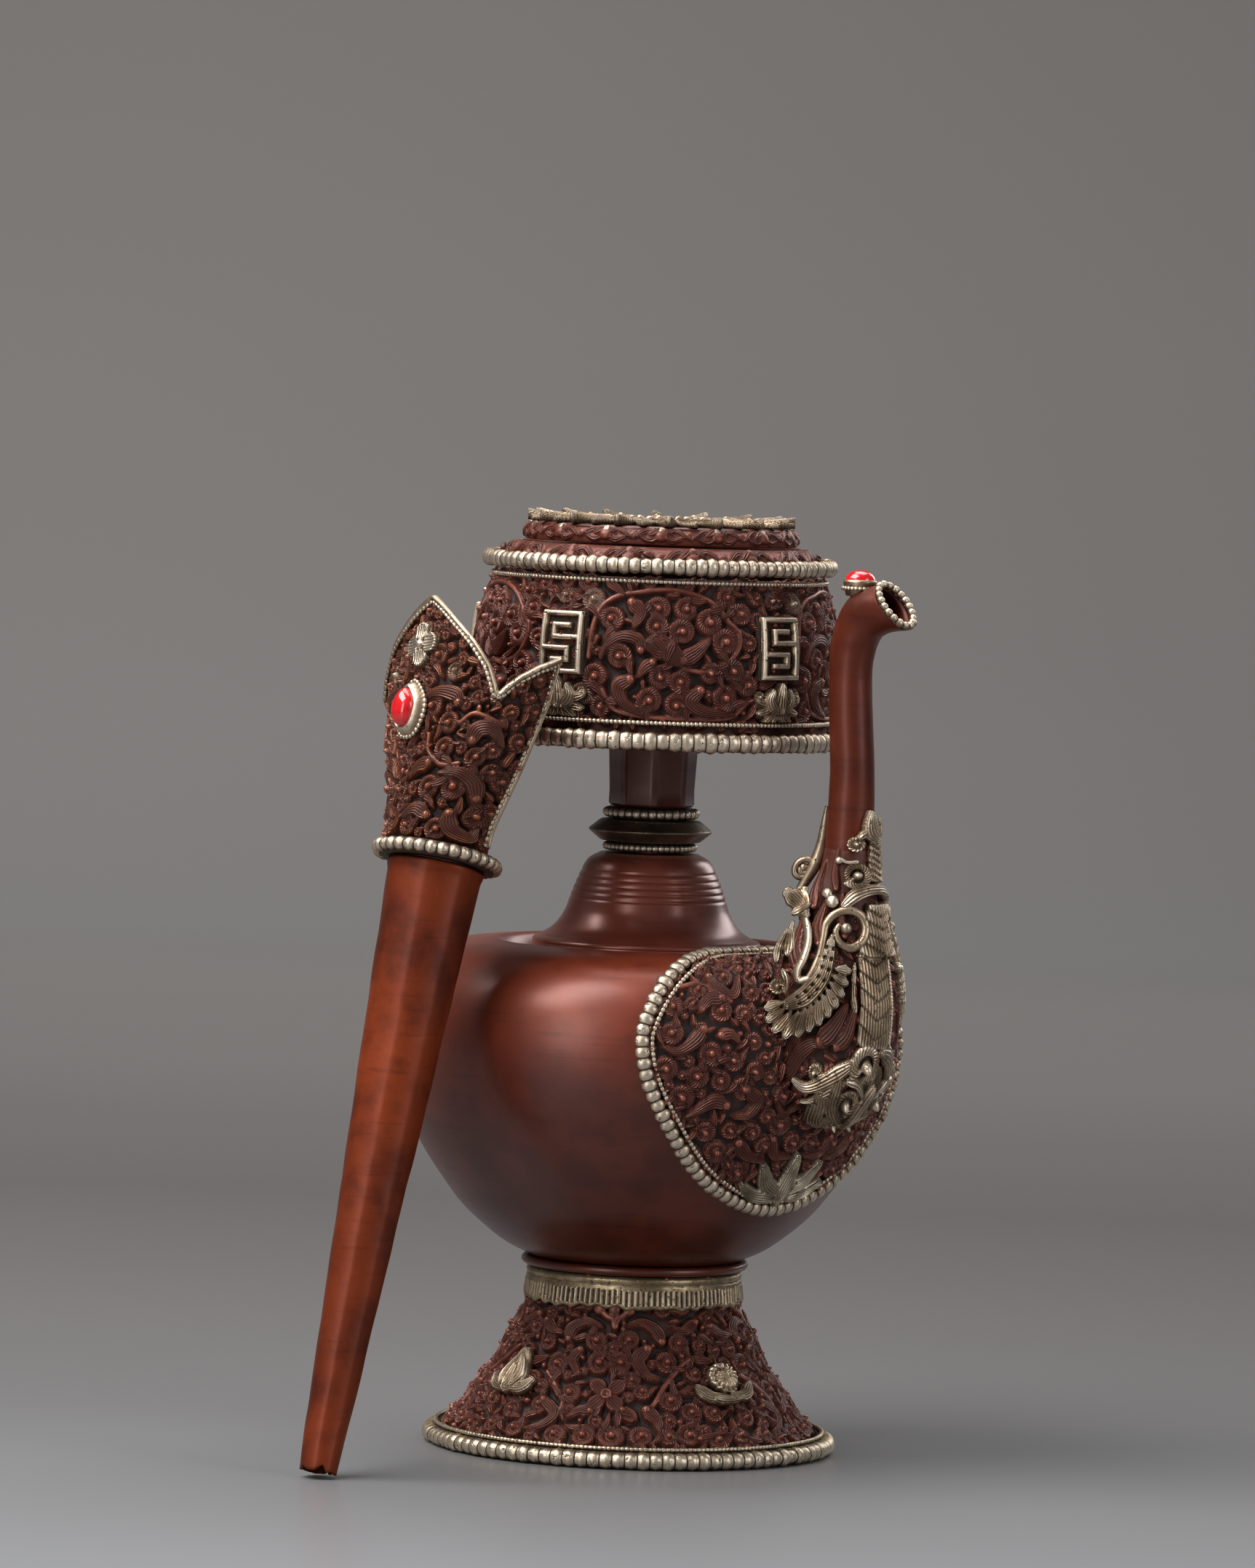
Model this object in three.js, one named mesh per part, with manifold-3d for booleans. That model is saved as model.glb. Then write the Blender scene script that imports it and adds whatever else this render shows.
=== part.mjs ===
// Bumpa: a Himalayan ritual water vase with a long spout, an ornamented drum on its neck, and a loose
// feather holder that leans against the drum. Millimetres, +Z up, spout towards +X.
import * as THREE from 'three';
import { mergeVertices } from 'three/addons/utils/BufferGeometryUtils.js';
import Module from 'manifold-3d';

const wasm = await Module();
wasm.setup();

// Driving dimensions of the whole
const seatGap = 0.3;
const sheetWall = 1.2;
const bigTurnSteps = 32;
const smallTurnSteps = 20;
const boreSteps = 16;
const screwSteps = 12;
const outlineSteps = 24;
const slideSteps = 40;
const beadSectionShare = [[0.75, 0], [1, 0.3], [1, 0.7], [0.75, 1]];
const stoneSectionShare = [[0.94, 0], [1, 0.4], [0.82, 0.85]];

// Chased scrolls of the foot and the drum: staggered knots with sunk ground between them
const knotSpacing = 11;
const knotColumns = 4;
const knotRows = 3;
const knotShare = 0.85;

// Foot: a flared shell with a bead rim, a silver collar and a copper lip
const footRadius = 43;
const footHeight = 41;
const footRimDepth = 4;
const footRimHeight = 4;
const collarHeight = 7.4;
const collarWall = 0.6;
const lipRadius = 26;
const lipThickness = 2;
const lipBore = 19;
const footProfileShare = [
  [1, 0], [1, 0.085], [0.97, 0.137], [0.885, 0.235], [0.805, 0.358],
  [0.705, 0.505], [0.64, 0.666], [0.57, 0.8], [0.545, 1],
];
const footScrollDepth = 1;
const symbolWidth = 9;
const symbolHeight = 12;
const symbolThickness = 1.6;
const symbolRoundness = 0.8;
const symbolRows = 5;
const symbolColumns = 4;
const symbolLevel = 9.5;
const symbolCount = 4;
const firstSymbolAngle = -9;

// Bowl: a deep round shell, its shoulder turned in to a sunk trough round the neck
const bowlRadius = 57;
const bowlHeight = 70.8;
const bowlProfileShare = [
  [0.43, 0], [0.547, 0.049], [0.689, 0.144], [0.782, 0.237], [0.863, 0.332], [0.93, 0.436],
  [0.975, 0.542], [1, 0.69], [0.986, 0.804], [0.933, 0.9], [0.851, 0.969], [0.754, 1], [0.605, 1.013],
];
const bowlSteps = 13;
const bowlInnerSteps = 6;
const troughDepth = 4.3;
const troughRadius = 31.4;
const bowlMouthRadius = 22;
const bowlWall = 1.6;

// Neck: a bell, two bead rings with a lens ring between them, and an eight-sided tube
const bellRadius = 26;
const bellHeight = 24.6;
const bellProfileShare = [
  [1, 0], [1, 0.17], [0.93, 0.215], [0.82, 0.293], [0.727, 0.435],
  [0.669, 0.618], [0.6, 0.8], [0.535, 0.923], [0.419, 1],
];
const neckBore = 7;
const lowerBeadRadius = 10.9;
const lowerBeadHeight = 1.8;
const neckRingRadius = 14.1;
const neckRingHeight = 5;
const neckRingShare = [[0.8, 0], [0.93, 0.2], [1, 0.5], [0.93, 0.8], [0.8, 1]];
const upperBeadRadius = 11.1;
const upperBeadHeight = 2.4;
const neckFootRadius = 9.7;
const neckTopRadius = 10.4;
const neckLength = 14.2;
const neckSides = 8;

// Drum: a floor, a bulging wall, bead rims and fine wires, five plaques over five lotuses
const drumFloorRadius = 41;
const drumFloorThickness = 1.2;
const drumWallHeight = 37.4;
const drumRadius = 41.4;
const drumProfileShare = [
  [0.985, 0], [0.988, 0.12], [1, 0.3], [1, 0.55], [0.982, 0.72], [0.94, 0.88], [0.898, 1],
];
const drumScrollDepth = 0.6;
const lowerRimReach = 2.5;
const lowerRimHeight = 4;
const upperRimReach = 3;
const upperRimHeight = 3.7;
const drumWireRadius = 0.6;
const lowerWireLift = 4.7;
const upperWireDrop = 1.3;
const plaqueCount = 5;
const firstPlaqueAngle = -7;
const plaqueWidth = 12;
const plaqueHeight = 15.2;
const plaqueThickness = 1.4;
const plaqueLift = 14.2;
const plateSteps = 4;
const lotusWidth = 13;
const lotusHeight = 8.4;
const lotusThickness = 1.6;

// Lid: two tiers with a hole for the holder's shaft, a silver rosette, and screws in its side
const lidHeight = 10.5;
const lidHoleRadius = 12;
const lidTierRadius = 35.4;
const lidUpperTierRadius = 31.2;
const lidTierShare = 0.6;
const rosetteThickness = 1.3;
const rosetteRadius = 30.4;
const rosetteHoleRadius = 13;
const screwCount = 4;
const screwRadius = 1.3;
const screwHeadHeight = 0.8;
const screwSlotWidth = 0.35;
const screwSlotDepth = 0.4;
const firstScrewAngle = -53;

// Spout: it stands off the bowl by an overhang and ends below the drum's top. Each row has its reach from
// the vase axis, its level between root and top, its ring's tilt in degrees, and radii in and across the plane
const spoutOverhang = 3;
const spoutDrop = 4.7;
const spoutRootShare = 0.6566;
const spoutRadius = 4.9;
const spoutWall = 1.1;
const spoutRings = 20;
const spoutSides = 12;
const spoutShare = [
  [0.82, 0, 18, 2.5, 2.75], [0.93, 0.0186, 32, 2.6, 2.8], [1, 0.0892, 52, 2.45, 2.55],
  [1.025, 0.1822, 72, 2.1, 2.15], [1.015, 0.2844, 86, 1.65, 1.8], [1, 0.3866, 92, 1.35, 1.45],
  [0.995, 0.4981, 91, 1.12, 1.16], [0.995, 0.6468, 93, 1.02, 1.02], [0.97, 0.842, 92, 1, 1],
  [0.985, 0.9257, 68, 1.1, 1.02], [1.05, 0.9814, 38, 1.22, 1.02], [1.165, 0.9981, 40, 1.3, 0.98],
];
const spoutHoleRadius = 5;
const mouthBeadRadius = 0.9;
const bezelRadius = 3.9;
const bezelHeight = 1.9;
const stoneRadius = 3.5;
const stoneHeight = 2;
const bezelRun = 0.92;

// Scroll plaque where the spout leaves the bowl: its outer bead edge, in turn and in length along the bowl
const heartHalfAngle = 44;
const heartAngle = -6;
const heartThickness = 1.5;
const heartBeadRadius = 1.2;
const heartWireRadius = 0.45;
const heartHoleAngle = 9;
const heartHoleArc = 9;
const heartHoleCentreShare = 0.665;
const heartSteps = 36;
const ropeSides = 5;
const heartRings = 6;
const heartOutlineShare = [
  [0, 0.965], [0.3, 0.96], [0.58, 0.94], [0.86, 0.84], [0.975, 0.74], [1, 0.66], [0.945, 0.556],
  [0.79, 0.428], [0.593, 0.327], [0.28, 0.255], [0, 0.236],
];

// Silver sea-monster dress on the spout, each patch given by its run along the spout and its turn round it
const dressThickness = 1.1;
const dressLift = 0.5;
const dressRows = 6;
const dressColumns = 5;
const dressShare = {
  makara_crest: [0.43, 0.545, -55, 55],
  makara_fin_left: [0.435, 0.535, -150, -105],
  makara_fin_right: [0.435, 0.535, 105, 150],
  makara_spine: [0.19, 0.41, -20, 20],
  makara_side_left: [0.22, 0.41, -125, -30],
  makara_side_right: [0.22, 0.41, 30, 125],
  makara_mask: [0.02, 0.16, -65, 65],
};

// Holder: a tapered shaft, a bead ring, and a fan-shaped hood
const shaftLength = 137.5;
const shaftTipRadius = 4.3;
const shaftTopRadius = 10.7;
const shaftSides = 16;
const shaftWall = 0.9;
const holderRingRadius = 15;
const holderRingHeight = 3.4;
const holderRingBore = 9.2;
const hoodRootRadius = 12.4;
const hoodHalfWidth = 26;
const hoodFrontDepth = 14;
const hoodBackDepth = 15.5;
const hoodHeight = 54.6;
const hoodWall = 1.3;
const linerWall = 0.8;
const hoodEndAngle = 113;
const hoodSteps = 28;
const hoodRings = 5;
const hoodColumns = 30;
const hoodSpreadShare = [[0, 0], [0.1, 0.04], [0.36, 0.52], [0.62, 0.9], [0.8, 1], [1, 1.04]];
const hoodEdgeShare = [
  [0, 1], [0.055, 0.985], [0.12, 0.93], [0.2, 0.845], [0.28, 0.735], [0.34, 0.6], [0.37, 0.64], [0.42, 0.69],
  [0.5, 0.745], [0.628, 0.81], [0.66, 0.76], [0.8, 0.72], [1, 0.7],
];
const borderRadius = 0.8;
const borderMitre = 0.6;
const seamSteps = 5;
const holderStoneWidth = 5.5;
const holderStoneHeight = 8.6;
const holderStoneThickness = 2.6;
const holderStoneSideShare = 0.35;
const teardropTaper = 0.45;
const holderBezelMargin = 1.6;
const holderBezelThickness = 2.2;
const holderStoneLevelShare = 0.52;
const flowerRadius = 4.3;
const flowerThickness = 1.2;
const flowerPetals = 4;
const petalDepth = 0.22;
const badgeRings = 3;
const flowerLevelShare = 0.79;

// How the holder stands: its lean, the side that its tip stands on, the side that it leans to, and its front
const holderLeanAngle = 15.618;
const tipAngle = -89.1;
const leanAngle = 98.4;
const holderFrontAngle = -103;

const deg = Math.PI / 180;

function signedVolume(geometry) {
  const p = geometry.attributes.position;
  const index = geometry.index.array;
  const a = new THREE.Vector3();
  const b = new THREE.Vector3();
  const c = new THREE.Vector3();
  let six = 0;
  for (let i = 0; i < index.length; i += 3) {
    a.fromBufferAttribute(p, index[i]);
    b.fromBufferAttribute(p, index[i + 1]);
    c.fromBufferAttribute(p, index[i + 2]);
    six += a.dot(b.cross(c));
  }
  return six;
}

// Merges shared corners, drops the flat triangles on the axis and turns the faces outwards
function closed(geometry) {
  for (const name of ['normal', 'uv', 'uv1', 'color']) geometry.deleteAttribute(name);
  const merged = mergeVertices(geometry);
  const kept = [];
  const index = merged.index.array;
  for (let i = 0; i < index.length; i += 3) {
    const [a, b, c] = [index[i], index[i + 1], index[i + 2]];
    if (a !== b && b !== c && c !== a) kept.push(a, b, c);
  }
  merged.setIndex(kept);
  if (signedVolume(merged) < 0) {
    const flipped = [];
    for (let i = 0; i < kept.length; i += 3) flipped.push(kept[i], kept[i + 2], kept[i + 1]);
    merged.setIndex(flipped);
  }
  merged.computeVertexNormals();
  return merged;
}

// Turns a profile of [radius, level] points round the Z axis
function turned(profile, steps = bigTurnSteps) {
  const points = profile.map(([r, z]) => new THREE.Vector2(r, z));
  return closed(new THREE.LatheGeometry(points, steps).rotateX(Math.PI / 2));
}

// Builds a wall from an outer and an inner grid of points; around says whether the columns close up
function wallBetween(outer, inner, around) {
  const rows = outer.length;
  const columns = outer[0].length;
  const points = [...outer.flat(), ...inner.flat()];
  const innerStart = rows * columns;
  const at = (side, i, j) => side * innerStart + i * columns + (j % columns);
  const faces = [];
  const quad = (a, b, c, d) => faces.push(a, b, c, a, c, d);
  const spans = around ? columns : columns - 1;
  for (let i = 0; i < rows - 1; i += 1) {
    for (let j = 0; j < spans; j += 1) {
      quad(at(0, i, j), at(0, i, j + 1), at(0, i + 1, j + 1), at(0, i + 1, j));
      quad(at(1, i, j), at(1, i + 1, j), at(1, i + 1, j + 1), at(1, i, j + 1));
    }
  }
  for (let j = 0; j < spans; j += 1) {
    quad(at(0, 0, j), at(1, 0, j), at(1, 0, j + 1), at(0, 0, j + 1));
    quad(at(0, rows - 1, j), at(0, rows - 1, j + 1), at(1, rows - 1, j + 1), at(1, rows - 1, j));
  }
  if (!around) {
    for (let i = 0; i < rows - 1; i += 1) {
      quad(at(0, i, 0), at(0, i + 1, 0), at(1, i + 1, 0), at(1, i, 0));
      quad(at(0, i, columns - 1), at(1, i, columns - 1), at(1, i + 1, columns - 1), at(0, i + 1, columns - 1));
    }
  }
  return fromFaces(points, faces);
}

function fromFaces(points, faces) {
  const geometry = new THREE.BufferGeometry();
  const flat = points.flatMap((p) => [p.x, p.y, p.z]);
  geometry.setAttribute('position', new THREE.Float32BufferAttribute(flat, 3));
  geometry.setIndex(faces);
  return closed(geometry);
}

// A closed ring of round section that follows a loop of points, each with its own two section directions
function loopTube(frames, radius, sides = 6) {
  const points = [];
  const faces = [];
  const count = frames.length;
  for (const { centre, up, side } of frames) {
    for (let k = 0; k < sides; k += 1) {
      const a = (2 * Math.PI * k) / sides;
      const offset = up.clone().multiplyScalar(Math.cos(a) * radius);
      points.push(centre.clone().add(offset).addScaledVector(side, Math.sin(a) * radius));
    }
  }
  for (let i = 0; i < count; i += 1) {
    for (let k = 0; k < sides; k += 1) {
      const next = ((i + 1) % count) * sides;
      const k2 = (k + 1) % sides;
      faces.push(i * sides + k, next + k, next + k2, i * sides + k, next + k2, i * sides + k2);
    }
  }
  return fromFaces(points, faces);
}

// Reads a table of [place, value] rows at a place between them
function readShare(rows, place) {
  for (let i = 1; i < rows.length; i += 1) {
    const [before, low] = rows[i - 1];
    const [after, high] = rows[i];
    if (place <= after) return low + ((high - low) * (place - before)) / (after - before);
  }
  return rows[rows.length - 1][1];
}

// Moves a profile sideways by a distance, to the left of its direction
function besideProfile(profile, distance) {
  return profile.map((point, i) => {
    const [r0, z0] = profile[Math.max(i - 1, 0)];
    const [r1, z1] = profile[Math.min(i + 1, profile.length - 1)];
    const length = Math.hypot(r1 - r0, z1 - z0);
    return [point[0] - ((z1 - z0) / length) * distance, point[1] + ((r1 - r0) / length) * distance];
  });
}

// Every second point, with both ends kept
function everyOther(points) {
  return points.filter((_, i) => i % 2 === 0 || i === points.length - 1);
}

function around(radius, turn, level) {
  return new THREE.Vector3(radius * Math.cos(turn * deg), radius * Math.sin(turn * deg), level);
}

function toSolid(geometry) {
  return new wasm.Manifold(new wasm.Mesh({
    numProp: 3,
    vertProperties: new Float32Array(geometry.attributes.position.array),
    triVerts: new Uint32Array(geometry.index.array),
  }));
}

function fromSolid(solid) {
  const mesh = solid.getMesh();
  const geometry = new THREE.BufferGeometry();
  geometry.setAttribute('position', new THREE.Float32BufferAttribute(mesh.vertProperties, 3));
  geometry.setIndex(Array.from(mesh.triVerts));
  return closed(geometry);
}

function cut(geometry, ...tools) {
  return fromSolid(tools.reduce((solid, tool) => solid.subtract(toSolid(tool)), toSolid(geometry)));
}

// A turned wall whose face is plain at both ends and carries staggered knots in the band between
function scrollWall(radiusAt, ends, band, depth, wall) {
  const [low, high] = band;
  const widest = Math.max(...band.map(radiusAt));
  const knots = Math.round((2 * Math.PI * widest) / knotSpacing);
  const tiers = Math.round((2 * (high - low)) / knotSpacing);
  const rows = tiers * knotRows;
  const inBand = Array.from({ length: rows + 1 }, (_, i) => low + ((high - low) * i) / rows);
  const levels = [ends[0], ...inBand, ends[1]];
  const turns = Array.from({ length: knots * knotColumns }, (_, j) => (360 * j) / (knots * knotColumns));
  const sunk = (turn, level) => {
    if (level <= low || level >= high) return 0;
    const tier = (tiers * (level - low)) / (high - low);
    const wave = Math.cos(knots * turn * deg) * Math.sin(Math.PI * tier);
    return depth * Math.min(1, (1 - wave) * knotShare);
  };
  const face = levels.map((level) => turns.map(
    (turn) => around(radiusAt(level) - sunk(turn, level), turn, level),
  ));
  const back = [ends[1], high, (low + high) / 2, low, ends[0]].map((level) => turns.map(
    (turn) => around(radiusAt(level) - wall, turn, level),
  ));
  return ringLoop([...face, ...back]);
}

// A solid of revolution's faces between rings of points, the last ring joined to the first
function ringLoop(rings) {
  const columns = rings[0].length;
  const at = (i, j) => (i % rings.length) * columns + (j % columns);
  const faces = [];
  for (let i = 0; i < rings.length; i += 1) {
    for (let j = 0; j < columns; j += 1) {
      faces.push(at(i, j), at(i, j + 1), at(i + 1, j + 1), at(i, j), at(i + 1, j + 1), at(i + 1, j));
    }
  }
  return fromFaces(rings.flat(), faces);
}

// Oval bead ring of a given reach and height, outside a wall radius, standing on a level
function beadRing(innerRadius, reach, level, height, steps = bigTurnSteps) {
  const round = beadSectionShare.map(([r, z]) => [innerRadius + reach * r, level + height * z]);
  return turned([[innerRadius, level], ...round, [innerRadius, level + height], [innerRadius, level]], steps);
}

// Levels of the stack, from the floor up
const lipLevel = footHeight + seatGap;
const bowlLevel = lipLevel + lipThickness + seatGap;
const shoulderLevel = bowlLevel + bowlHeight * bowlProfileShare[bowlProfileShare.length - 1][1];
const troughLevel = shoulderLevel - troughDepth;
const bellLevel = troughLevel + seatGap;
const lowerBeadLevel = bellLevel + bellHeight + seatGap;
const neckRingLevel = lowerBeadLevel + lowerBeadHeight + seatGap;
const upperBeadLevel = neckRingLevel + neckRingHeight + seatGap;
const neckLevel = upperBeadLevel + upperBeadHeight + seatGap;
const drumLevel = neckLevel + neckLength + seatGap;
const drumWallLevel = drumLevel + drumFloorThickness + seatGap;
const drumTopLevel = drumWallLevel + drumWallHeight;
const lidLevel = drumTopLevel + seatGap;
const rosetteLevel = lidLevel + lidHeight + seatGap;

// Foot

const footOuter = footProfileShare.map(([r, z]) => [r * footRadius, z * footHeight]);

function footOuterAt(level) {
  return readShare(footOuter.slice(1).map(([r, z]) => [z, r]), level);
}

function footShell() {
  const wall = sheetWall + footScrollDepth;
  const band = [footRimHeight, footHeight - collarHeight];
  const radiusAt = (level) => Math.min(footRadius, footOuterAt(level));
  return scrollWall(radiusAt, [0, footHeight], band, footScrollDepth, wall);
}

function footRimBeads() {
  return beadRing(footRadius + seatGap, footRimDepth, 0, footRimHeight);
}

function footCollar() {
  const low = footHeight - collarHeight;
  const inner = [low, footHeight].map((z) => [footOuterAt(z) + seatGap, z]);
  const outer = [footHeight, low].map((z) => [footOuterAt(z) + seatGap + collarWall, z]);
  return turned([...inner, ...outer, inner[0]]);
}

function footLip() {
  const high = lipLevel + lipThickness;
  return turned([
    [lipBore, lipLevel], [lipRadius, lipLevel], [lipRadius, high], [lipBore, high], [lipBore, lipLevel],
  ]);
}

// A domed oval badge that lies on the sloping foot
function footSymbol(turn) {
  const skin = (lift) => Array.from({ length: symbolRows }, (_, i) => {
    const level = symbolLevel + (symbolHeight * i) / (symbolRows - 1);
    const roundness = Math.sqrt(1 - symbolRoundness * ((2 * i) / (symbolRows - 1) - 1) ** 2);
    return Array.from({ length: symbolColumns }, (__, j) => {
      const across = ((2 * j) / (symbolColumns - 1) - 1) * roundness;
      const radius = footOuterAt(level) + lift;
      return around(radius, turn + (across * symbolWidth) / 2 / radius / deg, level);
    });
  });
  return wallBetween(skin(seatGap + symbolThickness), skin(seatGap), false);
}

// Bowl

const bowlCurve = new THREE.SplineCurve(
  bowlProfileShare.map(([r, z]) => new THREE.Vector2(r * bowlRadius, bowlLevel + z * bowlHeight)),
);

// The point on the bowl's outer face at a share of its arc, lifted off the face
function onBowl(turn, arcShare, lift) {
  const point = bowlCurve.getPointAt(arcShare);
  const along = bowlCurve.getTangentAt(arcShare);
  return around(point.x + along.y * lift, turn, point.y - along.x * lift);
}

function bowlProfile(steps) {
  const outer = Array.from({ length: steps + 1 }, (_, i) => {
    const p = bowlCurve.getPointAt(i / steps);
    return [p.x, p.y];
  });
  return [...outer, [troughRadius, troughLevel], [bowlMouthRadius, troughLevel]];
}

function bowlShell() {
  const inner = besideProfile(bowlProfile(bowlInnerSteps), bowlWall).slice(1).reverse();
  const floor = bowlLevel + bowlWall;
  const shell = turned([[0, bowlLevel], ...bowlProfile(bowlSteps), ...inner, [0, floor]]);
  return cut(shell, spoutHoleTool());
}

// A round rod through the bowl's wall under the spout
function spoutHoleTool() {
  const inside = onBowl(0, heartHoleCentreShare, -spoutRadius);
  const outside = onBowl(0, heartHoleCentreShare, spoutRadius);
  const length = inside.distanceTo(outside);
  const rod = new THREE.CylinderGeometry(spoutHoleRadius, spoutHoleRadius, length, boreSteps);
  const direction = outside.clone().sub(inside).normalize();
  rod.applyQuaternion(new THREE.Quaternion().setFromUnitVectors(new THREE.Vector3(0, 1, 0), direction));
  const middle = inside.clone().add(outside).multiplyScalar(0.5);
  rod.translate(middle.x, middle.y, middle.z);
  return closed(rod);
}

// Neck

function neckBell() {
  const outer = bellProfileShare.map(([r, z]) => [r * bellRadius, bellLevel + z * bellHeight]);
  const top = bellLevel + bellHeight;
  const flare = everyOther(outer.slice(2, -1)).map(([r, z]) => [r - sheetWall, z - sheetWall]).reverse();
  const inner = [
    [neckBore, top], [neckBore, top - sheetWall], ...flare.slice(1), [bellRadius - sheetWall, bellLevel],
  ];
  return turned([...outer, ...inner, outer[0]]);
}

function neckRing() {
  const outer = neckRingShare.map(([r, z]) => [r * neckRingRadius, neckRingLevel + z * neckRingHeight]);
  const high = neckRingLevel + neckRingHeight;
  return turned([[neckBore, neckRingLevel], ...outer, [neckBore, high], [neckBore, neckRingLevel]]);
}

function neckBeadRing(radius, level, height) {
  return beadRing(neckBore, radius - neckBore, level, height, smallTurnSteps);
}

function neckTube() {
  const top = neckLevel + neckLength;
  const profile = [
    [neckBore, neckLevel], [neckFootRadius, neckLevel],
    [neckTopRadius, top], [neckBore, top], [neckBore, neckLevel],
  ];
  return turned(profile, neckSides);
}

// Drum

const drumOuter = drumProfileShare.map(([r, z]) => [r * drumRadius, drumWallLevel + z * drumWallHeight]);

function drumOuterAt(level) {
  return readShare(drumOuter.map(([r, z]) => [z, r]), level);
}

function drumFloor() {
  const high = drumLevel + drumFloorThickness;
  const wide = drumFloorRadius;
  return turned([
    [neckBore, drumLevel], [wide, drumLevel], [wide, high], [neckBore, high], [neckBore, drumLevel],
  ]);
}

function drumWall() {
  const wall = sheetWall + drumScrollDepth;
  const band = [
    drumLevel + lowerWireLift + drumWireRadius,
    drumTopLevel - upperWireDrop - drumWireRadius,
  ];
  return scrollWall(drumOuterAt, [drumWallLevel, drumTopLevel], band, drumScrollDepth, wall);
}

function drumLowerBeads() {
  return beadRing(drumRadius + seatGap, lowerRimReach, drumLevel, lowerRimHeight);
}

function drumUpperBeads() {
  const inner = drumOuter[drumOuter.length - 1][0] + seatGap;
  return beadRing(inner, upperRimReach, drumTopLevel + seatGap, upperRimHeight);
}

function drumWire(level) {
  const widest = Math.max(drumOuterAt(level - drumWireRadius), drumOuterAt(level + drumWireRadius));
  const centre = widest + seatGap + drumWireRadius;
  const profile = [
    [centre - drumWireRadius, level], [centre, level - drumWireRadius], [centre + drumWireRadius, level],
    [centre, level + drumWireRadius], [centre - drumWireRadius, level],
  ];
  return turned(profile);
}

const lowerWireLevel = drumWallLevel + lowerWireLift;
const upperWireLevel = drumTopLevel - upperWireDrop;

// A curved plate on the drum's wall, between two levels
function drumPlate(turn, width, low, height, thickness) {
  const skin = (lift) => Array.from({ length: plateSteps }, (_, i) => {
    const level = low + (height * i) / (plateSteps - 1);
    const radius = drumOuterAt(level) + lift;
    return Array.from({ length: plateSteps }, (__, j) => {
      const across = (j / (plateSteps - 1) - 0.5) * width;
      return around(radius, turn + across / radius / deg, level);
    });
  });
  return wallBetween(skin(seatGap + thickness), skin(seatGap), false);
}

function drumPlaque(turn) {
  return drumPlate(turn, plaqueWidth, drumWallLevel + plaqueLift, plaqueHeight, plaqueThickness);
}

function drumLotus(turn) {
  const low = drumWallLevel + plaqueLift - seatGap - lotusHeight;
  return drumPlate(turn, lotusWidth, low, lotusHeight, lotusThickness);
}

// Lid

function lidShell() {
  const rim = drumOuter[drumOuter.length - 1][0];
  const inside = rim - sheetWall;
  const step = lidLevel + lidHeight * lidTierShare;
  const top = lidLevel + lidHeight;
  const flange = lidLevel + sheetWall;
  const outer = [
    [rim, lidLevel], [rim, flange], [lidTierRadius, flange + sheetWall], [lidTierRadius, step - sheetWall],
    [lidTierRadius - sheetWall, step], [lidUpperTierRadius, step], [lidUpperTierRadius, top - sheetWall],
    [lidUpperTierRadius - sheetWall, top], [lidHoleRadius, top],
  ];
  const inner = [
    [lidHoleRadius, top - sheetWall], [lidUpperTierRadius - sheetWall, top - sheetWall],
    [lidUpperTierRadius - sheetWall, step - sheetWall], [lidTierRadius - sheetWall, step - sheetWall],
    [lidTierRadius - sheetWall, flange + sheetWall], [inside, flange], [inside, lidLevel],
  ];
  return turned([...outer, ...inner, outer[0]]);
}

function lidRosette() {
  const high = rosetteLevel + rosetteThickness;
  const [inside, wide] = [rosetteHoleRadius, rosetteRadius];
  return turned([
    [inside, rosetteLevel], [wide, rosetteLevel], [wide, high], [inside, high], [inside, rosetteLevel],
  ]);
}

// A slotted screw head that lies on the lid's side
function lidScrew(turn) {
  const head = closed(new THREE.CylinderGeometry(screwRadius, screwRadius, screwHeadHeight, screwSteps));
  const slot = new THREE.BoxGeometry(3 * screwRadius, 2 * screwSlotDepth, screwSlotWidth);
  slot.translate(0, screwHeadHeight / 2, 0);
  const screw = cut(head, closed(slot));
  const place = new THREE.Matrix4().makeRotationZ((turn - 90) * deg);
  const level = (lidLevel + 2 * sheetWall + lidLevel + lidHeight * lidTierShare - sheetWall) / 2;
  const centre = around(lidTierRadius + seatGap + screwHeadHeight / 2, turn, level);
  return screw.applyMatrix4(place).translate(centre.x, centre.y, centre.z);
}

// Spout

const spoutReach = bowlRadius + spoutOverhang;
const spoutRootLevel = bowlLevel + bowlHeight * spoutRootShare;
const spoutTopLevel = drumTopLevel - spoutDrop;

const spoutCurve = (() => {
  const column = (k, size) => spoutShare.map((row) => row[k] * size);
  const rise = column(1, spoutTopLevel - spoutRootLevel);
  const [reach, tilt] = [column(0, spoutReach), column(2, 1)];
  const [inPlane, across] = [column(3, spoutRadius), column(4, spoutRadius)];
  const level = rise.map((climb) => spoutRootLevel + climb);
  const centre = new THREE.SplineCurve(reach.map((d, i) => new THREE.Vector2(d, level[i])));
  const blend = (values) => (t) => {
    const places = values.map((v, i) => [i / (values.length - 1), v]);
    return readShare(places, t);
  };
  return { centre, tilt: blend(tilt), inPlane: blend(inPlane), across: blend(across) };
})();

// The point on the spout's face: run from the bowl to the mouth, turn round it with 0 outwards, lift off it
function onSpout(run, turn, lift) {
  const centre = spoutCurve.centre.getPoint(run);
  const tilt = spoutCurve.tilt(run) * deg;
  const a = (spoutCurve.inPlane(run) + lift) * Math.cos(turn * deg);
  const b = (spoutCurve.across(run) + lift) * Math.sin(turn * deg);
  return new THREE.Vector3(centre.x + a * Math.sin(tilt), b, centre.y - a * Math.cos(tilt));
}

function spoutSkin(lift) {
  return Array.from({ length: spoutRings + 1 }, (_, i) => Array.from(
    { length: spoutSides },
    (__, j) => onSpout(i / spoutRings, (360 * j) / spoutSides, lift),
  ));
}

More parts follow.
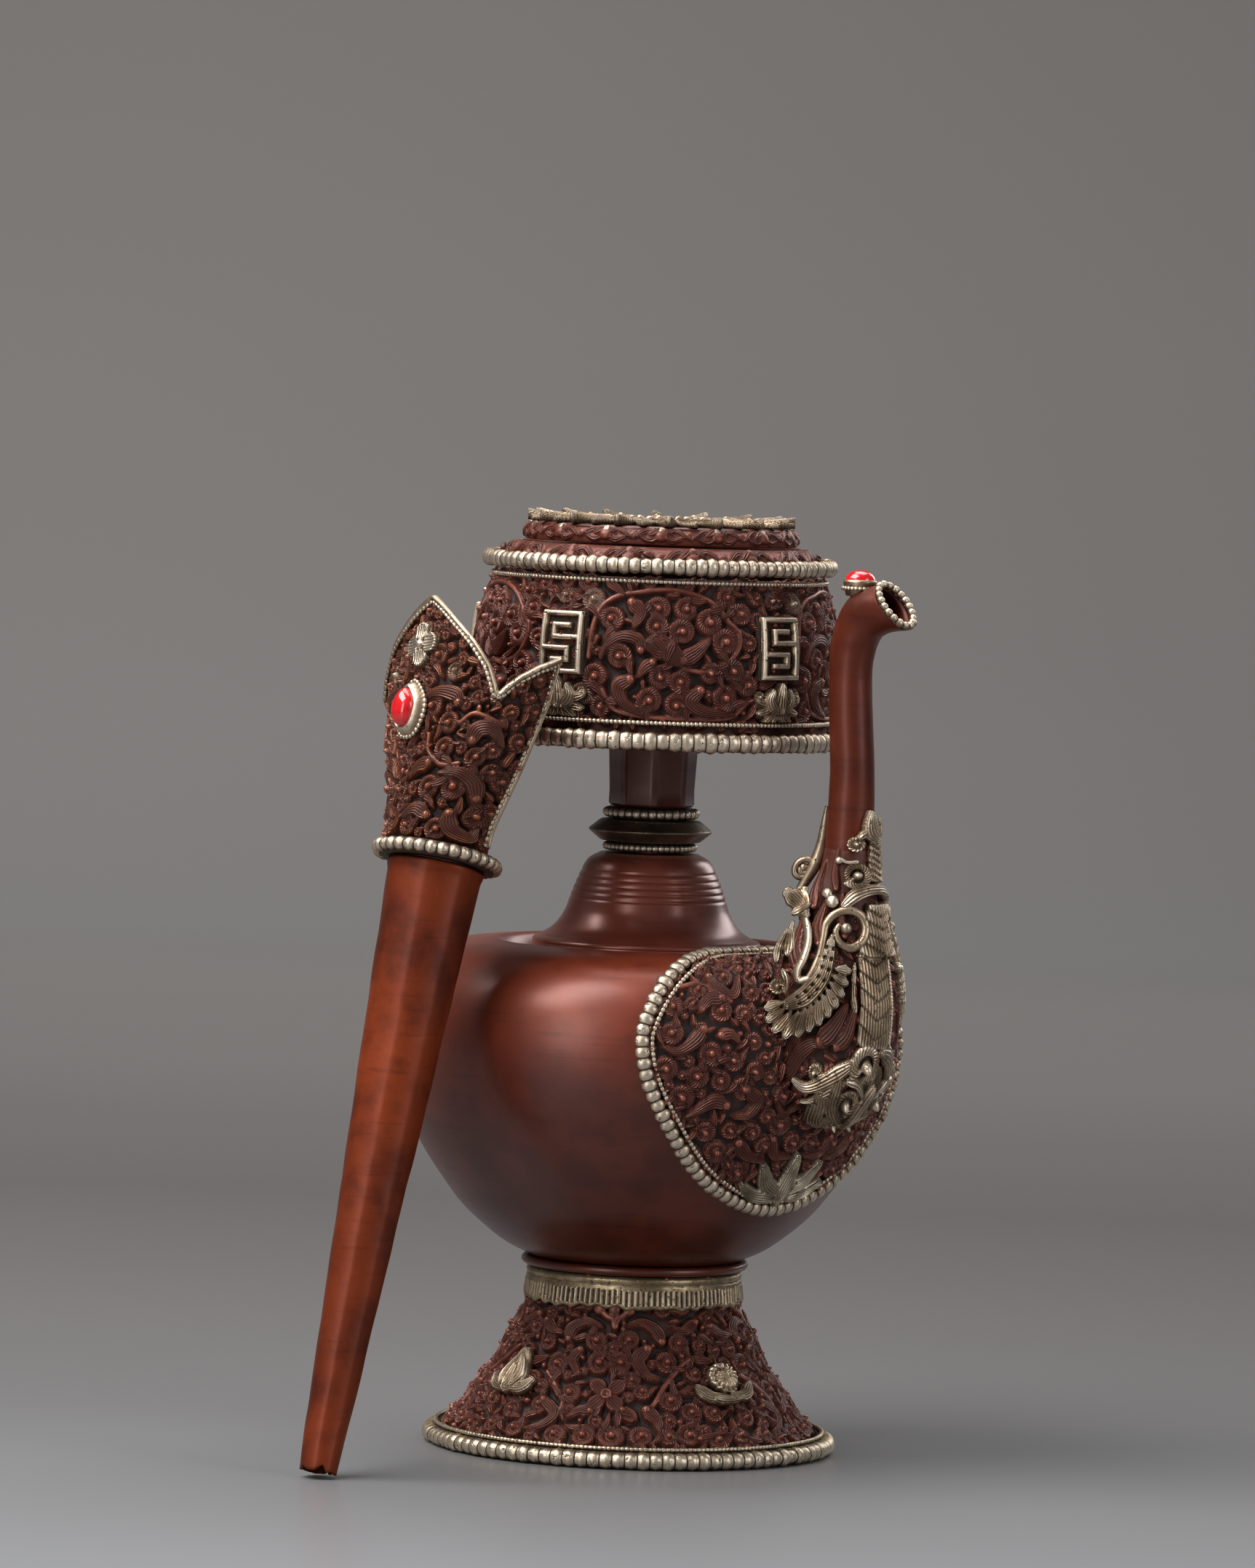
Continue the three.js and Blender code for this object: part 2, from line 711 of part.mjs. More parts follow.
// The bowl with the plaque's thickness on it, which the spout's root is cut to
function bowlWithPlaque(extra) {
  const points = besideProfile(bowlProfile(2 * bowlSteps).slice(0, -2), -extra);
  const [lowRadius, lowLevel] = points[0];
  const [highRadius, highLevel] = points[points.length - 1];
  const core = (lowRadius + highRadius) / 4;
  const profile = [[core, lowLevel], ...points, [core, highLevel], [core, lowLevel]];
  return turned(profile, 2 * bigTurnSteps);
}

function spoutTube() {
  const tube = wallBetween(spoutSkin(0), spoutSkin(-spoutWall), true);
  return cut(tube, bowlWithPlaque(heartThickness + 2 * seatGap));
}

function spoutMouthBeads() {
  const lift = seatGap + mouthBeadRadius;
  const frames = Array.from({ length: spoutSides }, (_, j) => {
    const turn = (360 * j) / spoutSides;
    const centre = onSpout(1, turn, lift - spoutWall);
    const run = onSpout(1, turn, 0).sub(onSpout(1, turn, -spoutWall)).normalize();
    const tilt = spoutCurve.tilt(1) * deg;
    const forward = new THREE.Vector3(Math.cos(tilt), 0, Math.sin(tilt));
    centre.addScaledVector(forward, lift);
    return { centre, up: forward, side: run };
  });
  return loopTube(frames, mouthBeadRadius);
}

// The spout without its bore, grown by a distance
function solidSpout(lift) {
  const rings = spoutSkin(lift);
  const points = [spoutEnd(0), ...rings.flat(), spoutEnd(1)];
  const faces = [];
  const at = (i, j) => 1 + i * spoutSides + (j % spoutSides);
  for (let j = 0; j < spoutSides; j += 1) {
    faces.push(0, at(0, j + 1), at(0, j), points.length - 1, at(spoutRings, j), at(spoutRings, j + 1));
    for (let i = 0; i < spoutRings; i += 1) {
      faces.push(at(i, j), at(i, j + 1), at(i + 1, j + 1), at(i, j), at(i + 1, j + 1), at(i + 1, j));
    }
  }
  return fromFaces(points, faces);
}

function spoutEnd(run) {
  const centre = spoutCurve.centre.getPoint(run);
  return new THREE.Vector3(centre.x, 0, centre.y);
}

// Moves a geometry made along +Z so that it stands on the spout's back where it bends
function onBend(geometry) {
  const foot = onSpout(bezelRun, 180, 0);
  return geometry.translate(foot.x, foot.y, foot.z);
}

function spoutBezel() {
  const low = -bezelHeight;
  const profile = [[0, low], [bezelRadius, low], [bezelRadius, bezelHeight], [0, bezelHeight]];
  return cut(onBend(turned(profile, smallTurnSteps)), solidSpout(seatGap));
}

function spoutStone() {
  const low = bezelHeight + seatGap;
  const side = stoneSectionShare.map(([r, z]) => [r * stoneRadius, low + z * stoneHeight]);
  return onBend(turned([[0, low], ...side, [0, low + stoneHeight]], smallTurnSteps));
}

// Scroll plaque

const bowlArc = bowlCurve.getLength();

// The plaque's outline, drawn in by a distance, as pairs of turn and arc share
function heartOutline(inset) {
  const half = heartOutlineShare.map(([turn, arc]) => {
    const radius = bowlCurve.getPointAt(arc).x;
    return new THREE.Vector2(turn * heartHalfAngle * deg * radius, arc * bowlArc);
  });
  const mirrored = half.slice(1, -1).reverse().map((p) => new THREE.Vector2(-p.x, p.y));
  const curve = new THREE.SplineCurve([...half, ...mirrored, half[0]]);
  const points = curve.getSpacedPoints(heartSteps).slice(0, -1);
  return points.map((p, i) => {
    const before = points[(i - 1 + points.length) % points.length];
    const after = points[(i + 1) % points.length];
    const along = after.clone().sub(before).normalize();
    const x = p.x + along.y * inset;
    const y = p.y - along.x * inset;
    const arc = y / bowlArc;
    return [heartAngle + x / bowlCurve.getPointAt(Math.min(arc, 1)).x / deg, arc];
  });
}

const beadInset = heartBeadRadius;
const wireInset = 2 * heartBeadRadius + seatGap + heartWireRadius;
const plateInset = wireInset + heartWireRadius + seatGap;

function heartPlate() {
  const edge = heartOutline(plateInset);
  const centreArc = heartHoleCentreShare * bowlArc;
  const hole = edge.map(([turn, arc]) => {
    const toEdge = Math.atan2((arc * bowlArc - centreArc), turn * deg * bowlRadius);
    return [heartHoleAngle * Math.cos(toEdge), (centreArc + heartHoleArc * Math.sin(toEdge)) / bowlArc];
  });
  const skin = (lift) => Array.from({ length: heartRings + 1 }, (_, i) => edge.map(([turn, arc], j) => {
    const share = i / heartRings;
    const [holeTurn, holeArc] = hole[j];
    return onBowl(holeTurn + (turn - holeTurn) * share, holeArc + (arc - holeArc) * share, lift);
  }));
  return wallBetween(skin(seatGap + heartThickness), skin(seatGap), true);
}

function heartRope(inset, radius) {
  const outline = heartOutline(inset);
  const frames = outline.map(([turn, arc], i) => {
    const centre = onBowl(turn, arc, seatGap + radius);
    const up = onBowl(turn, arc, seatGap + 2 * radius).sub(centre).normalize();
    const [nextTurn, nextArc] = outline[(i + 1) % outline.length];
    const [lastTurn, lastArc] = outline[(i - 1 + outline.length) % outline.length];
    const along = onBowl(nextTurn, nextArc, 0).sub(onBowl(lastTurn, lastArc, 0)).normalize();
    return { centre, up, side: up.clone().cross(along).normalize() };
  });
  return loopTube(frames, radius, ropeSides);
}

// Silver dress on the spout

function spoutDress([from, to, left, right]) {
  const row = (i, lift) => Array.from({ length: dressColumns }, (_, j) => onSpout(
    from + ((to - from) * i) / (dressRows - 1),
    left + ((right - left) * j) / (dressColumns - 1),
    lift,
  ));
  const skin = (lift) => Array.from({ length: dressRows }, (_, i) => row(i, lift));
  const patch = wallBetween(skin(dressLift + dressThickness), skin(dressLift), false);
  return cut(patch, bowlWithPlaque(heartThickness + 2 * seatGap));
}

// Holder, in its own frame: tip at the origin, shaft along +Z, front towards +X

const holderRingLevel = shaftLength + seatGap;
const hoodLevel = holderRingLevel + holderRingHeight + seatGap;

function holderShaft() {
  const slope = (shaftTopRadius - shaftTipRadius) / shaftLength;
  const mid = shaftLength / 2;
  const outer = [[shaftTipRadius, 0], [shaftTipRadius + slope * mid, mid], [shaftTopRadius, shaftLength]];
  const inner = outer.map(([r, z]) => [r - shaftWall, z]).reverse();
  return turned([...outer, ...inner, outer[0]], shaftSides);
}

function holderBeadRing() {
  const wide = holderRingRadius - holderRingBore;
  return beadRing(holderRingBore, wide, holderRingLevel, holderRingHeight, smallTurnSteps);
}

// The edge of the hood at a turn from its front, as a height over the bead ring
function hoodEdge(turn) {
  return readShare(hoodEdgeShare, Math.abs(turn) / 180) * hoodHeight;
}

// The point on the hood's outer face; the section grows from a circle to a wide flat oval
function onHood(turn, height, lift) {
  const spread = readShare(hoodSpreadShare, height / hoodHeight);
  const front = Math.cos(turn * deg) > 0 ? hoodFrontDepth : hoodBackDepth;
  const wide = hoodRootRadius + (hoodHalfWidth - hoodRootRadius) * spread + lift;
  const deep = hoodRootRadius + (front - hoodRootRadius) * spread + lift;
  return new THREE.Vector3(deep * Math.cos(turn * deg), wide * Math.sin(turn * deg), hoodLevel + height);
}

function holderLiner() {
  const low = -hoodWall - seatGap;
  const turns = Array.from({ length: hoodSteps }, (_, j) => (360 * j) / hoodSteps - 180);
  const skin = (lift) => Array.from({ length: hoodRings }, (_, i) => turns.map(
    (turn) => onHood(turn, ((hoodEdge(turn) - linerWall) * i) / (hoodRings - 1), low + lift),
  ));
  return wallBetween(skin(0), skin(-linerWall), true);
}

function hoodTurns() {
  return Array.from({ length: hoodColumns + 1 }, (_, j) => ((2 * j) / hoodColumns - 1) * hoodEndAngle);
}

function holderHood() {
  const skin = (lift) => Array.from({ length: hoodRings }, (_, i) => hoodTurns().map(
    (turn) => onHood(turn, (hoodEdge(turn) * i) / (hoodRings - 1), lift),
  ));
  return wallBetween(skin(0), skin(-hoodWall), false);
}

// Moves an edge of [turn, height] points off the hood's rim, square to its run, with mitred corners
function clearOfRim(edge, distance) {
  const perDegree = (turn, height) => onHood(turn, height, 0).distanceTo(onHood(turn + 1, height, 0));
  return edge.map(([turn, height], i) => {
    const [turn0, height0] = edge[Math.max(i - 1, 0)];
    const [turn1, height1] = edge[Math.min(i + 1, edge.length - 1)];
    const scale = perDegree(turn, height);
    const before = new THREE.Vector2((turn - turn0) * scale, height - height0).normalize();
    const after = new THREE.Vector2((turn1 - turn) * scale, height1 - height).normalize();
    const along = before.clone().add(after).normalize();
    const mitre = distance / Math.max(along.dot(i ? before : after), borderMitre);
    return [turn - (along.y * mitre) / scale, height + along.x * mitre];
  });
}

// Leaves out the points of an edge that lie closer to the one before than a distance
function apart(edge, distance) {
  const kept = [edge[0]];
  for (const point of edge.slice(1)) {
    const [turn, height] = kept[kept.length - 1];
    if (onHood(turn, height, 0).distanceTo(onHood(...point, 0)) > distance) kept.push(point);
  }
  return kept;
}

// Twisted silver border: up one side seam, round the petals and down the other seam
function holderBorder() {
  const above = borderRadius + 2 * seatGap;
  const seamTop = hoodEdge(hoodEndAngle);
  const seam = Array.from({ length: seamSteps }, (_, i) => (
    [hoodEndAngle, above + ((seamTop - above) * i) / seamSteps]
  ));
  const edge = [
    ...seam.map(([turn, height]) => [-turn, height]),
    ...hoodTurns().map((turn) => [turn, hoodEdge(turn)]),
    ...seam.reverse(),
  ];
  const path = apart(clearOfRim(edge, above), 2 * borderRadius);
  const points = path.map(([turn, height]) => onHood(turn, height, -borderRadius / 2));
  const ups = path.map(([turn]) => new THREE.Vector3(Math.cos(turn * deg), Math.sin(turn * deg), 0));
  return openTube(points, ups, borderRadius);
}

// A capped tube through points, each with a direction that stays in its section
function openTube(points, ups, radius, sides = 6) {
  const corners = [];
  const faces = [];
  points.forEach((point, i) => {
    const next = points[Math.min(i + 1, points.length - 1)];
    const last = points[Math.max(i - 1, 0)];
    const along = next.clone().sub(last).normalize();
    const side = ups[i].clone().cross(along).normalize();
    const up = along.clone().cross(side).normalize();
    for (let k = 0; k < sides; k += 1) {
      const a = (2 * Math.PI * k) / sides;
      const corner = point.clone().addScaledVector(up, Math.cos(a) * radius);
      corners.push(corner.addScaledVector(side, Math.sin(a) * radius));
    }
  });
  for (let i = 0; i < points.length - 1; i += 1) {
    for (let k = 0; k < sides; k += 1) {
      const k2 = (k + 1) % sides;
      const [a, b] = [i * sides, (i + 1) * sides];
      faces.push(a + k, b + k, b + k2, a + k, b + k2, a + k2);
    }
  }
  const last = (points.length - 1) * sides;
  for (let k = 1; k < sides - 1; k += 1) {
    faces.push(0, k, k + 1);
    faces.push(last, last + k + 1, last + k);
  }
  return fromFaces(corners, faces);
}

function teardrop(width, height) {
  return Array.from({ length: outlineSteps }, (_, i) => {
    const a = (2 * Math.PI * i) / outlineSteps;
    const narrow = Math.sin(a) > 0 ? 1 - teardropTaper * Math.sin(a) ** 2 : 1;
    return [(width / 2) * Math.cos(a) * narrow, (height / 2) * Math.sin(a)];
  });
}

// A solid badge on the hood's front: rings of its outline drawn in to one middle point
function hoodBadge(levelShare, outline, low, high, domed) {
  const middleLow = onHood(0, hoodHeight * levelShare, low);
  const middleHigh = onHood(0, hoodHeight * levelShare, high + domed);
  const spread = hoodRootRadius + (hoodHalfWidth - hoodRootRadius) * readShare(hoodSpreadShare, levelShare);
  const points = [middleHigh, middleLow];
  const count = outline.length;
  const place = (lift, crown, share) => outline.map(([across, up]) => onHood(
    Math.asin((across * share) / spread) / deg,
    hoodHeight * levelShare + up * share,
    lift + crown * (1 - share * share),
  ));
  for (let i = 1; i <= badgeRings; i += 1) points.push(...place(high, domed, i / badgeRings));
  points.push(...place(low, 0, 1));
  const ring = (i, j) => 2 + i * count + (j % count);
  const faces = [];
  for (let j = 0; j < count; j += 1) {
    faces.push(0, ring(0, j), ring(0, j + 1));
    for (let i = 0; i < badgeRings; i += 1) {
      faces.push(ring(i, j), ring(i + 1, j), ring(i + 1, j + 1), ring(i, j), ring(i + 1, j + 1), ring(i, j + 1));
    }
    faces.push(1, ring(badgeRings, j + 1), ring(badgeRings, j));
  }
  return fromFaces(points, faces);
}

function holderBezel() {
  const rim = 2 * holderBezelMargin;
  const outline = teardrop(holderStoneWidth + rim, holderStoneHeight + rim);
  return hoodBadge(holderStoneLevelShare, outline, seatGap, seatGap + holderBezelThickness, 0);
}

function holderStone() {
  const low = 2 * seatGap + holderBezelThickness;
  const side = holderStoneThickness * holderStoneSideShare;
  const outline = teardrop(holderStoneWidth, holderStoneHeight);
  return hoodBadge(holderStoneLevelShare, outline, low, low + side, holderStoneThickness - side);
}

function holderFlower() {
  const outline = Array.from({ length: outlineSteps }, (_, i) => {
    const a = (2 * Math.PI * i) / outlineSteps;
    const radius = flowerRadius * (1 - petalDepth * (1 - Math.abs(Math.cos((flowerPetals * a) / 2))));
    return [radius * Math.cos(a), radius * Math.sin(a)];
  });
  return hoodBadge(flowerLevelShare, outline, seatGap, seatGap + flowerThickness, 0);
}

// Materials

function metal(colour, roughness) {
  return new THREE.MeshStandardMaterial({ color: colour, metalness: 1, roughness });
}

const finishes = {
  copper: () => metal(0x5a2a1e, 0.4),
  scroll: () => metal(0x4a2018, 0.55),
  shaft: () => metal(0x7a3018, 0.38),
  silver: () => metal(0xb8ac94, 0.35),
  bronze: () => metal(0x4e4334, 0.4),
  coral: () => new THREE.MeshStandardMaterial({ color: 0xc8141a, metalness: 0, roughness: 0.25 }),
};

function piece(name, geometry, finish) {
  const mesh = new THREE.Mesh(geometry, finishes[finish]());
  mesh.name = name;
  return mesh;
}

function repeated(name, count, firstTurn, make, finish) {
  return Array.from({ length: count }, (_, i) => piece(
    `${name}_${i + 1}`,
    make(firstTurn + (360 * i) / count),
    finish,
  ));
}

function vase() {
  const group = new THREE.Group();
  group.add(
    piece('foot_shell', footShell(), 'scroll'),
    piece('foot_rim_beads', footRimBeads(), 'silver'),
    piece('foot_collar', footCollar(), 'silver'),
    piece('foot_lip', footLip(), 'copper'),
    ...repeated('foot_symbol', symbolCount, firstSymbolAngle, footSymbol, 'silver'),
    piece('bowl', bowlShell(), 'copper'),
    piece('neck_bell', neckBell(), 'copper'),
    piece('neck_beads_lower', neckBeadRing(lowerBeadRadius, lowerBeadLevel, lowerBeadHeight), 'bronze'),
    piece('neck_ring', neckRing(), 'bronze'),
    piece('neck_beads_upper', neckBeadRing(upperBeadRadius, upperBeadLevel, upperBeadHeight), 'bronze'),
    piece('neck_tube', neckTube(), 'copper'),
    piece('drum_floor', drumFloor(), 'copper'),
    piece('drum_wall', drumWall(), 'scroll'),
    piece('drum_beads_lower', drumLowerBeads(), 'silver'),
    piece('drum_beads_upper', drumUpperBeads(), 'silver'),
    piece('drum_wire_lower', drumWire(lowerWireLevel), 'silver'),
    piece('drum_wire_upper', drumWire(upperWireLevel), 'silver'),
    ...repeated('drum_plaque', plaqueCount, firstPlaqueAngle, drumPlaque, 'silver'),
    ...repeated('drum_lotus', plaqueCount, firstPlaqueAngle, drumLotus, 'silver'),
    piece('lid', lidShell(), 'scroll'),
    piece('lid_rosette', lidRosette(), 'silver'),
    ...repeated('lid_screw', screwCount, firstScrewAngle, lidScrew, 'copper'),
    piece('spout_tube', spoutTube(), 'copper'),
    piece('spout_mouth_beads', spoutMouthBeads(), 'silver'),
    piece('spout_bezel', spoutBezel(), 'silver'),
    piece('spout_stone', spoutStone(), 'coral'),
    piece('heart_plate', heartPlate(), 'scroll'),
    piece('heart_beads', heartRope(beadInset, heartBeadRadius), 'silver'),
    piece('heart_wire', heartRope(wireInset, heartWireRadius), 'silver'),
    ...Object.entries(dressShare).map(([name, span]) => piece(name, spoutDress(span), 'silver')),
  );
  return group;
}

function holder() {
  const group = new THREE.Group();
  group.add(
    piece('holder_shaft', holderShaft(), 'shaft'),
    piece('holder_bead_ring', holderBeadRing(), 'silver'),
    piece('holder_liner', holderLiner(), 'shaft'),
    piece('holder_hood', holderHood(), 'scroll'),
    piece('holder_border', holderBorder(), 'silver'),
    piece('holder_bezel', holderBezel(), 'silver'),
    piece('holder_stone', holderStone(), 'coral'),
    piece('holder_flower', holderFlower(), 'silver'),
  );
  return group;
}

const bowlReaches = bowlCurve.getSpacedPoints(bowlSteps * bowlInnerSteps).map((point) => [point.y, point.x]);

function bowlReachAt(level) {
  return readShare(bowlReaches, level);
}

// How far the vase reaches from its axis at a level and a turn, on everything that the holder can meet
function vaseReachAt(level, turn) {
  const plaqueLow = drumWallLevel + plaqueLift;
  const upperRim = drumOuter[drumOuter.length - 1][0] + seatGap + upperRimReach;
  const wire = seatGap + 2 * drumWireRadius;
  const bands = [
    [drumRadius + seatGap + lowerRimReach, drumLevel, drumLevel + lowerRimHeight, 0],
    [upperRim, drumTopLevel, drumTopLevel + upperRimHeight + seatGap, 0],
    [drumOuterAt(level), drumWallLevel, drumTopLevel, 0],
    [drumOuterAt(level) + wire, lowerWireLevel - drumWireRadius, lowerWireLevel + drumWireRadius, 0],
    [drumOuterAt(level) + wire, upperWireLevel - drumWireRadius, upperWireLevel + drumWireRadius, 0],
    [drumOuterAt(level) + seatGap + plaqueThickness, plaqueLow, plaqueLow + plaqueHeight, plaqueWidth],
    [drumOuterAt(level) + seatGap + lotusThickness, plaqueLow - seatGap - lotusHeight, plaqueLow, lotusWidth],
    [footRadius + seatGap + footRimDepth, 0, footRimHeight, 0],
    [bowlReachAt(level), bowlLevel, shoulderLevel, 0],
  ];
  const step = 360 / plaqueCount;
  const offTurn = Math.abs(((turn - firstPlaqueAngle + 360 + step / 2) % step) - step / 2);
  const offPlaque = offTurn * deg * drumRadius;
  const met = bands.filter(([, low, high, width]) => (
    level >= low && level <= high && (width === 0 || offPlaque <= width / 2 + seatGap)
  ));
  return Math.max(0, ...met.map(([radius]) => radius));
}

// Points along every edge of a mesh, no further apart than a quarter of the drum's lower rim
function pointsOnEdges(geometry) {
  const p = geometry.attributes.position;
  const index = geometry.index.array;
  const spacing = lowerRimHeight / 4;
  const points = [];
  for (let i = 0; i < index.length; i += 1) {
    const next = i % 3 === 2 ? i - 2 : i + 1;
    const from = new THREE.Vector3().fromBufferAttribute(p, index[i]);
    const to = new THREE.Vector3().fromBufferAttribute(p, index[next]);
    const steps = index[i] < index[next] ? Math.ceil(from.distanceTo(to) / spacing) : 0;
    for (let k = 0; k < steps; k += 1) points.push(from.clone().lerp(to, k / steps));
  }
  return points;
}

// Slides the leaning holder up to the vase until it is one gap from it, with its tip on the floor
function leanHolder(group) {
  const upright = new THREE.Vector3(0, 0, 1);
  const axis = around(Math.sin(holderLeanAngle * deg), leanAngle, Math.cos(holderLeanAngle * deg));
  const turnFront = new THREE.Quaternion().setFromAxisAngle(upright, holderFrontAngle * deg);
  group.quaternion.setFromUnitVectors(upright, axis).multiply(turnFront);
  const spots = group.children.flatMap((mesh) => pointsOnEdges(mesh.geometry));
  for (const spot of spots) spot.applyQuaternion(group.quaternion);
  const lowest = Math.min(...spots.map((spot) => spot.z));
  const gapAt = (reach) => {
    const tip = around(reach, tipAngle, -lowest);
    return Math.min(...spots.map((spot) => {
      const [x, y] = [spot.x + tip.x, spot.y + tip.y];
      return Math.hypot(x, y) - vaseReachAt(spot.z + tip.z, Math.atan2(y, x) / deg);
    }));
  };
  let [near, far] = [0, 2 * (bowlRadius + shaftLength + hoodHeight)];
  for (let i = 0; i < slideSteps; i += 1) {
    const reach = (near + far) / 2;
    if (gapAt(reach) > seatGap) far = reach;
    else near = reach;
  }
  group.position.copy(around(far, tipAngle, -lowest));
}

// The origin lies under the middle of the whole set's box, on the floor
const set = new THREE.Group();
const holderGroup = holder();
leanHolder(holderGroup);
set.add(vase(), holderGroup);
const box = new THREE.Box3().setFromObject(set, true);
set.position.set(-(box.min.x + box.max.x) / 2, -(box.min.y + box.max.y) / 2, -box.min.z);
set.updateMatrixWorld(true);

export default set;
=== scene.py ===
"""Bumpa vase: dark red copper with chased scrolls and antique silver, and its loose feather holder."""
import math

import bpy
import numpy as np
from mathutils import Matrix, Vector


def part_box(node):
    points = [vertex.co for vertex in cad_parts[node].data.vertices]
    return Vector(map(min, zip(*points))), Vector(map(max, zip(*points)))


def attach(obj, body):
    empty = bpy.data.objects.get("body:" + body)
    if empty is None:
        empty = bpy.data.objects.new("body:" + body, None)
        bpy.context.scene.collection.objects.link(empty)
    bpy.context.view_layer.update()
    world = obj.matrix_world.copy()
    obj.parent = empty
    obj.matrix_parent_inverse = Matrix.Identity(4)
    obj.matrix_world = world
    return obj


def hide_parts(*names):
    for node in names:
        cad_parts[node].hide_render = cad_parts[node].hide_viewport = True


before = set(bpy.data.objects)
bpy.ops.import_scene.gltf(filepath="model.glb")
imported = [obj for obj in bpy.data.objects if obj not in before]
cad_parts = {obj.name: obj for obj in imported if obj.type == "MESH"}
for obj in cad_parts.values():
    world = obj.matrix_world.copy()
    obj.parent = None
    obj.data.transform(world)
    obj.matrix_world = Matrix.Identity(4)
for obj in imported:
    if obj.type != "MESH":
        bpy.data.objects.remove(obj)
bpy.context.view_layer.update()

MM = 0.001
DEG = math.pi / 180
FULL_TURN = 2 * math.pi
CAMERA_RIGHT = (0.743, 0.669)
CAMERA_AWAY = (-0.669, 0.743)
# Engraved lines are this far apart, in mm.
LINE_PITCH = 0.68
FAR_OFF = 1e9


# Small sums

def limited(x):
    return np.clip(x, 0, 1)


def dome(x):
    """1 in the middle, and 0 where x is 1 or more, as on a ball."""
    return np.sqrt(limited(1 - x**2))


def bell(x):
    return np.exp(-(x**2))


def circle(count):
    """Even angles round the axis, in radians."""
    return np.arange(count) * FULL_TURN / count


def even_turns(count):
    """Even turns round the axis, in degrees."""
    return np.arange(count) * 360 / count


def polar(radius, angle, level):
    return np.stack(np.broadcast_arrays(radius * np.cos(angle), radius * np.sin(angle), level), -1)


def directions(rows):
    return rows / np.linalg.norm(rows, axis=1, keepdims=True)


def lengths_along(points):
    """How far along a line each of its points is."""
    return np.concatenate([[0], np.cumsum(np.linalg.norm(np.diff(points, axis=0), axis=1))])


def read_rows(rows, run, at):
    """Rows of numbers that lie along a run, read at other places on it."""
    return np.stack([np.interp(at, run, column) for column in rows.T], -1)


def spline(a, b, c, d, t):
    """A place between b and c on a soft curve through four."""
    return 0.5 * (2 * b + (c - a) * t + (2 * a - 5 * b + 4 * c - d) * t**2 + (3 * b - a - 3 * c + d) * t**3)


# Shader sums

class Value:
    """A socket of a material that takes part in sums."""

    def __init__(self, paint, socket):
        self.paint = paint
        self.socket = socket

    def math(self, operation, *others):
        return self.paint.node("ShaderNodeMath", {"operation": operation}, dict(enumerate((self, *others))))

    def __add__(self, other):
        return self.math("ADD", other)

    __radd__ = __add__

    def __sub__(self, other):
        return self.math("SUBTRACT", other)

    def __rsub__(self, other):
        return self.paint.node("ShaderNodeMath", {"operation": "SUBTRACT"}, {0: other, 1: self})

    def __mul__(self, other):
        return self.math("MULTIPLY", other)

    __rmul__ = __mul__

    def __truediv__(self, other):
        return self.math("DIVIDE", other)

    def between(self, low, high):
        """0 up to low, 1 from high on, and soft steps between them."""
        sockets = {"Value": self, "From Min": low, "From Max": high}
        return self.paint.node("ShaderNodeMapRange", {"interpolation_type": "SMOOTHSTEP"}, sockets)


class Paint:
    """A procedural material in the making."""

    def __init__(self, name):
        self.material = bpy.data.materials.new(name)
        self.material.use_nodes = True
        self.tree = self.material.node_tree
        self.tree.nodes.clear()
        self.place = self.node("ShaderNodeTexCoord", {}, {}, "Object")

    def node(self, kind, settings, sockets, output=0):
        """Adds one node: settings first, then the values or links of its sockets."""
        made = self.tree.nodes.new(kind)
        for key, value in settings.items():
            if key == "stops":
                ramp = made.color_ramp
                while len(ramp.elements) < len(value):
                    ramp.elements.new(0.5)
                for element, (position, colour) in zip(ramp.elements, value):
                    element.position = position
                    element.color = (*colour, 1)
            else:
                setattr(made, key, value)
        for key, value in sockets.items():
            socket = made.inputs[key]
            if isinstance(value, Value):
                self.tree.links.new(value.socket, socket)
            elif isinstance(value, tuple) and len(value) == 3 and socket.type == "RGBA":
                socket.default_value = (*value, 1)
            else:
                socket.default_value = value
        return Value(self, made.outputs[output])

    def noise(self, scale, detail=4.0, stretch=(1, 1, 1)):
        """Noise with a feature size of about 1 / scale, in 1 / m."""
        spot = self.node("ShaderNodeVectorMath", {"operation": "MULTIPLY"}, {0: self.place, 1: stretch})
        sockets = {"Vector": spot, "Scale": scale, "Detail": detail, "Roughness": 0.55}
        return self.node("ShaderNodeTexNoise", {}, sockets, "Fac")

    def way_along(self, direction):
        """How far along a direction, in m."""
        sockets = {0: self.place, 1: tuple(direction)}
        return self.node("ShaderNodeVectorMath", {"operation": "DOT_PRODUCT"}, sockets, "Value")

    def mark(self, name):
        """A number kept on the mesh's points."""
        return self.node("ShaderNodeAttribute", {"attribute_name": name}, {}, "Fac")

    def strokes(self):
        """Engraved lines, from -1 to 1, where the carving has them."""
        return (self.mark("line") * (FULL_TURN / LINE_PITCH)).math("SINE") * self.mark("lined")

    def mix(self, share, first, second):
        return self.node("ShaderNodeMix", {"data_type": "RGBA"}, {0: share, 6: first, 7: second}, 2)

    def bump(self, height, distance, strength=1.0):
        sockets = {"Height": height, "Distance": distance, "Strength": strength}
        return self.node("ShaderNodeBump", {}, sockets, "Normal")

    def metal(self, colour, roughness, metallic, normal=None, coat=None, **fixed):
        sockets = {"Base Color": colour, "Roughness": roughness, "Metallic": metallic, **fixed}
        if normal is not None:
            sockets["Normal"] = normal
        if coat is not None:
            sockets["Coat Weight"] = coat
        shader = self.node("ShaderNodeBsdfPrincipled", {}, sockets, "BSDF")
        out = self.tree.nodes.new("ShaderNodeOutputMaterial")
        self.tree.links.new(shader.socket, out.inputs["Surface"])
        return self.material


# Finishes

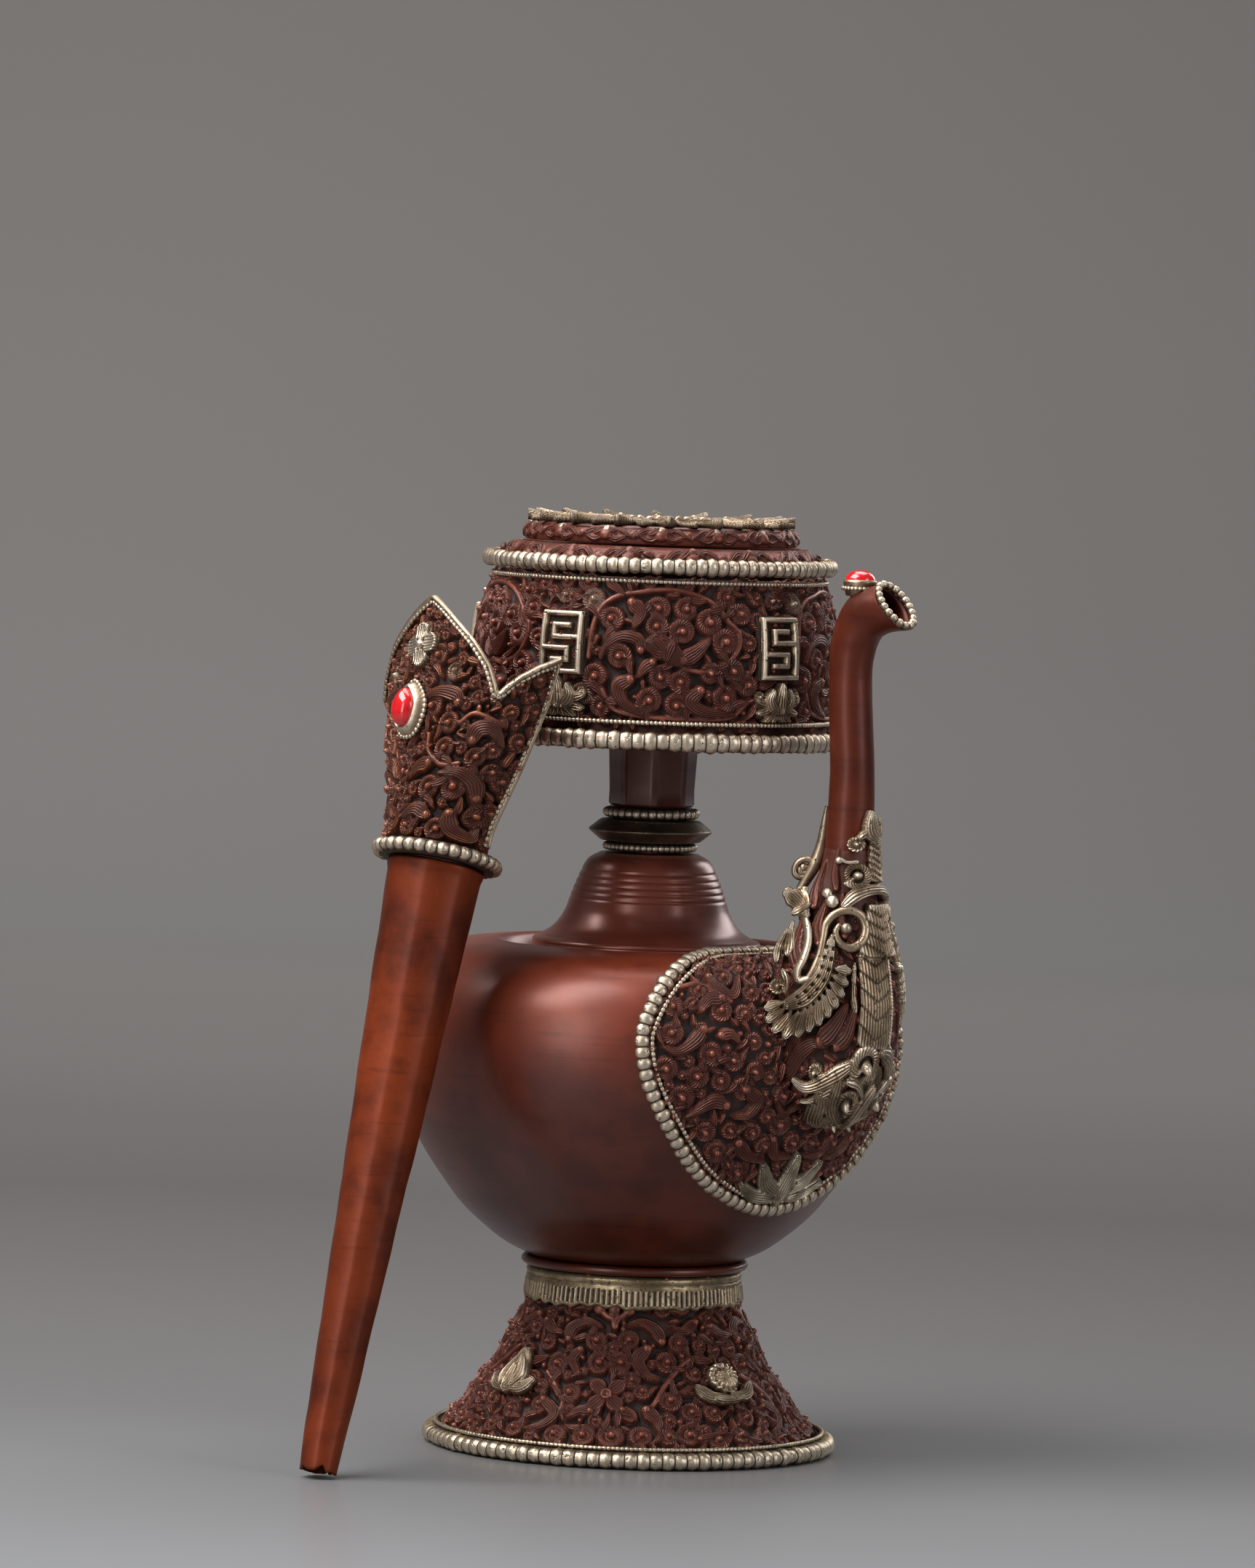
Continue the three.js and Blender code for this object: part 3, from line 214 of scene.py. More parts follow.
def chased_copper(name, dark, mid, light):
    """Copper relief: black-brown in its recesses from tarnish and painted shade, rubbed red on its tops from
    wear and a painted highlight, with fine engraved lines.
    """
    paint = Paint(name)
    dirt = paint.mark("dirt")
    wear = paint.mark("wear")
    silver = paint.mark("silver")
    patches = paint.noise(260, 5)
    grain = paint.noise(2600, 3)
    stroke = paint.strokes()
    body = paint.mix(patches.between(0.35, 0.7), mid, tuple(0.72 * c for c in mid))
    # Lighter on tops: wear, and a painted highlight.
    body = paint.mix((wear * 1.1).between(0.12, 0.8), body, light)
    # Darker in hollows: tarnish, and painted shade.
    body = paint.mix((dirt + grain * 0.3 - 0.15).between(0.15, 0.75), body, dark)
    body = paint.mix(stroke.between(-0.1, -0.9) * 0.75, body, dark)
    tone = paint.mix(patches.between(0.4, 0.7), (0.54, 0.465, 0.35), (0.27, 0.215, 0.15))
    # Silver parts are darker in hollows too: tarnish, and painted shade.
    bright = paint.mix((dirt + grain * 0.35 - 0.15).between(0.15, 0.8), tone, (0.05, 0.036, 0.026))
    bright = paint.mix(stroke.between(-0.2, -1.0) * 0.5, bright, (0.06, 0.045, 0.03))
    body = paint.mix(silver, body, bright)
    roughness = 0.34 + patches * 0.12 + dirt * 0.35 - wear * 0.18
    normal = paint.bump(stroke * 0.5 + grain * 0.35, 0.2 * MM)
    return paint.metal(body, roughness, 0.3 + silver * 0.6 - dirt * 0.15, normal)


def smooth_copper(name, deep, warm, roughness=0.3, turned=0.0, hammered=0.0, coat=0.2, shine=0.5,
                  painted_light=None):
    """Smooth copper under a dark red patina: soft clouds of tone, faint rubs and tool marks.

    The last argument gives painted light: a lighter tone painted on a band of levels where the lamps would
    light the part strongly, and the levels where it begins and is full.
    """
    paint = Paint(name)
    clouds = paint.noise(22, 4)
    patches = paint.noise(90, 5)
    speckle = paint.noise(900, 3)
    streak = paint.noise(60, 3, stretch=(1, 1, 14))
    stain = tuple(0.5 * c for c in deep)
    rub = tuple(1.5 * c for c in warm)
    blotches = clouds * 0.5 + patches * 0.5
    # Painted light: a band of levels is painted in a lighter tone, as if lit more strongly.
    if painted_light:
        tone, start, full = painted_light
        share = paint.way_along((0, 0, 1)).between(start, full)
        warm = paint.mix(share, warm, tone)
        deep = paint.mix(share * 0.5, deep, tone)
    body = paint.mix(blotches.between(0.38, 0.64), deep, warm)
    body = paint.mix(patches.between(0.52, 0.78) * 0.5, body, stain)
    body = paint.mix(streak.between(0.56, 0.72) * 0.3, body, stain)
    body = paint.mix(speckle.between(0.62, 0.8) * 0.3, body, rub)
    rough = roughness + clouds * 0.08 + speckle * 0.05 + streak * 0.05 - 0.06
    height = patches * 0.5 + speckle * 0.12 + streak * turned
    normal = paint.bump(height, (0.1 + hammered * 0.4) * MM, 0.6)
    fixed = {"Coat Roughness": 0.25, "Specular IOR Level": shine}
    return paint.metal(body, rough, 0.3, normal, coat, **fixed)


def antique_silver(name, bright=(0.46, 0.345, 0.235), tarnish=(0.2, 0.135, 0.085), pits=1.0):
    """Silver rubbed bright on top, with a painted highlight there too, dark in its hollows and low down from
    dirt and painted shade, and small casting pits.
    """
    paint = Paint(name)
    dirt = paint.mark("dirt")
    wear = paint.mark("wear")
    patches = paint.noise(170, 4)
    grain = paint.noise(1500, 4)
    hollow = paint.noise(950, 2).between(0.6, 0.72) * pits
    stroke = paint.strokes()
    body = paint.mix(patches.between(0.35, 0.68), bright, tarnish)
    # Lighter on tops: wear, and a painted highlight.
    body = paint.mix(wear.between(0.15, 0.9) * 0.75, body, (0.74, 0.63, 0.50))
    # Darker in hollows: dirt, and painted shade.
    body = paint.mix((dirt + grain * 0.6 - 0.3).between(0.15, 0.85), body, (0.045, 0.03, 0.021))
    body = paint.mix(hollow * 0.8, body, (0.06, 0.042, 0.03))
    body = paint.mix(stroke.between(-0.1, -1.0) * 0.6, body, (0.05, 0.04, 0.03))
    roughness = 0.27 + patches * 0.15 + dirt * 0.3 + grain * 0.1
    height = grain * 0.4 - hollow * 0.8 + stroke * 0.6
    return paint.metal(body, roughness, 0.95 - dirt * 0.35, paint.bump(height, 0.12 * MM))


def coral_red(name):
    """Polished coral: clear red with slightly darker clouds, under a glassy polish."""
    paint = Paint(name)
    clouds = paint.noise(420, 3)
    body = paint.mix(clouds.between(0.3, 0.75), (0.72, 0.008, 0.012), (0.5, 0.004, 0.008))
    fixed = {"Coat Roughness": 0.04, "Subsurface Weight": 0.12, "Subsurface Radius": (0.002, 0.0004, 0.0003)}
    return paint.metal(body, 0.16 + clouds * 0.05, 0.0, None, 0.8, **fixed)


# Chased copper is named with its dark, middle and light tones, smooth copper with its deep and warm ones.
SCROLL = chased_copper("scroll_copper", (0.010, 0.004, 0.0028), (0.125, 0.030, 0.018), (0.25, 0.078, 0.048))
HOOD_SCROLL = chased_copper("hood_copper", (0.010, 0.004, 0.0028), (0.12, 0.030, 0.0155), (0.28, 0.088, 0.04))
# Painted light: the bowl is painted lighter from 78 mm up, fully from 107 mm, on its shoulder.
BOWL_COPPER = smooth_copper(
    "bowl_copper", (0.064, 0.0098, 0.0042), (0.125, 0.0215, 0.0082), 0.36, turned=0.25, coat=0.3,
    painted_light=((0.245, 0.038, 0.0125), 0.078, 0.107),
)
# Painted light: parts below 150 mm, the bell, are painted lighter, fully below 130 mm.
NECK_COPPER = smooth_copper(
    "neck_copper", (0.06, 0.0115, 0.0075), (0.1, 0.0215, 0.013), 0.3, turned=0.5, coat=0.4,
    painted_light=((0.27, 0.062, 0.036), 0.15, 0.13),
)
SPOUT_COPPER = smooth_copper(
    "spout_copper", (0.078, 0.0115, 0.0045), (0.138, 0.023, 0.0085), 0.38,
    hammered=0.5, coat=0.06, shine=0.35,
)
SHAFT_COPPER = smooth_copper(
    "shaft_copper", (0.08, 0.0115, 0.0033), (0.23, 0.0345, 0.006), 0.42,
    hammered=0.9, coat=0.05, shine=0.25,
)
SILVER = antique_silver("antique_silver")
LID_COPPER = chased_copper("lid_copper", (0.016, 0.006, 0.004), (0.135, 0.031, 0.017), (0.25, 0.07, 0.04))
MAKARA = chased_copper("makara_relief", (0.011, 0.0045, 0.003), (0.11, 0.027, 0.0155), (0.23, 0.066, 0.038))
COLLAR_SILVER = antique_silver("collar_silver", (0.42, 0.325, 0.205), (0.22, 0.16, 0.095))
BRONZE = antique_silver("dark_bronze", (0.24, 0.20, 0.145), (0.10, 0.08, 0.055), pits=0.4)
CORAL = coral_red("coral")


# Where things are

def cad_points(node):
    """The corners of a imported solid, in mm."""
    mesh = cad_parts[node].data
    flat = np.empty(3 * len(mesh.vertices), np.float32)
    mesh.vertices.foreach_get("co", flat)
    return flat.reshape(-1, 3).astype(float) / MM


def corners(node):
    """The low and the high corner of a node's box, in mm."""
    return [np.array(corner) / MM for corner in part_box(node)]


def middle(node):
    low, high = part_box(node)
    return [(a + b) / 2 / MM for a, b in zip(low, high)]


AXIS_X, AXIS_Y = middle("foot_rim_beads")[:2]
VASE_PLACE = np.array([AXIS_X, AXIS_Y, 0.0])

# Levels up the holder's own axis, from its tip.
SHAFT_LENGTH = 137.5
RING_LEVEL = SHAFT_LENGTH + 0.3
RING_HEIGHT = 3.4
HOOD_LEVEL = RING_LEVEL + RING_HEIGHT + 0.3


def holder_place():
    """The turn and place that carry the holder's own frame, tip at its origin, into the shared frame."""
    ring = cad_points("holder_bead_ring").mean(axis=0)
    shaft = cad_points("holder_shaft").mean(axis=0)
    stone = cad_points("holder_stone").mean(axis=0)
    up = Vector(ring - shaft).normalized()
    tip = Vector(ring) - up * (RING_LEVEL + RING_HEIGHT / 2)
    front = Vector(stone) - tip
    front = (front - up * front.dot(up)).normalized()
    return np.array([front, up.cross(front), up]).T, np.array(tip)


HOLDER_TURN, HOLDER_TIP = holder_place()


def in_vase(points):
    return np.asarray(points, float) + VASE_PLACE


def in_holder(points):
    return np.asarray(points, float) @ HOLDER_TURN.T + HOLDER_TIP


# Camera place, in mm from the vase's foot; the focus is in pixels of the photograph

CAMERA_AHEAD = -2000.0
CAMERA_ASIDE = -5.6
CAMERA_LEVEL = 250.0
CAMERA_PITCH = 2.83 * DEG
CAMERA_ROLL = 2.1 * DEG
CAMERA_FOCUS = 12092.0
PHOTO_WIDTH, PHOTO_HEIGHT = 1725, 2156

RIGHT = Vector((*CAMERA_RIGHT, 0)).normalized()
AWAY = Vector((*CAMERA_AWAY, 0)).normalized()
UP = Vector((0, 0, 1))
CAMERA_FORWARD = (AWAY * math.cos(CAMERA_PITCH) - UP * math.sin(CAMERA_PITCH)).normalized()
LEVEL_UP = RIGHT.cross(CAMERA_FORWARD)
CAMERA_SIDE = RIGHT * math.cos(CAMERA_ROLL) + LEVEL_UP * math.sin(CAMERA_ROLL)
CAMERA_UP = LEVEL_UP * math.cos(CAMERA_ROLL) - RIGHT * math.sin(CAMERA_ROLL)
CAMERA_PLACE = Vector(VASE_PLACE) + RIGHT * CAMERA_ASIDE + AWAY * CAMERA_AHEAD + UP * CAMERA_LEVEL


# Meshes

def piece(name, node, shape, paint, body="vase"):
    """One object in place of a node, from points in its body's own frame (mm), arrays of faces and marks."""
    points, faces, marks = (*shape, {})[:3]
    points = in_vase(points) if body == "vase" else in_holder(points)
    mesh = bpy.data.meshes.new(name)
    points = np.asarray(points, np.float32) * MM
    mesh.vertices.add(len(points))
    mesh.vertices.foreach_set("co", points.ravel())
    faces = [np.asarray(f, np.int32) for f in faces if len(f)]
    loops = np.concatenate([f.ravel() for f in faces])
    sizes = np.concatenate([np.full(len(f), f.shape[1], np.int32) for f in faces])
    starts = np.concatenate([[0], np.cumsum(sizes)[:-1]]).astype(np.int32)
    mesh.loops.add(len(loops))
    mesh.loops.foreach_set("vertex_index", loops)
    mesh.polygons.add(len(sizes))
    mesh.polygons.foreach_set("loop_start", starts)
    mesh.update(calc_edges=True)
    mesh.polygons.foreach_set("use_smooth", np.full(len(sizes), True))
    for key, values in marks.items():
        layer = mesh.attributes.new(key, "FLOAT", "POINT")
        layer.data.foreach_set("value", np.asarray(values, np.float32).ravel())
    mesh.materials.append(paint)
    made = bpy.data.objects.new(name, mesh)
    bpy.context.scene.collection.objects.link(made)
    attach(made, body)
    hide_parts(node)


def marked(shape, **marks):
    """A shape of points and faces, with even marks."""
    return (*shape, {key: np.full(len(shape[0]), value) for key, value in marks.items()})


def moved(shape, way):
    return (shape[0] + way, *shape[1:])


def turned_over(shape):
    """A shape with every face looking the other way."""
    points, faces, *marks = shape
    return (points, [np.asarray(f)[:, ::-1] for f in faces], *marks)


def grid_faces(rows, columns, wrap_rows=False, wrap_columns=False):
    """Quads of a grid of points that is stored row by row."""
    i = np.arange(rows if wrap_rows else rows - 1)
    j = np.arange(columns if wrap_columns else columns - 1)
    i, j = np.meshgrid(i, j, indexing="ij")
    i2, j2 = (i + 1) % rows, (j + 1) % columns
    quads = np.stack([i * columns + j, i * columns + j2, i2 * columns + j2, i2 * columns + j], -1)
    return quads.reshape(-1, 4)


def smooth_line(points, count, closed=False):
    """Evenly spaced points on a soft curve through the given ones."""
    p = np.asarray(points, float)
    if closed:
        p = np.vstack([p[-1], p, p[0], p[1]])
    else:
        p = np.vstack([2 * p[0] - p[1], p, 2 * p[-1] - p[-2]])
    t = np.linspace(0, 1, 12, endpoint=False)[:, None]
    fine = np.vstack([spline(*four, t) for four in zip(p, p[1:], p[2:], p[3:])] + [p[-2][None]])
    run = lengths_along(fine)
    return read_rows(fine, run, np.linspace(0, run[-1], count, endpoint=not closed))


def section_frames(path, ups, closed):
    """Directions up and aside at every point of a path."""
    if closed:
        along = np.roll(path, -1, axis=0) - np.roll(path, 1, axis=0)
    else:
        along = np.gradient(path, axis=0)
    along /= np.linalg.norm(along, axis=1, keepdims=True) + 1e-9
    side = np.cross(ups, along)
    side /= np.linalg.norm(side, axis=1, keepdims=True) + 1e-9
    return np.cross(along, side), side


def tube(path, ups, up_radius, side_radius, sides=12, closed=False):
    """Points and faces of a tube whose two radii may change along it."""
    count = len(path)
    up, side = section_frames(path, ups, closed)
    a = circle(sides)
    up_radius = np.broadcast_to(np.asarray(up_radius, float), (count,))
    side_radius = np.broadcast_to(np.asarray(side_radius, float), (count,))
    points = path[:, None] + np.cos(a)[:, None] * up_radius[:, None, None] * up[:, None]
    points = points + np.sin(a)[:, None] * side_radius[:, None, None] * side[:, None]
    faces = [grid_faces(count, sides, closed, True)]
    if not closed:
        faces.append(np.arange(sides)[None])
        faces.append(((count - 1) * sides + np.arange(sides))[None, ::-1])
    return points.reshape(-1, 3), faces


def beads(path, ups, pitch, up_radius, side_radius, closed=True, seed=1, sides=12, waist=0.7):
    """A row of touching beads along a path, each a little different."""
    rng = np.random.default_rng(seed)
    loop = np.vstack([path, path[:1]]) if closed else path
    run = lengths_along(loop)
    ends = np.vstack([ups, ups[:1]]) if closed else ups
    count = max(3, round(run[-1] / pitch))
    rings = np.array([-0.98, -0.8, -0.5, 0, 0.5, 0.8])
    share = (np.arange(count)[:, None] + 0.5 + rings / 2) / count
    at = share.ravel() * run[-1]
    size = np.repeat(rng.normal(1, 0.05, count), len(rings))
    off = np.tile(rings, count)
    shape = np.maximum(dome(off * 0.86), waist)
    place, up = read_rows(loop, run, at), read_rows(ends, run, at)
    points, faces = tube(place, up, up_radius * shape * size, side_radius * shape * size, sides, closed)
    # Darker in the waists between beads: tarnish, and painted shade.
    low = np.repeat(np.where(np.abs(off) > 0.9, 0.75, limited(0.95 - shape)), sides)
    # Lighter on the side each bead's ups point to: wear, and a painted highlight.
    high = np.tile(limited(np.cos(circle(sides))), len(at)) * np.repeat(shape, sides)
    return points, faces, {"dirt": low * 1.5, "wear": high}


def joined(*parts):
    """Several (points, faces, marks) in one."""
    points, faces, marks, start = [], [], {}, 0
    for part in parts:
        points.append(part[0])
        faces += [np.asarray(f) + start for f in part[1]]
        start += len(part[0])
    for key in {k for part in parts for k in part[2]}:
        fields = [part[2].get(key, np.zeros(len(part[0]))) for part in parts]
        marks[key] = np.concatenate([np.asarray(field, float).ravel() for field in fields])
    return np.vstack(points), faces, marks


def ring_path(radius, level, count):
    """A ring about the axis, and the ways out from it."""
    return polar(radius, circle(count), level), polar(1, circle(count), 0)


def lathe(profile, steps=192):
    """Points and faces of a closed profile of (radius, level) turned round the axis."""
    radii, levels = np.asarray(profile, float).T
    points = polar(radii[:, None], circle(steps), levels[:, None])
    return points.reshape(-1, 3), [grid_faces(len(radii), steps, True, True)]


def rounded(profile, radius):
    """A closed outline with its corners softened."""
    p = np.asarray(profile, float)
    out = []
    for before, corner, after in zip(np.roll(p, 1, axis=0), p, np.roll(p, -1, axis=0)):
        a, b = before - corner, after - corner
        la, lb = np.linalg.norm(a), np.linalg.norm(b)
        cut = min(radius, 0.45 * la, 0.45 * lb)
        start, end = corner + a / la * cut, corner + b / lb * cut
        for t in np.linspace(0, 1, 4):
            out.append((1 - t) ** 2 * start + 2 * t * (1 - t) * corner + t * t * end)
    return np.array(out)


def blurred(field, reach, wrap):
    """A soft mean of a field over about this many cells."""
    taps = np.exp(-0.5 * (np.arange(-int(3 * reach), int(3 * reach) + 1) / reach) ** 2)
    taps /= taps.sum()
    half = len(taps) // 2
    wide = np.pad(field, ((half, half), (0, 0)), "edge")
    field = sum(tap * wide[k:k + field.shape[0]] for k, tap in enumerate(taps))
    wide = np.pad(field, ((0, 0), (half, half)), "wrap" if wrap else "edge")
    return sum(tap * wide[:, k:k + field.shape[1]] for k, tap in enumerate(taps))


# Carving

def to_segment(x, y, a, b):
    """The share along a segment where it is nearest to places, and the ways from there to them."""
    dx, dy = b[0] - a[0], b[1] - a[1]
    t = limited(((x - a[0]) * dx + (y - a[1]) * dy) / (dx * dx + dy * dy + 1e-9))
    return t, x - a[0] - t * dx, y - a[1] - t * dy


def from_petal(x, y, reach, angle):
    """Places as they lie from the middle of a petal of a flower, outwards and across."""
    px, py = x - reach * math.cos(angle), y - reach * math.sin(angle)
    return px * math.cos(angle) + py * math.sin(angle), py * math.cos(angle) - px * math.sin(angle)


class Carving:
    """A height field over turns (degrees) and levels (mm), with marks of what is carved in it."""

    def __init__(self, turns, levels, span, ground, seed, wraps=True):
        self.turns, self.levels, self.span, self.wraps = turns, levels, span, wraps
        shape = (len(levels), len(turns))
        self.rng = np.random.default_rng(seed)
        self.high = np.full(shape, ground, float)
        self.laid = np.zeros(shape)
        self.line = np.zeros(shape)
        self.lined = np.zeros(shape)
        self.silver = np.zeros(shape)
        self.flowing = ground < 0

    def around(self, turn, level, reach):
        """The cells within reach of a place, and their distances from it along and across."""
        away = self.turns - turn
        if self.wraps:
            away = (away + 180) % 360 - 180
        per = abs(self.span(level, turn, turn + 1))
        columns = np.nonzero(np.abs(away) * per < reach * 1.15)[0]
        rows = np.nonzero(np.abs(self.levels - level) < reach)[0]
        level_grid = self.levels[rows][:, None]
        x = self.span(level_grid, turn, turn + away[columns][None])
        return np.ix_(rows, columns), x, level_grid - level + 0 * x

    def lay(self, at, inside, height, line=0.0, lined=0.0, silver=0.0):
        """Puts a shape down where it is higher than what is there, with its marks."""
        over = inside & (height > self.high[at])
        fields = self.high, self.line, self.lined, self.silver, self.laid
        for field, value in zip(fields, (height, line, lined, silver, 1)):
            field[at] = np.where(over, value, field[at])

    def curl(self, turn, level, radius, hand, start, top, silver=0.0, bud=1.0):
        """A snail scroll: a rayed disc that widens and rises round its tall bud, with a slot beside it."""
        at, x, y = self.around(turn, level, radius * 1.7)
        if not x.size:
            return
        far = np.hypot(x, y) / radius
        angle = (hand * np.arctan2(y, x) - start) % FULL_TURN
        grown = angle / FULL_TURN
        edge = 0.84 + 0.24 * grown
        disc = top * (0.3 + 0.42 * grown + 0.12 * far) * limited((edge - far) / 0.08) ** 0.5
        disc = disc - 0.62 * top * bell((far - 0.3 - 0.16 * grown) / 0.085) * limited((6.0 - angle) / 0.5)
        rays = round(6.5 * radius)
        swirl = (angle + 1.1 * far) / FULL_TURN * rays * LINE_PITCH
        rayed = (far > 0.5) & (far < edge - 0.06)
        self.lay(at, far <= edge, disc, swirl, rayed * 0.9, silver * 0.25)
        knob = top * (0.3 + (1.2 + 0.15 * bud) * dome(far / 0.29))
        self.lay(at, far < 0.29, knob, silver=silver)
        if self.flowing and radius > 1:
            # A tail runs on from the scroll's end.
            out = np.array([math.cos(hand * start), math.sin(hand * start)])
            along = hand * np.array([-out[1], out[0]])
            per = float(self.span(level, turn, turn + 1))
            ends = [radius * (a * out + b * along) / (per, 1) + (turn, level)
                    for a, b in ((0.8, 0), (1.0, 0.6), (1.5, 1.25))]
            self.leaf(ends, 0.75 * radius, top * 0.85, blunt=0.7)

    def bud(self, turn, level, radius, top=0.9, silver=0.0):
        at, x, y = self.around(turn, level, radius * 1.1)
        if not x.size:
            return
        far = np.hypot(x, y) / radius
        self.lay(at, far <= 1, top * (0.35 + 0.75 * dome(far)), silver=silver)

    def shell(self, turn, level, radius, top):
        """A conch seen from its side: flutes that fan out from a small whorl."""
        at, x, y = self.around(turn, level, radius * 1.2)
        far = np.hypot(x, y) / radius
        angle = np.arctan2(y, x) % FULL_TURN
        whorl = 0.28 + 0.72 * angle / FULL_TURN
        height = top * (0.3 + 0.7 * dome(0.95 * far))
        height = height + 0.13 * top * np.cos(15 * angle + 2.5 * far) * (far > 0.22)
        height = height - 0.4 * top * bell((far - whorl) / 0.055)
        self.lay(at, far <= 1, height)

    def chart(self, places):
        """Lays places out flat round their middle."""
        places = np.asarray(places, float)
        turn, level = places[:, 0].mean(), places[:, 1].mean()
        return turn, level, np.array([[self.span(v, turn, t), v - level] for t, v in places])

    def near(self, places, width):
        """The cells near a line through places, their distance from it, run along it and side of it."""
        turn, level, flat = self.chart(places)
        curve = smooth_line(flat, 40)
        at, x, y = self.around(turn, level, np.abs(curve).max() + width)
        if not x.size:
            return None
        best = np.full(x.shape, FAR_OFF)
        run = np.zeros(x.shape)
        side = np.zeros(x.shape)
        for k, (a, b) in enumerate(zip(curve, curve[1:])):
            t, gap_x, gap_y = to_segment(x, y, a, b)
            gap = np.hypot(gap_x, gap_y)
            closer = gap < best
            best = np.where(closer, gap, best)
            run = np.where(closer, (k + t) / (len(curve) - 1), run)
            left = (b[0] - a[0]) * gap_y - (b[1] - a[1]) * gap_x
            side = np.where(closer, np.sign(left) * gap, side)
        return at, best, run, side

    def leaf(self, places, width, top=1.0, head=0.0, silver=0.0, blunt=0.5):
        """A comma leaf: from its scrolled head, wide, then drawn out to its tip, with lines along it."""
        found = self.near(places, width)
        if found is None:
            return
        at, best, run, side = found
        half = width / 2 * limited((run + 0.1) / 0.3) ** 0.5 * limited(1.04 - run) ** blunt + 0.05
        q = best / half
        body = top * (0.42 + 0.58 * dome(q * 0.97)) * limited((1.02 - q) / 0.08) ** 0.5
        self.lay(at, q <= 1, body, side / half * width / 2, (q < 0.9) * 1.0, silver)
        if head:
            self.bud(*places[0], head, top * 1.2, silver)

    def ridge(self, places, width, top=0.8):
        found = self.near(places, width)
        if found is None:
            return
        at, best, _, _ = found
        q = best / (width / 2)
        self.lay(at, q <= 1, top * dome(0.9 * q))

    def flower(self, turn, level, radius, top):
        """Four round petals with fine lines, about a ringed bud."""
        at, x, y = self.around(turn, level, radius * 1.1)
        for k in range(4):
            out, across = from_petal(x, y, 0.58 * radius, math.pi / 4 + FULL_TURN * k / 4)
            far = np.hypot(out / (0.42 * radius), across / (0.36 * radius))
            cup = top * (0.5 + 0.35 * far**2) * limited((1.02 - far) / 0.12) ** 0.5
            self.lay(at, far <= 1, cup, across * 1.1, (far < 0.85) * 1.0)
        far = np.hypot(x, y) / (0.27 * radius)
        self.lay(at, far <= 1, top * (0.95 + 0.3 * bell((far - 0.72) / 0.2) - 0.25 * bell(far / 0.4)))

    def fill(self, low, high, tries, turn_range, level_range, top, share_curls):
        """Small curls, comma leaves and buds wherever the ground is still bare."""
        for _ in range(tries):
            turn = self.rng.uniform(*turn_range)
            level = self.rng.uniform(*level_range)
            radius = self.rng.uniform(low, high)
            at, x, y = self.around(turn, level, radius)
            inside = np.hypot(x, y) < radius
            if not inside.any() or self.laid[at][inside].mean() > 0.12:
                continue
            lean = self.rng.uniform(0, FULL_TURN)
            if radius > 0.6 * high and self.rng.random() < share_curls:
                self.curl(turn, level, radius, self.rng.choice([-1, 1]), lean, top)
            elif radius > 1.0:
                per = float(self.span(level, turn, turn + 1))
                ends = [(math.cos(lean + bend) * reach, math.sin(lean + bend) * reach)
                        for bend, reach in ((0, radius), (0.9, 0.3 * radius), (2.6, 1.15 * radius))]
                self.leaf([(turn + a / per, level + b) for a, b in ends], 1.15 * radius, top * 0.9)
            else:
                self.bud(turn, level, radius * 0.8, top)

    def panel(self, places, height, chevrons=0.0):
        """A flat raised shape with these corners, and with chevrons this far apart."""
        turn, level, flat = self.chart(places)
        at, x, y = self.around(turn, level, np.abs(flat).max() * 1.5)
        inside = np.zeros(x.shape, bool)
        edge = np.full(x.shape, FAR_OFF)
        for a, b in zip(flat, np.roll(flat, -1, axis=0)):
            crosses = (a[1] > y) != (b[1] > y)
            inside ^= crosses & (x < a[0] + (b[0] - a[0]) * (y - a[1]) / (b[1] - a[1] + 1e-9))
            _, gap_x, gap_y = to_segment(x, y, a, b)
            edge = np.minimum(edge, np.hypot(gap_x, gap_y))
        lift = height * limited(edge / 0.35) ** 0.5
        if chevrons:
            step = (y - 0.55 * np.abs(x)) % chevrons
            lift = lift - 0.6 * bell(np.minimum(step, chevrons - step) / 0.2)
            lift = lift - 0.35 * step / chevrons
        engraved = (x, (edge > 0.3) * 1.0) if chevrons else ()
        self.lay(at, inside, lift, *engraved)

    def hole(self, turn, level, radius, depth):
        at, x, y = self.around(turn, level, radius * 1.2)
        if x.size:
            self.high[at] -= depth * limited((1.1 - np.hypot(x, y) / radius) / 0.3)

    def finish(self, cell, pit=0.8):
        """Sinks the bare ground between the carving, and works out how dark its hollows are painted (tarnish
        and painted shade) and how light its tops are (wear and a painted highlight).
        """
        bare = 1 - self.laid
        deep = limited(blurred(bare, 0.35 / cell, self.wraps) * 1.7 - 0.75) * bare
        self.high = self.high - pit * deep
        soft = blurred(self.high, 0.16 / cell, self.wraps)
        broad = blurred(self.high, 0.9 / cell, self.wraps)
        # Darker in hollows and on bare ground: partly tarnish, partly painted shade.
        self.dirt = limited((broad - soft) * 0.75 + bare * 0.04 + deep * 0.3)
        # Lighter on tops: partly wear, partly a painted highlight.
        self.wear = limited((soft - broad) * 1.3 - 0.08)
        strokes = self.lined * np.sin(self.line * (FULL_TURN / LINE_PITCH))
        self.high = self.high * 0.4 + soft * 0.6 + 0.07 * strokes

    def marks(self, columns=slice(None)):
        names = ("dirt", "wear", "silver", "line", "lined")
        return {name: getattr(self, name)[:, columns] for name in names}


def wall(outer, inner, marks, around=False):
    """A closed sheet between an outer grid of points and an inner one with as many columns."""
    rows, columns = outer.shape[:2]
    inner_rows = inner.shape[0]
    points = np.concatenate([outer.reshape(-1, 3), inner[::-1].reshape(-1, 3)])
    faces = [grid_faces(rows + inner_rows, columns, True, around)]
    if not around:
        left = np.arange(rows + inner_rows) * columns
        faces += [left[None, ::-1], (left + columns - 1)[None]]
    full = {}
    for key, field in marks.items():
        # Painted shade: the inner sheet is darkened.
        back = np.full((inner_rows, columns), 0.6 if key == "dirt" else 0.0)
        full[key] = np.concatenate([field, back]).ravel()
    return points, faces, full


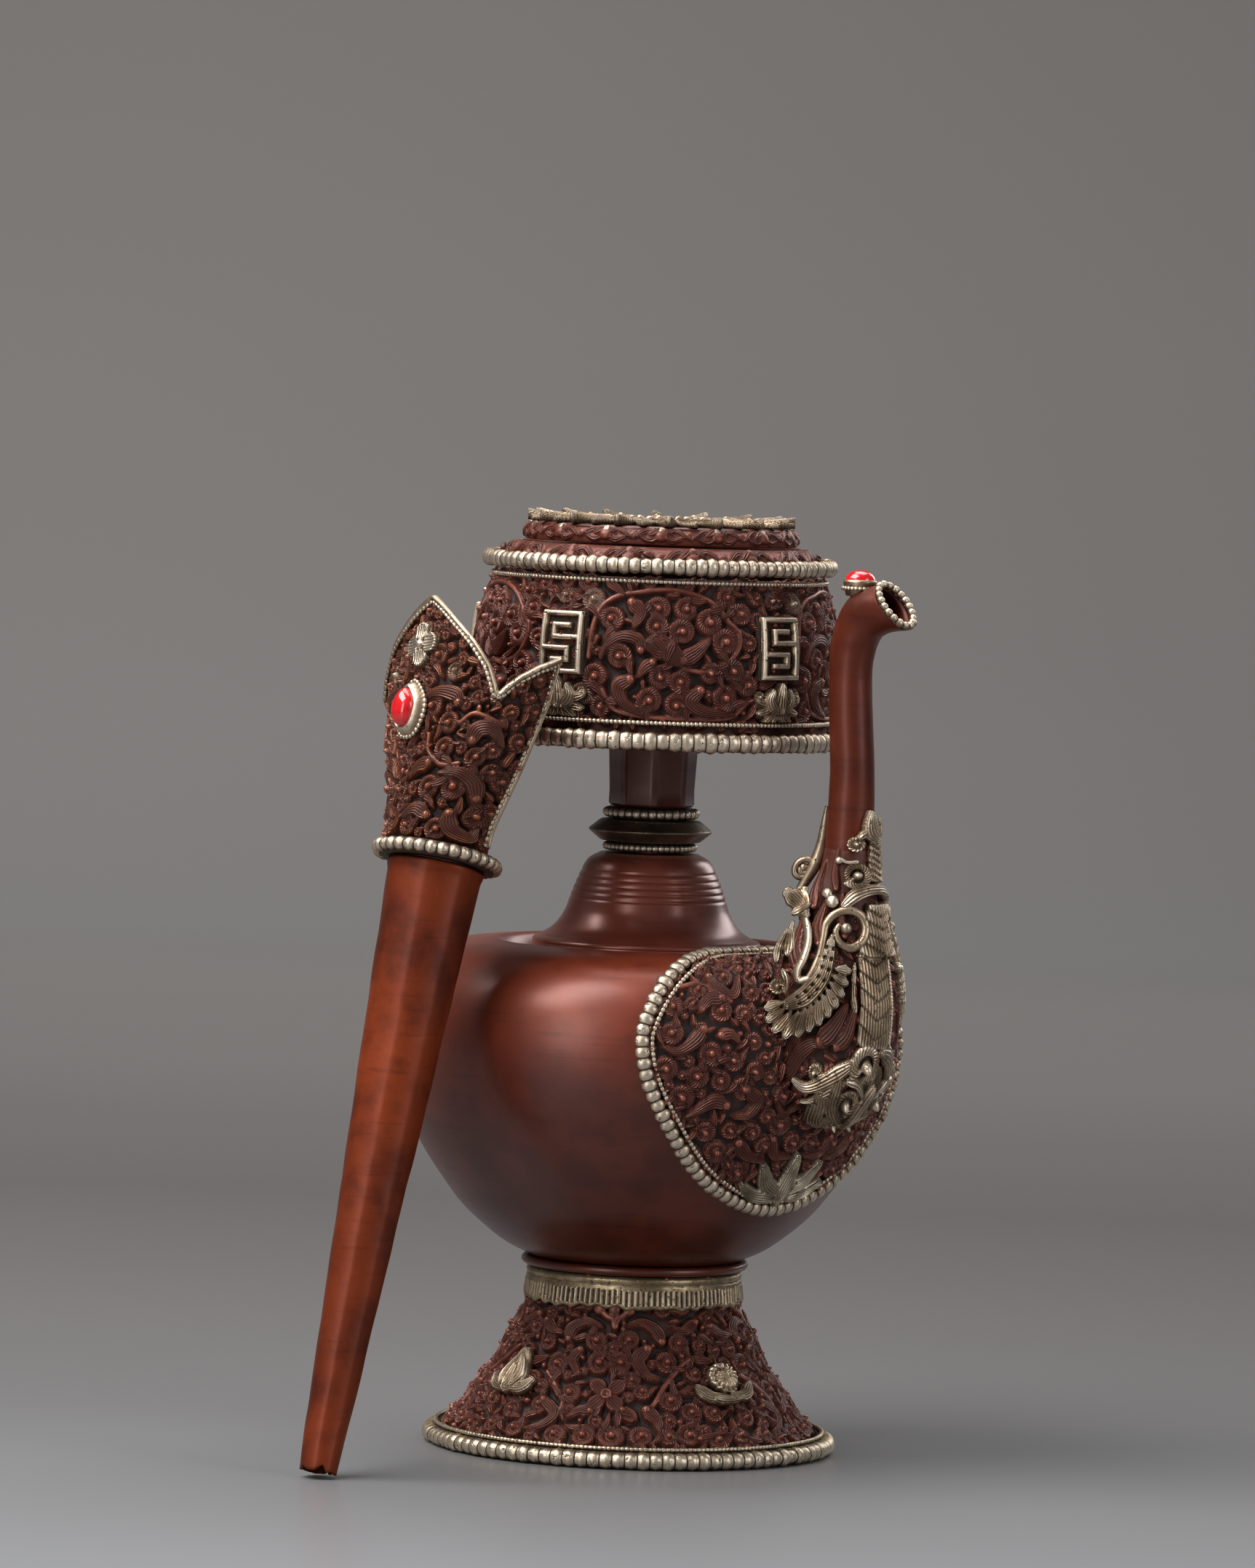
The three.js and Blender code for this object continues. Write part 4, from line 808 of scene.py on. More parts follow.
def cut_plate(front, back, covered, marks):
    """A closed plate made of the covered cells of two grids of points, its front and its back."""
    rows, columns = covered.shape
    cells = covered[:-1, :-1] & covered[1:, :-1] & covered[:-1, 1:] & covered[1:, 1:]
    index = np.arange(rows * columns).reshape(rows, columns)
    quads = np.stack([index[:-1, :-1], index[:-1, 1:], index[1:, 1:], index[1:, :-1]], -1)
    behind = rows * columns
    faces = [quads[cells], quads[cells][:, ::-1] + behind]
    wide = np.pad(cells, 1)
    for side, (row, column) in enumerate(((0, 1), (1, 2), (2, 1), (1, 0))):
        open_side = cells & ~wide[row:row + rows - 1, column:column + columns - 1]
        edge = quads[open_side][:, [side, (side + 1) % 4]]
        faces.append(np.stack([edge[:, 1], edge[:, 0], edge[:, 0] + behind, edge[:, 1] + behind], -1))
    faces = np.concatenate(faces)
    used, compact = np.unique(faces, return_inverse=True)
    points = np.concatenate([front.reshape(-1, 3), back.reshape(-1, 3)])[used]
    # Painted shade: the back of the plate is darkened.
    kept = {key: np.concatenate([field.ravel(), np.full(field.size, 0.7 if key == "dirt" else 0.0)])[used]
            for key, field in marks.items()}
    return points, [compact.reshape(-1, 4)], kept


def cut_out(carving, cell):
    """Finishes a silver carving that ends at its own outline, and gives the cells inside it."""
    covered = blurred(carving.laid, 1.0, carving.wraps) > 0.45
    carving.laid[:] = 1
    carving.finish(cell, 0)
    # Hollows darker and tops lighter on silver: tarnish and wear, and painted shade and painted highlight.
    carving.dirt = limited(carving.dirt * 2.4)
    carving.wear = limited(carving.wear * 1.6)
    return covered


# Faces that the pieces are laid on

class Turned:
    """A face of revolution, read by turn (degrees), run along its outline (mm) and lift off it (mm)."""

    def __init__(self, shares, radius, height, base):
        outline = smooth_line([(r * radius, base + z * height) for r, z in shares], 500)
        self.radii, self.heights = outline.T
        self.runs = np.concatenate([[0], np.cumsum(np.hypot(*np.diff(outline, axis=0).T))])
        self.length = self.runs[-1]
        along = directions(np.gradient(outline, axis=0))
        self.out_radius, self.out_level = along[:, 1], -along[:, 0]

    def at(self, turn, run, lift=0.0):
        radius = np.interp(run, self.runs, self.radii) + lift * np.interp(run, self.runs, self.out_radius)
        level = np.interp(run, self.runs, self.heights) + lift * np.interp(run, self.runs, self.out_level)
        return polar(radius, np.asarray(turn, float) * DEG, level)

    def run_at(self, level):
        return np.interp(level, self.heights, self.runs)

    def span(self, run, turn_a, turn_b):
        return np.interp(run, self.runs, self.radii) * (turn_b - turn_a) * DEG


def read_share(rows, place):
    """The value at a place, between rows of place and value."""
    return np.interp(place, *np.array(rows, float).T)


def carved_band(name, face, carving, sectors, paint, node, thick, sunk):
    """A carved sheet of revolution in sectors, which meet behind what covers their joints."""
    columns = len(carving.turns)
    lows = np.linspace(carving.levels[0], carving.levels[-1], 14)[:, None]
    for k in range(sectors):
        pick = (np.arange(columns // sectors + 1) + k * columns // sectors) % columns
        turns = carving.turns[pick][None]
        outer = face.at(turns, carving.levels[:, None], carving.high[:, pick] - sunk)
        inner = face.at(turns, lows, -thick)
        piece(f"{name}_{k + 1}", node, wall(outer, inner, carving.marks(pick)), paint)


def silver_plate(name, node, face, carving, cell, lift, back):
    """Cuts the laid parts of a carving out as a silver piece, from back to lift off a face and higher."""
    covered = cut_out(carving, cell)
    turns, runs = carving.turns[None], carving.levels[:, None]
    front = face.at(turns, runs, lift + np.maximum(carving.high, 0.05))
    piece(name, node, cut_plate(front, face.at(turns, runs, back), covered, carving.marks()), SILVER)


def bead_loop(name, node, paint, *rows, base=None, waist=0.7):
    """Rows of beads round the axis, each given by radius, level, pitch and half sizes out and up."""
    parts = []
    for k, (radius, level, pitch, out, up) in enumerate(rows):
        ring = ring_path(radius, level, 720)
        parts.append(beads(*ring, pitch, out, up, seed=k + len(name), sides=14, waist=waist))
    if base:
        # Painted shade: the plain ring under the beads is darkened.
        parts.append(marked(lathe(base), dirt=0.9))
    piece(name, node, joined(*parts), paint)


def band(inner, outer, low, high):
    """The outline of a plain ring under beads."""
    return [(inner, low), (outer, low), (outer, high), (inner, high)]


def turned_piece(name, node, outline, paint, soft):
    piece(name, node, lathe(rounded(outline, soft), 256), paint)


def low_of(node):
    return corners(node)[0][2]


# Foot

FOOT = Turned([
    (1, 0), (1, 0.085), (0.97, 0.137), (0.885, 0.235), (0.805, 0.358),
    (0.705, 0.505), (0.64, 0.666), (0.57, 0.8), (0.545, 1),
], radius=43, height=41, base=0)
FLOWER_TURN = -57
SYMBOL_TURN = -9


def eight_sided(turns):
    """How far out the sides of an octagon are, where its corners are 1 out."""
    return math.cos(math.pi / 8) / np.cos((turns % 45 - 22.5) * DEG)


def turns_and_runs(face, run_range, cell, first_turn, sectors):
    """Even columns of turns round a face, and even rows of runs up it."""
    columns = sectors * round(2 * math.pi * face.radii.max() / cell / sectors)
    rows = round((run_range[1] - run_range[0]) / cell)
    return first_turn + even_turns(columns), np.linspace(*run_range, rows)


def stamp(carving, run_at, curls, leaves, ridges, start, seed):
    """Lays one panel's scrolls, which are placed by turn from its start and by level."""
    rng = np.random.default_rng(seed)

    def place(turn, level):
        return start + turn + rng.normal(0, 0.25), run_at(level)

    for places, width in ridges:
        carving.ridge([place(*p) for p in places], width, 0.7)
    for places, width in leaves:
        carving.leaf([place(*p) for p in places], width, 1.0, head=0.27 * width)
    for k, (turn, level, radius, *silver) in enumerate(curls):
        spot = place(turn, level)
        grown = radius * rng.uniform(1.03, 1.12)
        carving.curl(*spot, grown, 1 if k % 2 else -1, rng.uniform(0, 6.3), 0.95, *silver)


# Curls are turn, level and radius, and perhaps how silver they are; leaves and ridges are places and a width.
FOOT_CURLS = [
    (-3.8, 26.8, 2.41), (11.5, 27.2, 2.41), (-1.0, 22.0, 2.66), (8.8, 22.2, 2.41), (-20.5, 21.2, 2.66),
    (29.0, 22.6, 2.41), (-10.2, 15.4, 2.66), (17.8, 16.4, 1.9), (-21.5, 12.4, 2.53), (28.0, 14.6, 2.66),
    (-11.2, 6.6, 2.66), (-2.0, 6.8, 2.85), (7.8, 7.0, 3.04), (17.2, 7.2, 2.66), (35.0, 12.0, 2.41),
    (44.5, 12.0, 2.28), (32.5, 7.4, 2.66), (-22.2, 33.4, 2.03), (-11.8, 35.0, 1.9), (29.2, 34.2, 2.28),
    (40.5, 34.8, 2.03), (18.0, 35.4, 1.39), (-35.0, 31.6, 1.9), (-32.5, 10.6, 2.28), (-30.0, 34.8, 2.28),
    (-27.0, 7.0, 2.4), (-37.5, 7.2, 2.3), (43.0, 6.4, 2.4),
]
FOOT_LEAVES = [
    ([(-17.8, 26.6), (-17.8, 29.0), (-11.2, 30.6), (-3.0, 30.0)], 3.5),
    ([(27.0, 27.0), (24.8, 29.4), (18.2, 31.0), (10.8, 30.4)], 3.5),
    ([(-34.8, 30.0), (-28.8, 28.4), (-22.2, 27.8)], 3.2),
    ([(47.0, 31.0), (39.8, 29.4), (33.5, 30.0)], 3.2),
    ([(-11.0, 24.6), (-13.2, 22.2), (-9.2, 19.6), (-11.8, 18.6)], 2.9),
    ([(20.0, 25.4), (16.2, 23.0), (19.2, 20.0), (24.8, 19.0)], 3.8),
    ([(-1.2, 11.8), (-4.8, 11.8), (-8.5, 10.2)], 3.2),
    ([(10.0, 12.4), (13.8, 11.6), (15.8, 10.2)], 2.9),
    ([(18.8, 12.6), (22.2, 10.2), (23.0, 8.0)], 3.8),
    ([(-20.5, 13.4), (-14.0, 10.8), (-17.0, 8.2), (-22.8, 7.0)], 3.2),
    ([(36.2, 6.6), (43.5, 7.4), (48.0, 7.6)], 2.2),
]
FOOT_RIDGES = [
    ([(41.0, 23.6), (35.0, 21.4), (26.5, 17.2), (21.8, 13.8), (19.2, 12.6)], 1.3),
    ([(-24.0, 19.2), (-17.5, 16.6), (-12.5, 12.6), (-15.5, 9.0)], 1.3),
    ([(-5.2, 33.6), (-1.0, 32.2), (2.6, 31.6), (4.0, 30.0)], 1.6),
    ([(12.0, 33.8), (8.0, 32.2), (5.2, 31.6), (4.0, 30.0)], 1.6),
]


def make_foot():
    cell = 0.22
    turns, runs = turns_and_runs(FOOT, (FOOT.run_at(3.6), FOOT.length), cell, SYMBOL_TURN, 4)
    carving = Carving(turns, runs, FOOT.span, ground=-0.25, seed=5)
    for k in range(4):
        start = FLOWER_TURN - 4 + 90 * k
        stamp(carving, FOOT.run_at, FOOT_CURLS, FOOT_LEAVES, FOOT_RIDGES, start, 40 + k)
        carving.flower(start + 4, FOOT.run_at(15.4), 5.2, 1.15)
        for level in np.arange(33.6, 41, 7.0):
            for turn in (-5.2, 3.0, 11.0):
                carving.bud(start + turn, FOOT.run_at(level), 1.4, 0.9)
    top = (turns[0], turns[0] + 360)
    carving.fill(1.7, 2.7, 4000, top, (runs[0] + 2, runs[-1]), 0.9, 0.75)
    carving.fill(1.0, 1.7, 5000, top, (runs[0] + 1, runs[-1]), 0.8, 0.6)
    carving.fill(0.6, 0.9, 900, top, (runs[0] + 0.6, runs[-1]), 0.5, 0.0)
    carving.finish(cell)
    carved_band("foot_scrolls", FOOT, carving, 4, SCROLL, "foot_shell", thick=3.0, sunk=0.55)
    bead_loop("foot_bead_rim", "foot_rim_beads", COLLAR_SILVER,
              (45.15, 2.05, 2.75, 2.1, 2.0), (44.1, 4.55, 1.02, 0.52, 0.5),
              base=[(43.2, 0.25), (45.2, 0.25), (45.2, 3.7), (43.2, 4.1)], waist=0.84)
    make_collar()
    for k in range(4):
        make_symbol(k)
    disc = [(19, 41.3), (25.4, 41.3), (26, 42.3), (25.4, 43.3), (19, 43.3)]
    turned_piece("foot_lip_ring", "foot_lip", disc, BOWL_COPPER, soft=0.6)


def make_collar():
    """Silver band round the foot's neck, ticked from top to bottom and cut ragged below."""
    low, high = FOOT.run_at(33.6), FOOT.length
    columns, rows = 1080, 42
    turns = even_turns(columns)
    rng = np.random.default_rng(9)
    share = np.linspace(0, 1, rows)[:, None]
    ragged = blurred(rng.normal(0, 1, (1, columns)), 6, True)
    ragged = ragged / np.abs(ragged).max() * 0.7 + 0.35 * np.sin(turns * DEG * 36)
    runs = low + 0.7 * ragged * (1 - share) + (high - low) * share
    tick = np.tile(np.sin(turns * DEG * 120 + rng.normal(0, 0.25, columns)), (rows, 1))
    edge = limited(share / 0.08) * limited((1 - share) / 0.08)
    bands = 0.16 * bell((share - 0.86) / 0.05) - 0.2 * bell((share - 0.74) / 0.03)
    ticked = (share > 0.1) & (share < 0.58)
    swell = 0.85 + 0.2 * tick * ticked + bands + 0.1 * blurred(rng.normal(0, 2, (rows, columns)), 3, True)
    outer = FOOT.at(turns[None], runs, 0.25 + (swell - 0.25) * edge**0.5)
    inner = FOOT.at(turns[None] + 0 * share[:2], runs[[0, -1]], 0.15)
    # Darker between ticks, at the edges and in the groove: tarnish, and painted shade. Lighter on the tick
    # tops: wear, and a painted highlight.
    dirt = limited(0.3 - tick) * ticked * 0.75 + 0.5 * (1 - edge) + 0.5 * (np.abs(share - 0.74) < 0.03)
    marks = {"dirt": dirt, "wear": limited(tick) * edge * ticked * 0.7}
    piece("foot_silver_collar", "foot_collar", wall(outer, inner, marks, True), COLLAR_SILVER)


# A conch, a lotus bud, a wheel and a knot of scrolls, in mm aside and up from the middle of the lower edge.
SYMBOLS = [
    {"shells": [(0.4, 6.0, 4.0)], "leaves": [
        ([(-7.0, 3.6), (-4.4, 1.4), (-0.4, 1.2)], 3.6), ([(7.0, 3.6), (4.4, 1.4), (0.4, 1.2)], 3.6),
        ([(-3.6, 0.6), (0, 0.2), (3.6, 0.6)], 2.4)]},
    {"leaves": [
        ([(-6.4, 3.4), (-3.8, 1.2), (0.4, 0.9)], 3.2), ([(6.0, 3.4), (3.8, 1.2), (-0.4, 0.9)], 3.2),
        ([(0, 1.6), (0, 6.0), (0.2, 11.2)], 7.4), ([(-1.8, 1.8), (-2.4, 4.6), (-0.8, 9.0)], 3.8),
        ([(1.8, 1.8), (2.4, 4.6), (0.8, 9.0)], 3.8), ([(0, 1.4), (0, 3.6), (0, 6.4)], 3.2)]},
    {"curls": [(0, 5.2, 1.7, 1, 0.0)], "leaves": [
        ([(3.9 * math.cos(a), 5.2 + 3.9 * math.sin(a)), (2.8 * math.cos(a), 5.2 + 2.8 * math.sin(a)),
          (1.5 * math.cos(a), 5.2 + 1.5 * math.sin(a))], 1.7) for a in np.arange(8) * math.pi / 4],
     "buds": [(-4.2, 1.2, 0.9), (4.2, 1.2, 0.9)]},
    {"curls": [(-2.0, 3.4, 1.8, 1, 0.0), (2.0, 3.4, 1.8, -1, 3.1),
               (-2.0, 6.8, 1.8, -1, 0.0), (2.0, 6.8, 1.8, 1, 3.1)],
     "leaves": [([(0, 8.6), (0, 9.6), (0, 10.6)], 1.6), ([(0, 1.8), (0, 1.0), (0, 0.2)], 1.6)],
     "buds": [(0, 5.1, 1.1)]},
]
SYMBOL_ORDER = (0, 2, 3, 1)


def make_symbol(k):
    """Silver symbol on the foot: a conch, a lotus bud, a wheel or a knot of scrolls, on small leaves."""
    turn = SYMBOL_TURN + 90 * k
    low = FOOT.run_at(13.6)
    cell = 0.15
    columns, rows = round(15 / cell), round(12 / cell)
    per = float(FOOT.span(low + 5, 0, 1))
    turns, runs = turn + np.linspace(-7.5, 7.5, columns) / per, low + np.linspace(-0.6, 11.4, rows)
    carving = Carving(turns, runs, FOOT.span, ground=0.0, wraps=False, seed=70 + k)
    plan = SYMBOLS[SYMBOL_ORDER[k]]
    for j, (places, width) in enumerate(plan["leaves"]):
        carving.leaf([(turn + x / per, low + y) for x, y in places], width, 1.1 + 0.25 * j, blunt=0.4)
    for x, y, radius in plan.get("shells", ()):
        carving.shell(turn + x / per, low + y, radius, 2.0)
    for x, y, radius, hand, start in plan.get("curls", ()):
        carving.curl(turn + x / per, low + y, radius, hand, start, 1.3, 1, 1.6)
    for x, y, radius in plan.get("buds", ()):
        carving.bud(turn + x / per, low + y, radius, 1.3)
    silver_plate(f"foot_silver_symbol_{k + 1}", f"foot_symbol_{k + 1}", FOOT, carving, cell, 0.55, -0.4)


# Bowl and neck

BOWL = Turned([
    (0.43, 0), (0.547, 0.049), (0.689, 0.144), (0.782, 0.237), (0.863, 0.332), (0.93, 0.436),
    (0.975, 0.542), (1, 0.69), (0.986, 0.804), (0.933, 0.9), (0.851, 0.969), (0.754, 1), (0.605, 1.013),
], radius=57, height=70.8, base=43.6)


def make_bowl():
    thick = 1.6
    outer = list(zip(BOWL.radii[::6], BOWL.heights[::6]))
    trough = [(34, 115.2), (32.6, 114.3), (31.9, 112.6), (31.4, 111.4), (30.6, 111), (22, 111), (22, 109.6)]
    inner = [(r - thick * a, z - thick * b) for r, z, a, b in zip(
        BOWL.radii[::-12], BOWL.heights[::-12], BOWL.out_radius[::-12], BOWL.out_level[::-12],
    ) if z < 108.5]
    outline = [(0.05, 43.6)] + outer + trough + [(33, 109.4)] + inner + [(0.05, 45.2)]
    piece("bowl_shell", "bowl", lathe(outline, 288), BOWL_COPPER)


NECK_BORE = 7
NECK_GROOVES = (114.9, 125.3, 126.8, 128.3, 129.8, 131.4)


def make_neck():
    bell_line = smooth_line([
        (r * 26, 111.3 + z * 24.6) for r, z in [
            (1, 0.03), (1, 0.17), (0.93, 0.215), (0.82, 0.293), (0.727, 0.435),
            (0.669, 0.618), (0.6, 0.8), (0.535, 0.923), (0.43, 0.99),
        ]
    ], 160)
    for level in NECK_GROOVES:
        bell_line[:, 0] -= 0.16 * bell((bell_line[:, 1] - level) / 0.28)
    outline = [(NECK_BORE, 111.3), (25.6, 111.3)] + bell_line.tolist() + [(NECK_BORE, 135.9)]
    piece("neck_bell_turned", "neck_bell", lathe(outline, 224), NECK_COPPER)
    bead_loop("neck_fine_beads", "neck_beads_lower", BRONZE, (9.95, 137.1, 1.3, 0.9, 0.86),
              base=band(NECK_BORE, 10.1, 136.25, 137.95))
    turned_piece("neck_lens", "neck_ring", [
        (8.4, 138.3), (11.3, 138.35), (12.7, 139.5), (13.85, 140.45), (14.1, 140.8),
        (13.85, 141.15), (12.7, 142.1), (11.3, 143.25), (8.4, 143.3),
    ], BRONZE, soft=0.5)
    bead_loop("neck_large_beads", "neck_beads_upper", BRONZE, (9.85, 144.8, 1.75, 1.2, 1.15),
              base=band(NECK_BORE, 10.0, 143.7, 145.9))
    turns = even_turns(160)
    flat = np.minimum(eight_sided(turns), 0.978)
    levels = np.array([146.3, 146.6, 147.0, 150, 153, 156, 159.6, 160.2, 160.5])
    radii = np.interp(levels, [146.3, 160.5], [9.7, 10.4]) * np.array([0.97, 1, 1.02, 1, 1, 1, 1, 1.02, 1.0])
    radii[2] = radii[3] * 1.01
    outer = polar(radii[:, None] * flat, turns * DEG, levels[:, None])
    inner = polar(NECK_BORE, turns * DEG, levels[[0, -1]][:, None])
    piece("neck_octagon", "neck_tube", wall(outer, inner, {"dirt": 0 * outer[..., 0]}, True), NECK_COPPER)


# Drum

DRUM = Turned([
    (0.985, 0), (0.988, 0.12), (1, 0.3), (1, 0.55), (0.982, 0.72), (0.94, 0.88), (0.898, 1),
], radius=41.4, height=37.4, base=162.3)
PANEL_TURN = -43
PLAQUE_TURN = -7

DRUM_CURLS = [
    (-20.2, 27.6, 2.73), (-4.8, 30.2, 2.62), (4.0, 30.2, 2.56), (-26.8, 31.8, 2.51, 0.7),
    (-6.0, 26.2, 2.73), (2.8, 25.2, 2.73), (12.0, 27.4, 2.85), (16.8, 23.2, 3.08), (18.0, 33.0, 2.39),
    (22.0, 29.4, 2.62), (-17.0, 19.2, 2.73), (-24.0, 14.6, 2.73), (-4.0, 14.8, 2.62), (2.5, 14.0, 2.62),
    (12.2, 16.0, 2.39), (20.0, 16.6, 2.51), (25.0, 13.6, 2.51), (-7.0, 9.6, 2.85), (1.5, 8.6, 2.85),
    (17.5, 10.6, 2.96), (-22.5, 7.8, 2.51), (-29.0, 10.4, 2.51, 0.7), (28.8, 33.0, 1.71),
    (-34.5, 32.4, 1.9), (35.0, 32.4, 1.9, 0.6), (30.5, 8.2, 2.2, 0.6),
]
DRUM_LEAVES = [
    ([(-13.8, 31.4), (-11.0, 29.2), (-12.8, 25.8)], 4.0),
    ([(-10.2, 20.8), (-11.0, 23.2), (-16.5, 23.8), (-21.0, 21.8), (-23.2, 18.6)], 3.2),
    ([(3.0, 18.8), (7.5, 20.8), (11.5, 23.8)], 4.3),
    ([(-6.5, 18.2), (-9.0, 16.8), (-10.5, 14.8)], 3.4),
    ([(-13.5, 14.2), (-17.2, 12.4), (-15.2, 9.0), (-9.2, 6.4)], 4.0),
    ([(8.8, 12.2), (6.2, 9.6), (10.8, 7.4), (19.8, 7.0)], 4.0),
]
DRUM_RIDGES = [
    ([(-27.2, 18.8), (-26.2, 25.4), (-23.8, 30.0), (-19.2, 32.6), (-12.8, 33.6), (-6.2, 34.4), (1.2, 34.4),
      (7.8, 33.4), (12.8, 31.8), (16.8, 29.0), (18.8, 27.2), (21.5, 25.8), (21.8, 22.8), (19.5, 19.6),
      (15.0, 17.4), (9.5, 16.4), (3.2, 17.0)], 1.25),
    ([(-22.0, 11.6), (-18.8, 7.8), (-14.0, 6.4), (-6.2, 5.8), (3.0, 5.6), (12.5, 5.6), (20.0, 6.4),
      (24.0, 9.4), (26.5, 10.4)], 1.2),
]


# Places, width and height.
DRUM_PALM = [
    ([(-6.6, 22.0), (-2.0, 21.0), (2.6, 18.2)], 6.4, 1.15),
    ([(-5.6, 23.0), (-3.4, 21.4), (-2.8, 19.0)], 3.0, 1.5),
    ([(-0.4, 22.6), (-1.4, 20.8), (-2.2, 18.6)], 2.6, 1.5),
]


def drum_run(level):
    return DRUM.run_at(DRUM.heights[0] + level)


def make_drum():
    cell = 0.2
    turns, runs = turns_and_runs(DRUM, (0, DRUM.length), cell, PLAQUE_TURN, 5)
    carving = Carving(turns, runs, DRUM.span, ground=-0.25, seed=11)
    for k in range(5):
        start = PANEL_TURN + 72 * k
        stamp(carving, drum_run, DRUM_CURLS, DRUM_LEAVES, DRUM_RIDGES, start, 80 + k)
        for places, width, top in DRUM_PALM:
            carving.leaf([(start + turn, drum_run(level)) for turn, level in places], width, top, blunt=0.35)
    whole = (turns[0], turns[0] + 360)
    carving.fill(1.8, 2.6, 4000, whole, (5, runs[-1] - 2), 0.9, 0.8)
    carving.fill(1.0, 1.8, 5000, whole, (4, runs[-1] - 1), 0.8, 0.6)
    carving.fill(0.6, 0.9, 900, whole, (4, runs[-1] - 0.5), 0.5, 0.0)
    carving.finish(cell)
    carved_band("drum_scrolls", DRUM, carving, 5, SCROLL, "drum_wall", thick=2.9, sunk=0.55)
    bead_loop("drum_lower_bead_rim", "drum_beads_lower", SILVER, (42.55, 162.85, 2.7, 1.6, 2.25),
              base=band(41.6, 42.7, 160.9, 164.7), waist=0.84)
    bead_loop("drum_lower_fine_beads", "drum_wire_lower", SILVER, (41.55, 166.95, 1.0, 0.6, 0.58))
    bead_loop("drum_upper_fine_beads", "drum_wire_upper", SILVER, (37.9, 198.4, 1.0, 0.6, 0.58))
    bead_loop("drum_upper_bead_rim", "drum_beads_upper", SILVER, (38.75, 201.85, 2.45, 1.72, 1.95),
              base=band(37.4, 38.7, 200.2, 203.5), waist=0.8)
    floor = [(7.2, 160.8), (40.6, 160.8), (41, 161.4), (40.6, 162), (7.2, 162)]
    turned_piece("drum_underside", "drum_floor", floor, NECK_COPPER, soft=0.3)
    for k in range(5):
        make_plaque(k)
        make_lotus(k)


PLATE_CELL = 0.12


def small_plate(width, height, turn, run, seed):
    """A carving over a small plate on the drum."""
    half = width / 2 / float(DRUM.span(run, 0, 1))
    turns = np.linspace(turn - half, turn + half, round(width / PLATE_CELL))
    runs = np.linspace(run, run + height, round(height / PLATE_CELL))
    return Carving(turns, runs, DRUM.span, ground=0.0, wraps=False, seed=seed)


# The middle lines of half the fret's bars, in mm from its middle; the others mirror them through it.
FRET_BARS = [
    (-4.6, 6.35, 4.6, 6.35), (4.6, 1.25, 4.6, 6.35), (-1.75, 1.25, 4.6, 1.25), (-1.75, 1.25, -1.75, 3.8),
    (-1.75, 3.8, 1.9, 3.8), (-4.6, -1.25, -4.6, 6.35),
]
BAR_HALF = 0.68


def make_plaque(k):
    """Silver plaque: a square key fret of broad flat bars, open between them."""
    turn = PLAQUE_TURN + 72 * k
    low = DRUM.run_at(low_of("drum_plaque_1"))
    carving = small_plate(12, 15.2, turn, low, 60 + k)
    carving.high[:] = -0.9
    per = float(DRUM.span(low, 0, 1))
    middle_run = low + 7.6
    for way in (1, -1):
        for x0, y0, x1, y1 in FRET_BARS:
            left, right = sorted((way * x0, way * x1))
            below, above = sorted((way * y0, way * y1))
            left, right, below, above = left - BAR_HALF, right + BAR_HALF, below - BAR_HALF, above + BAR_HALF
            places = (left, below), (right, below), (right, above), (left, above)
            carving.panel([(turn + x / per, middle_run + y) for x, y in places], 0.75)
    covered = carving.laid.copy()
    carving.finish(PLATE_CELL, 0.0)
    # Beyond its edge the plaque dives into the drum's wall.
    lift = 0.85
    x = DRUM.span(carving.levels[:, None], turn, carving.turns[None])
    y = carving.levels[:, None] - middle_run
    inside = np.minimum(5.5 - np.abs(x), 7.0 - np.abs(y))
    sink = limited(-inside / 0.4)
    height = np.where(inside > 0, carving.high, 0) - sink * (lift + 0.6)
    # Painted shade: the open spaces between the bars and the edge where the plaque dives into the wall are
    # darkened. The bars are painted lighter: wear, and a painted highlight.
    carving.dirt = limited(np.maximum(carving.dirt * 0.6, (1 - covered) * 0.95) + sink)
    carving.wear = limited(carving.wear + covered * 0.2)
    outer = DRUM.at(carving.turns[None], carving.levels[:, None], lift + height)
    inner = DRUM.at(carving.turns[None], carving.levels[[0, -1]][:, None], -0.5)
    piece(f"drum_fret_plaque_{k + 1}", f"drum_plaque_{k + 1}", wall(outer, inner, carving.marks()), SILVER)


def make_lotus(k):
    """Silver lotus: three upright lined lobes over a skirt of spreading petals."""
    turn = PLAQUE_TURN + 72 * k
    low = DRUM.run_at(low_of("drum_lotus_1"))
    carving = small_plate(13.4, 8.8, turn, low, 90 + k)
    per = float(DRUM.span(low, 0, 1))

    def spot(x, y):
        return turn + x / per, low + y

    for lean in (100, -100, 72, -72, 45, -45, 22, -22, 0):
        reach = 3.0 + 2.9 * abs(math.sin(lean * DEG))
        x, y = reach * math.sin(lean * DEG), 3.5 - reach * math.cos(lean * DEG)
        petal = [spot(x, y + 0.2), spot(0.6 * x, 3.5 + (y - 3.5) * 0.6), spot(0, 3.9)]
        carving.leaf(petal, 2.1, 0.9, blunt=0.35)
    for x, reach in ((-2.7, 7.0), (2.7, 7.0), (0, 8.3)):
        top = 1.9 if x else 2.3
        carving.leaf([spot(0.5 * x, 2.8), spot(x, 4.8), spot(0.85 * x, reach)], 3.9, top, blunt=0.4)
    for side in (-1, 1):
        carving.curl(*spot(side * 5.4, 5.6), 1.25, side, 0, 0.8, 1.0)
    silver_plate(f"drum_lotus_petals_{k + 1}", f"drum_lotus_{k + 1}", DRUM, carving, PLATE_CELL, 0.3, -0.6)


# Lid

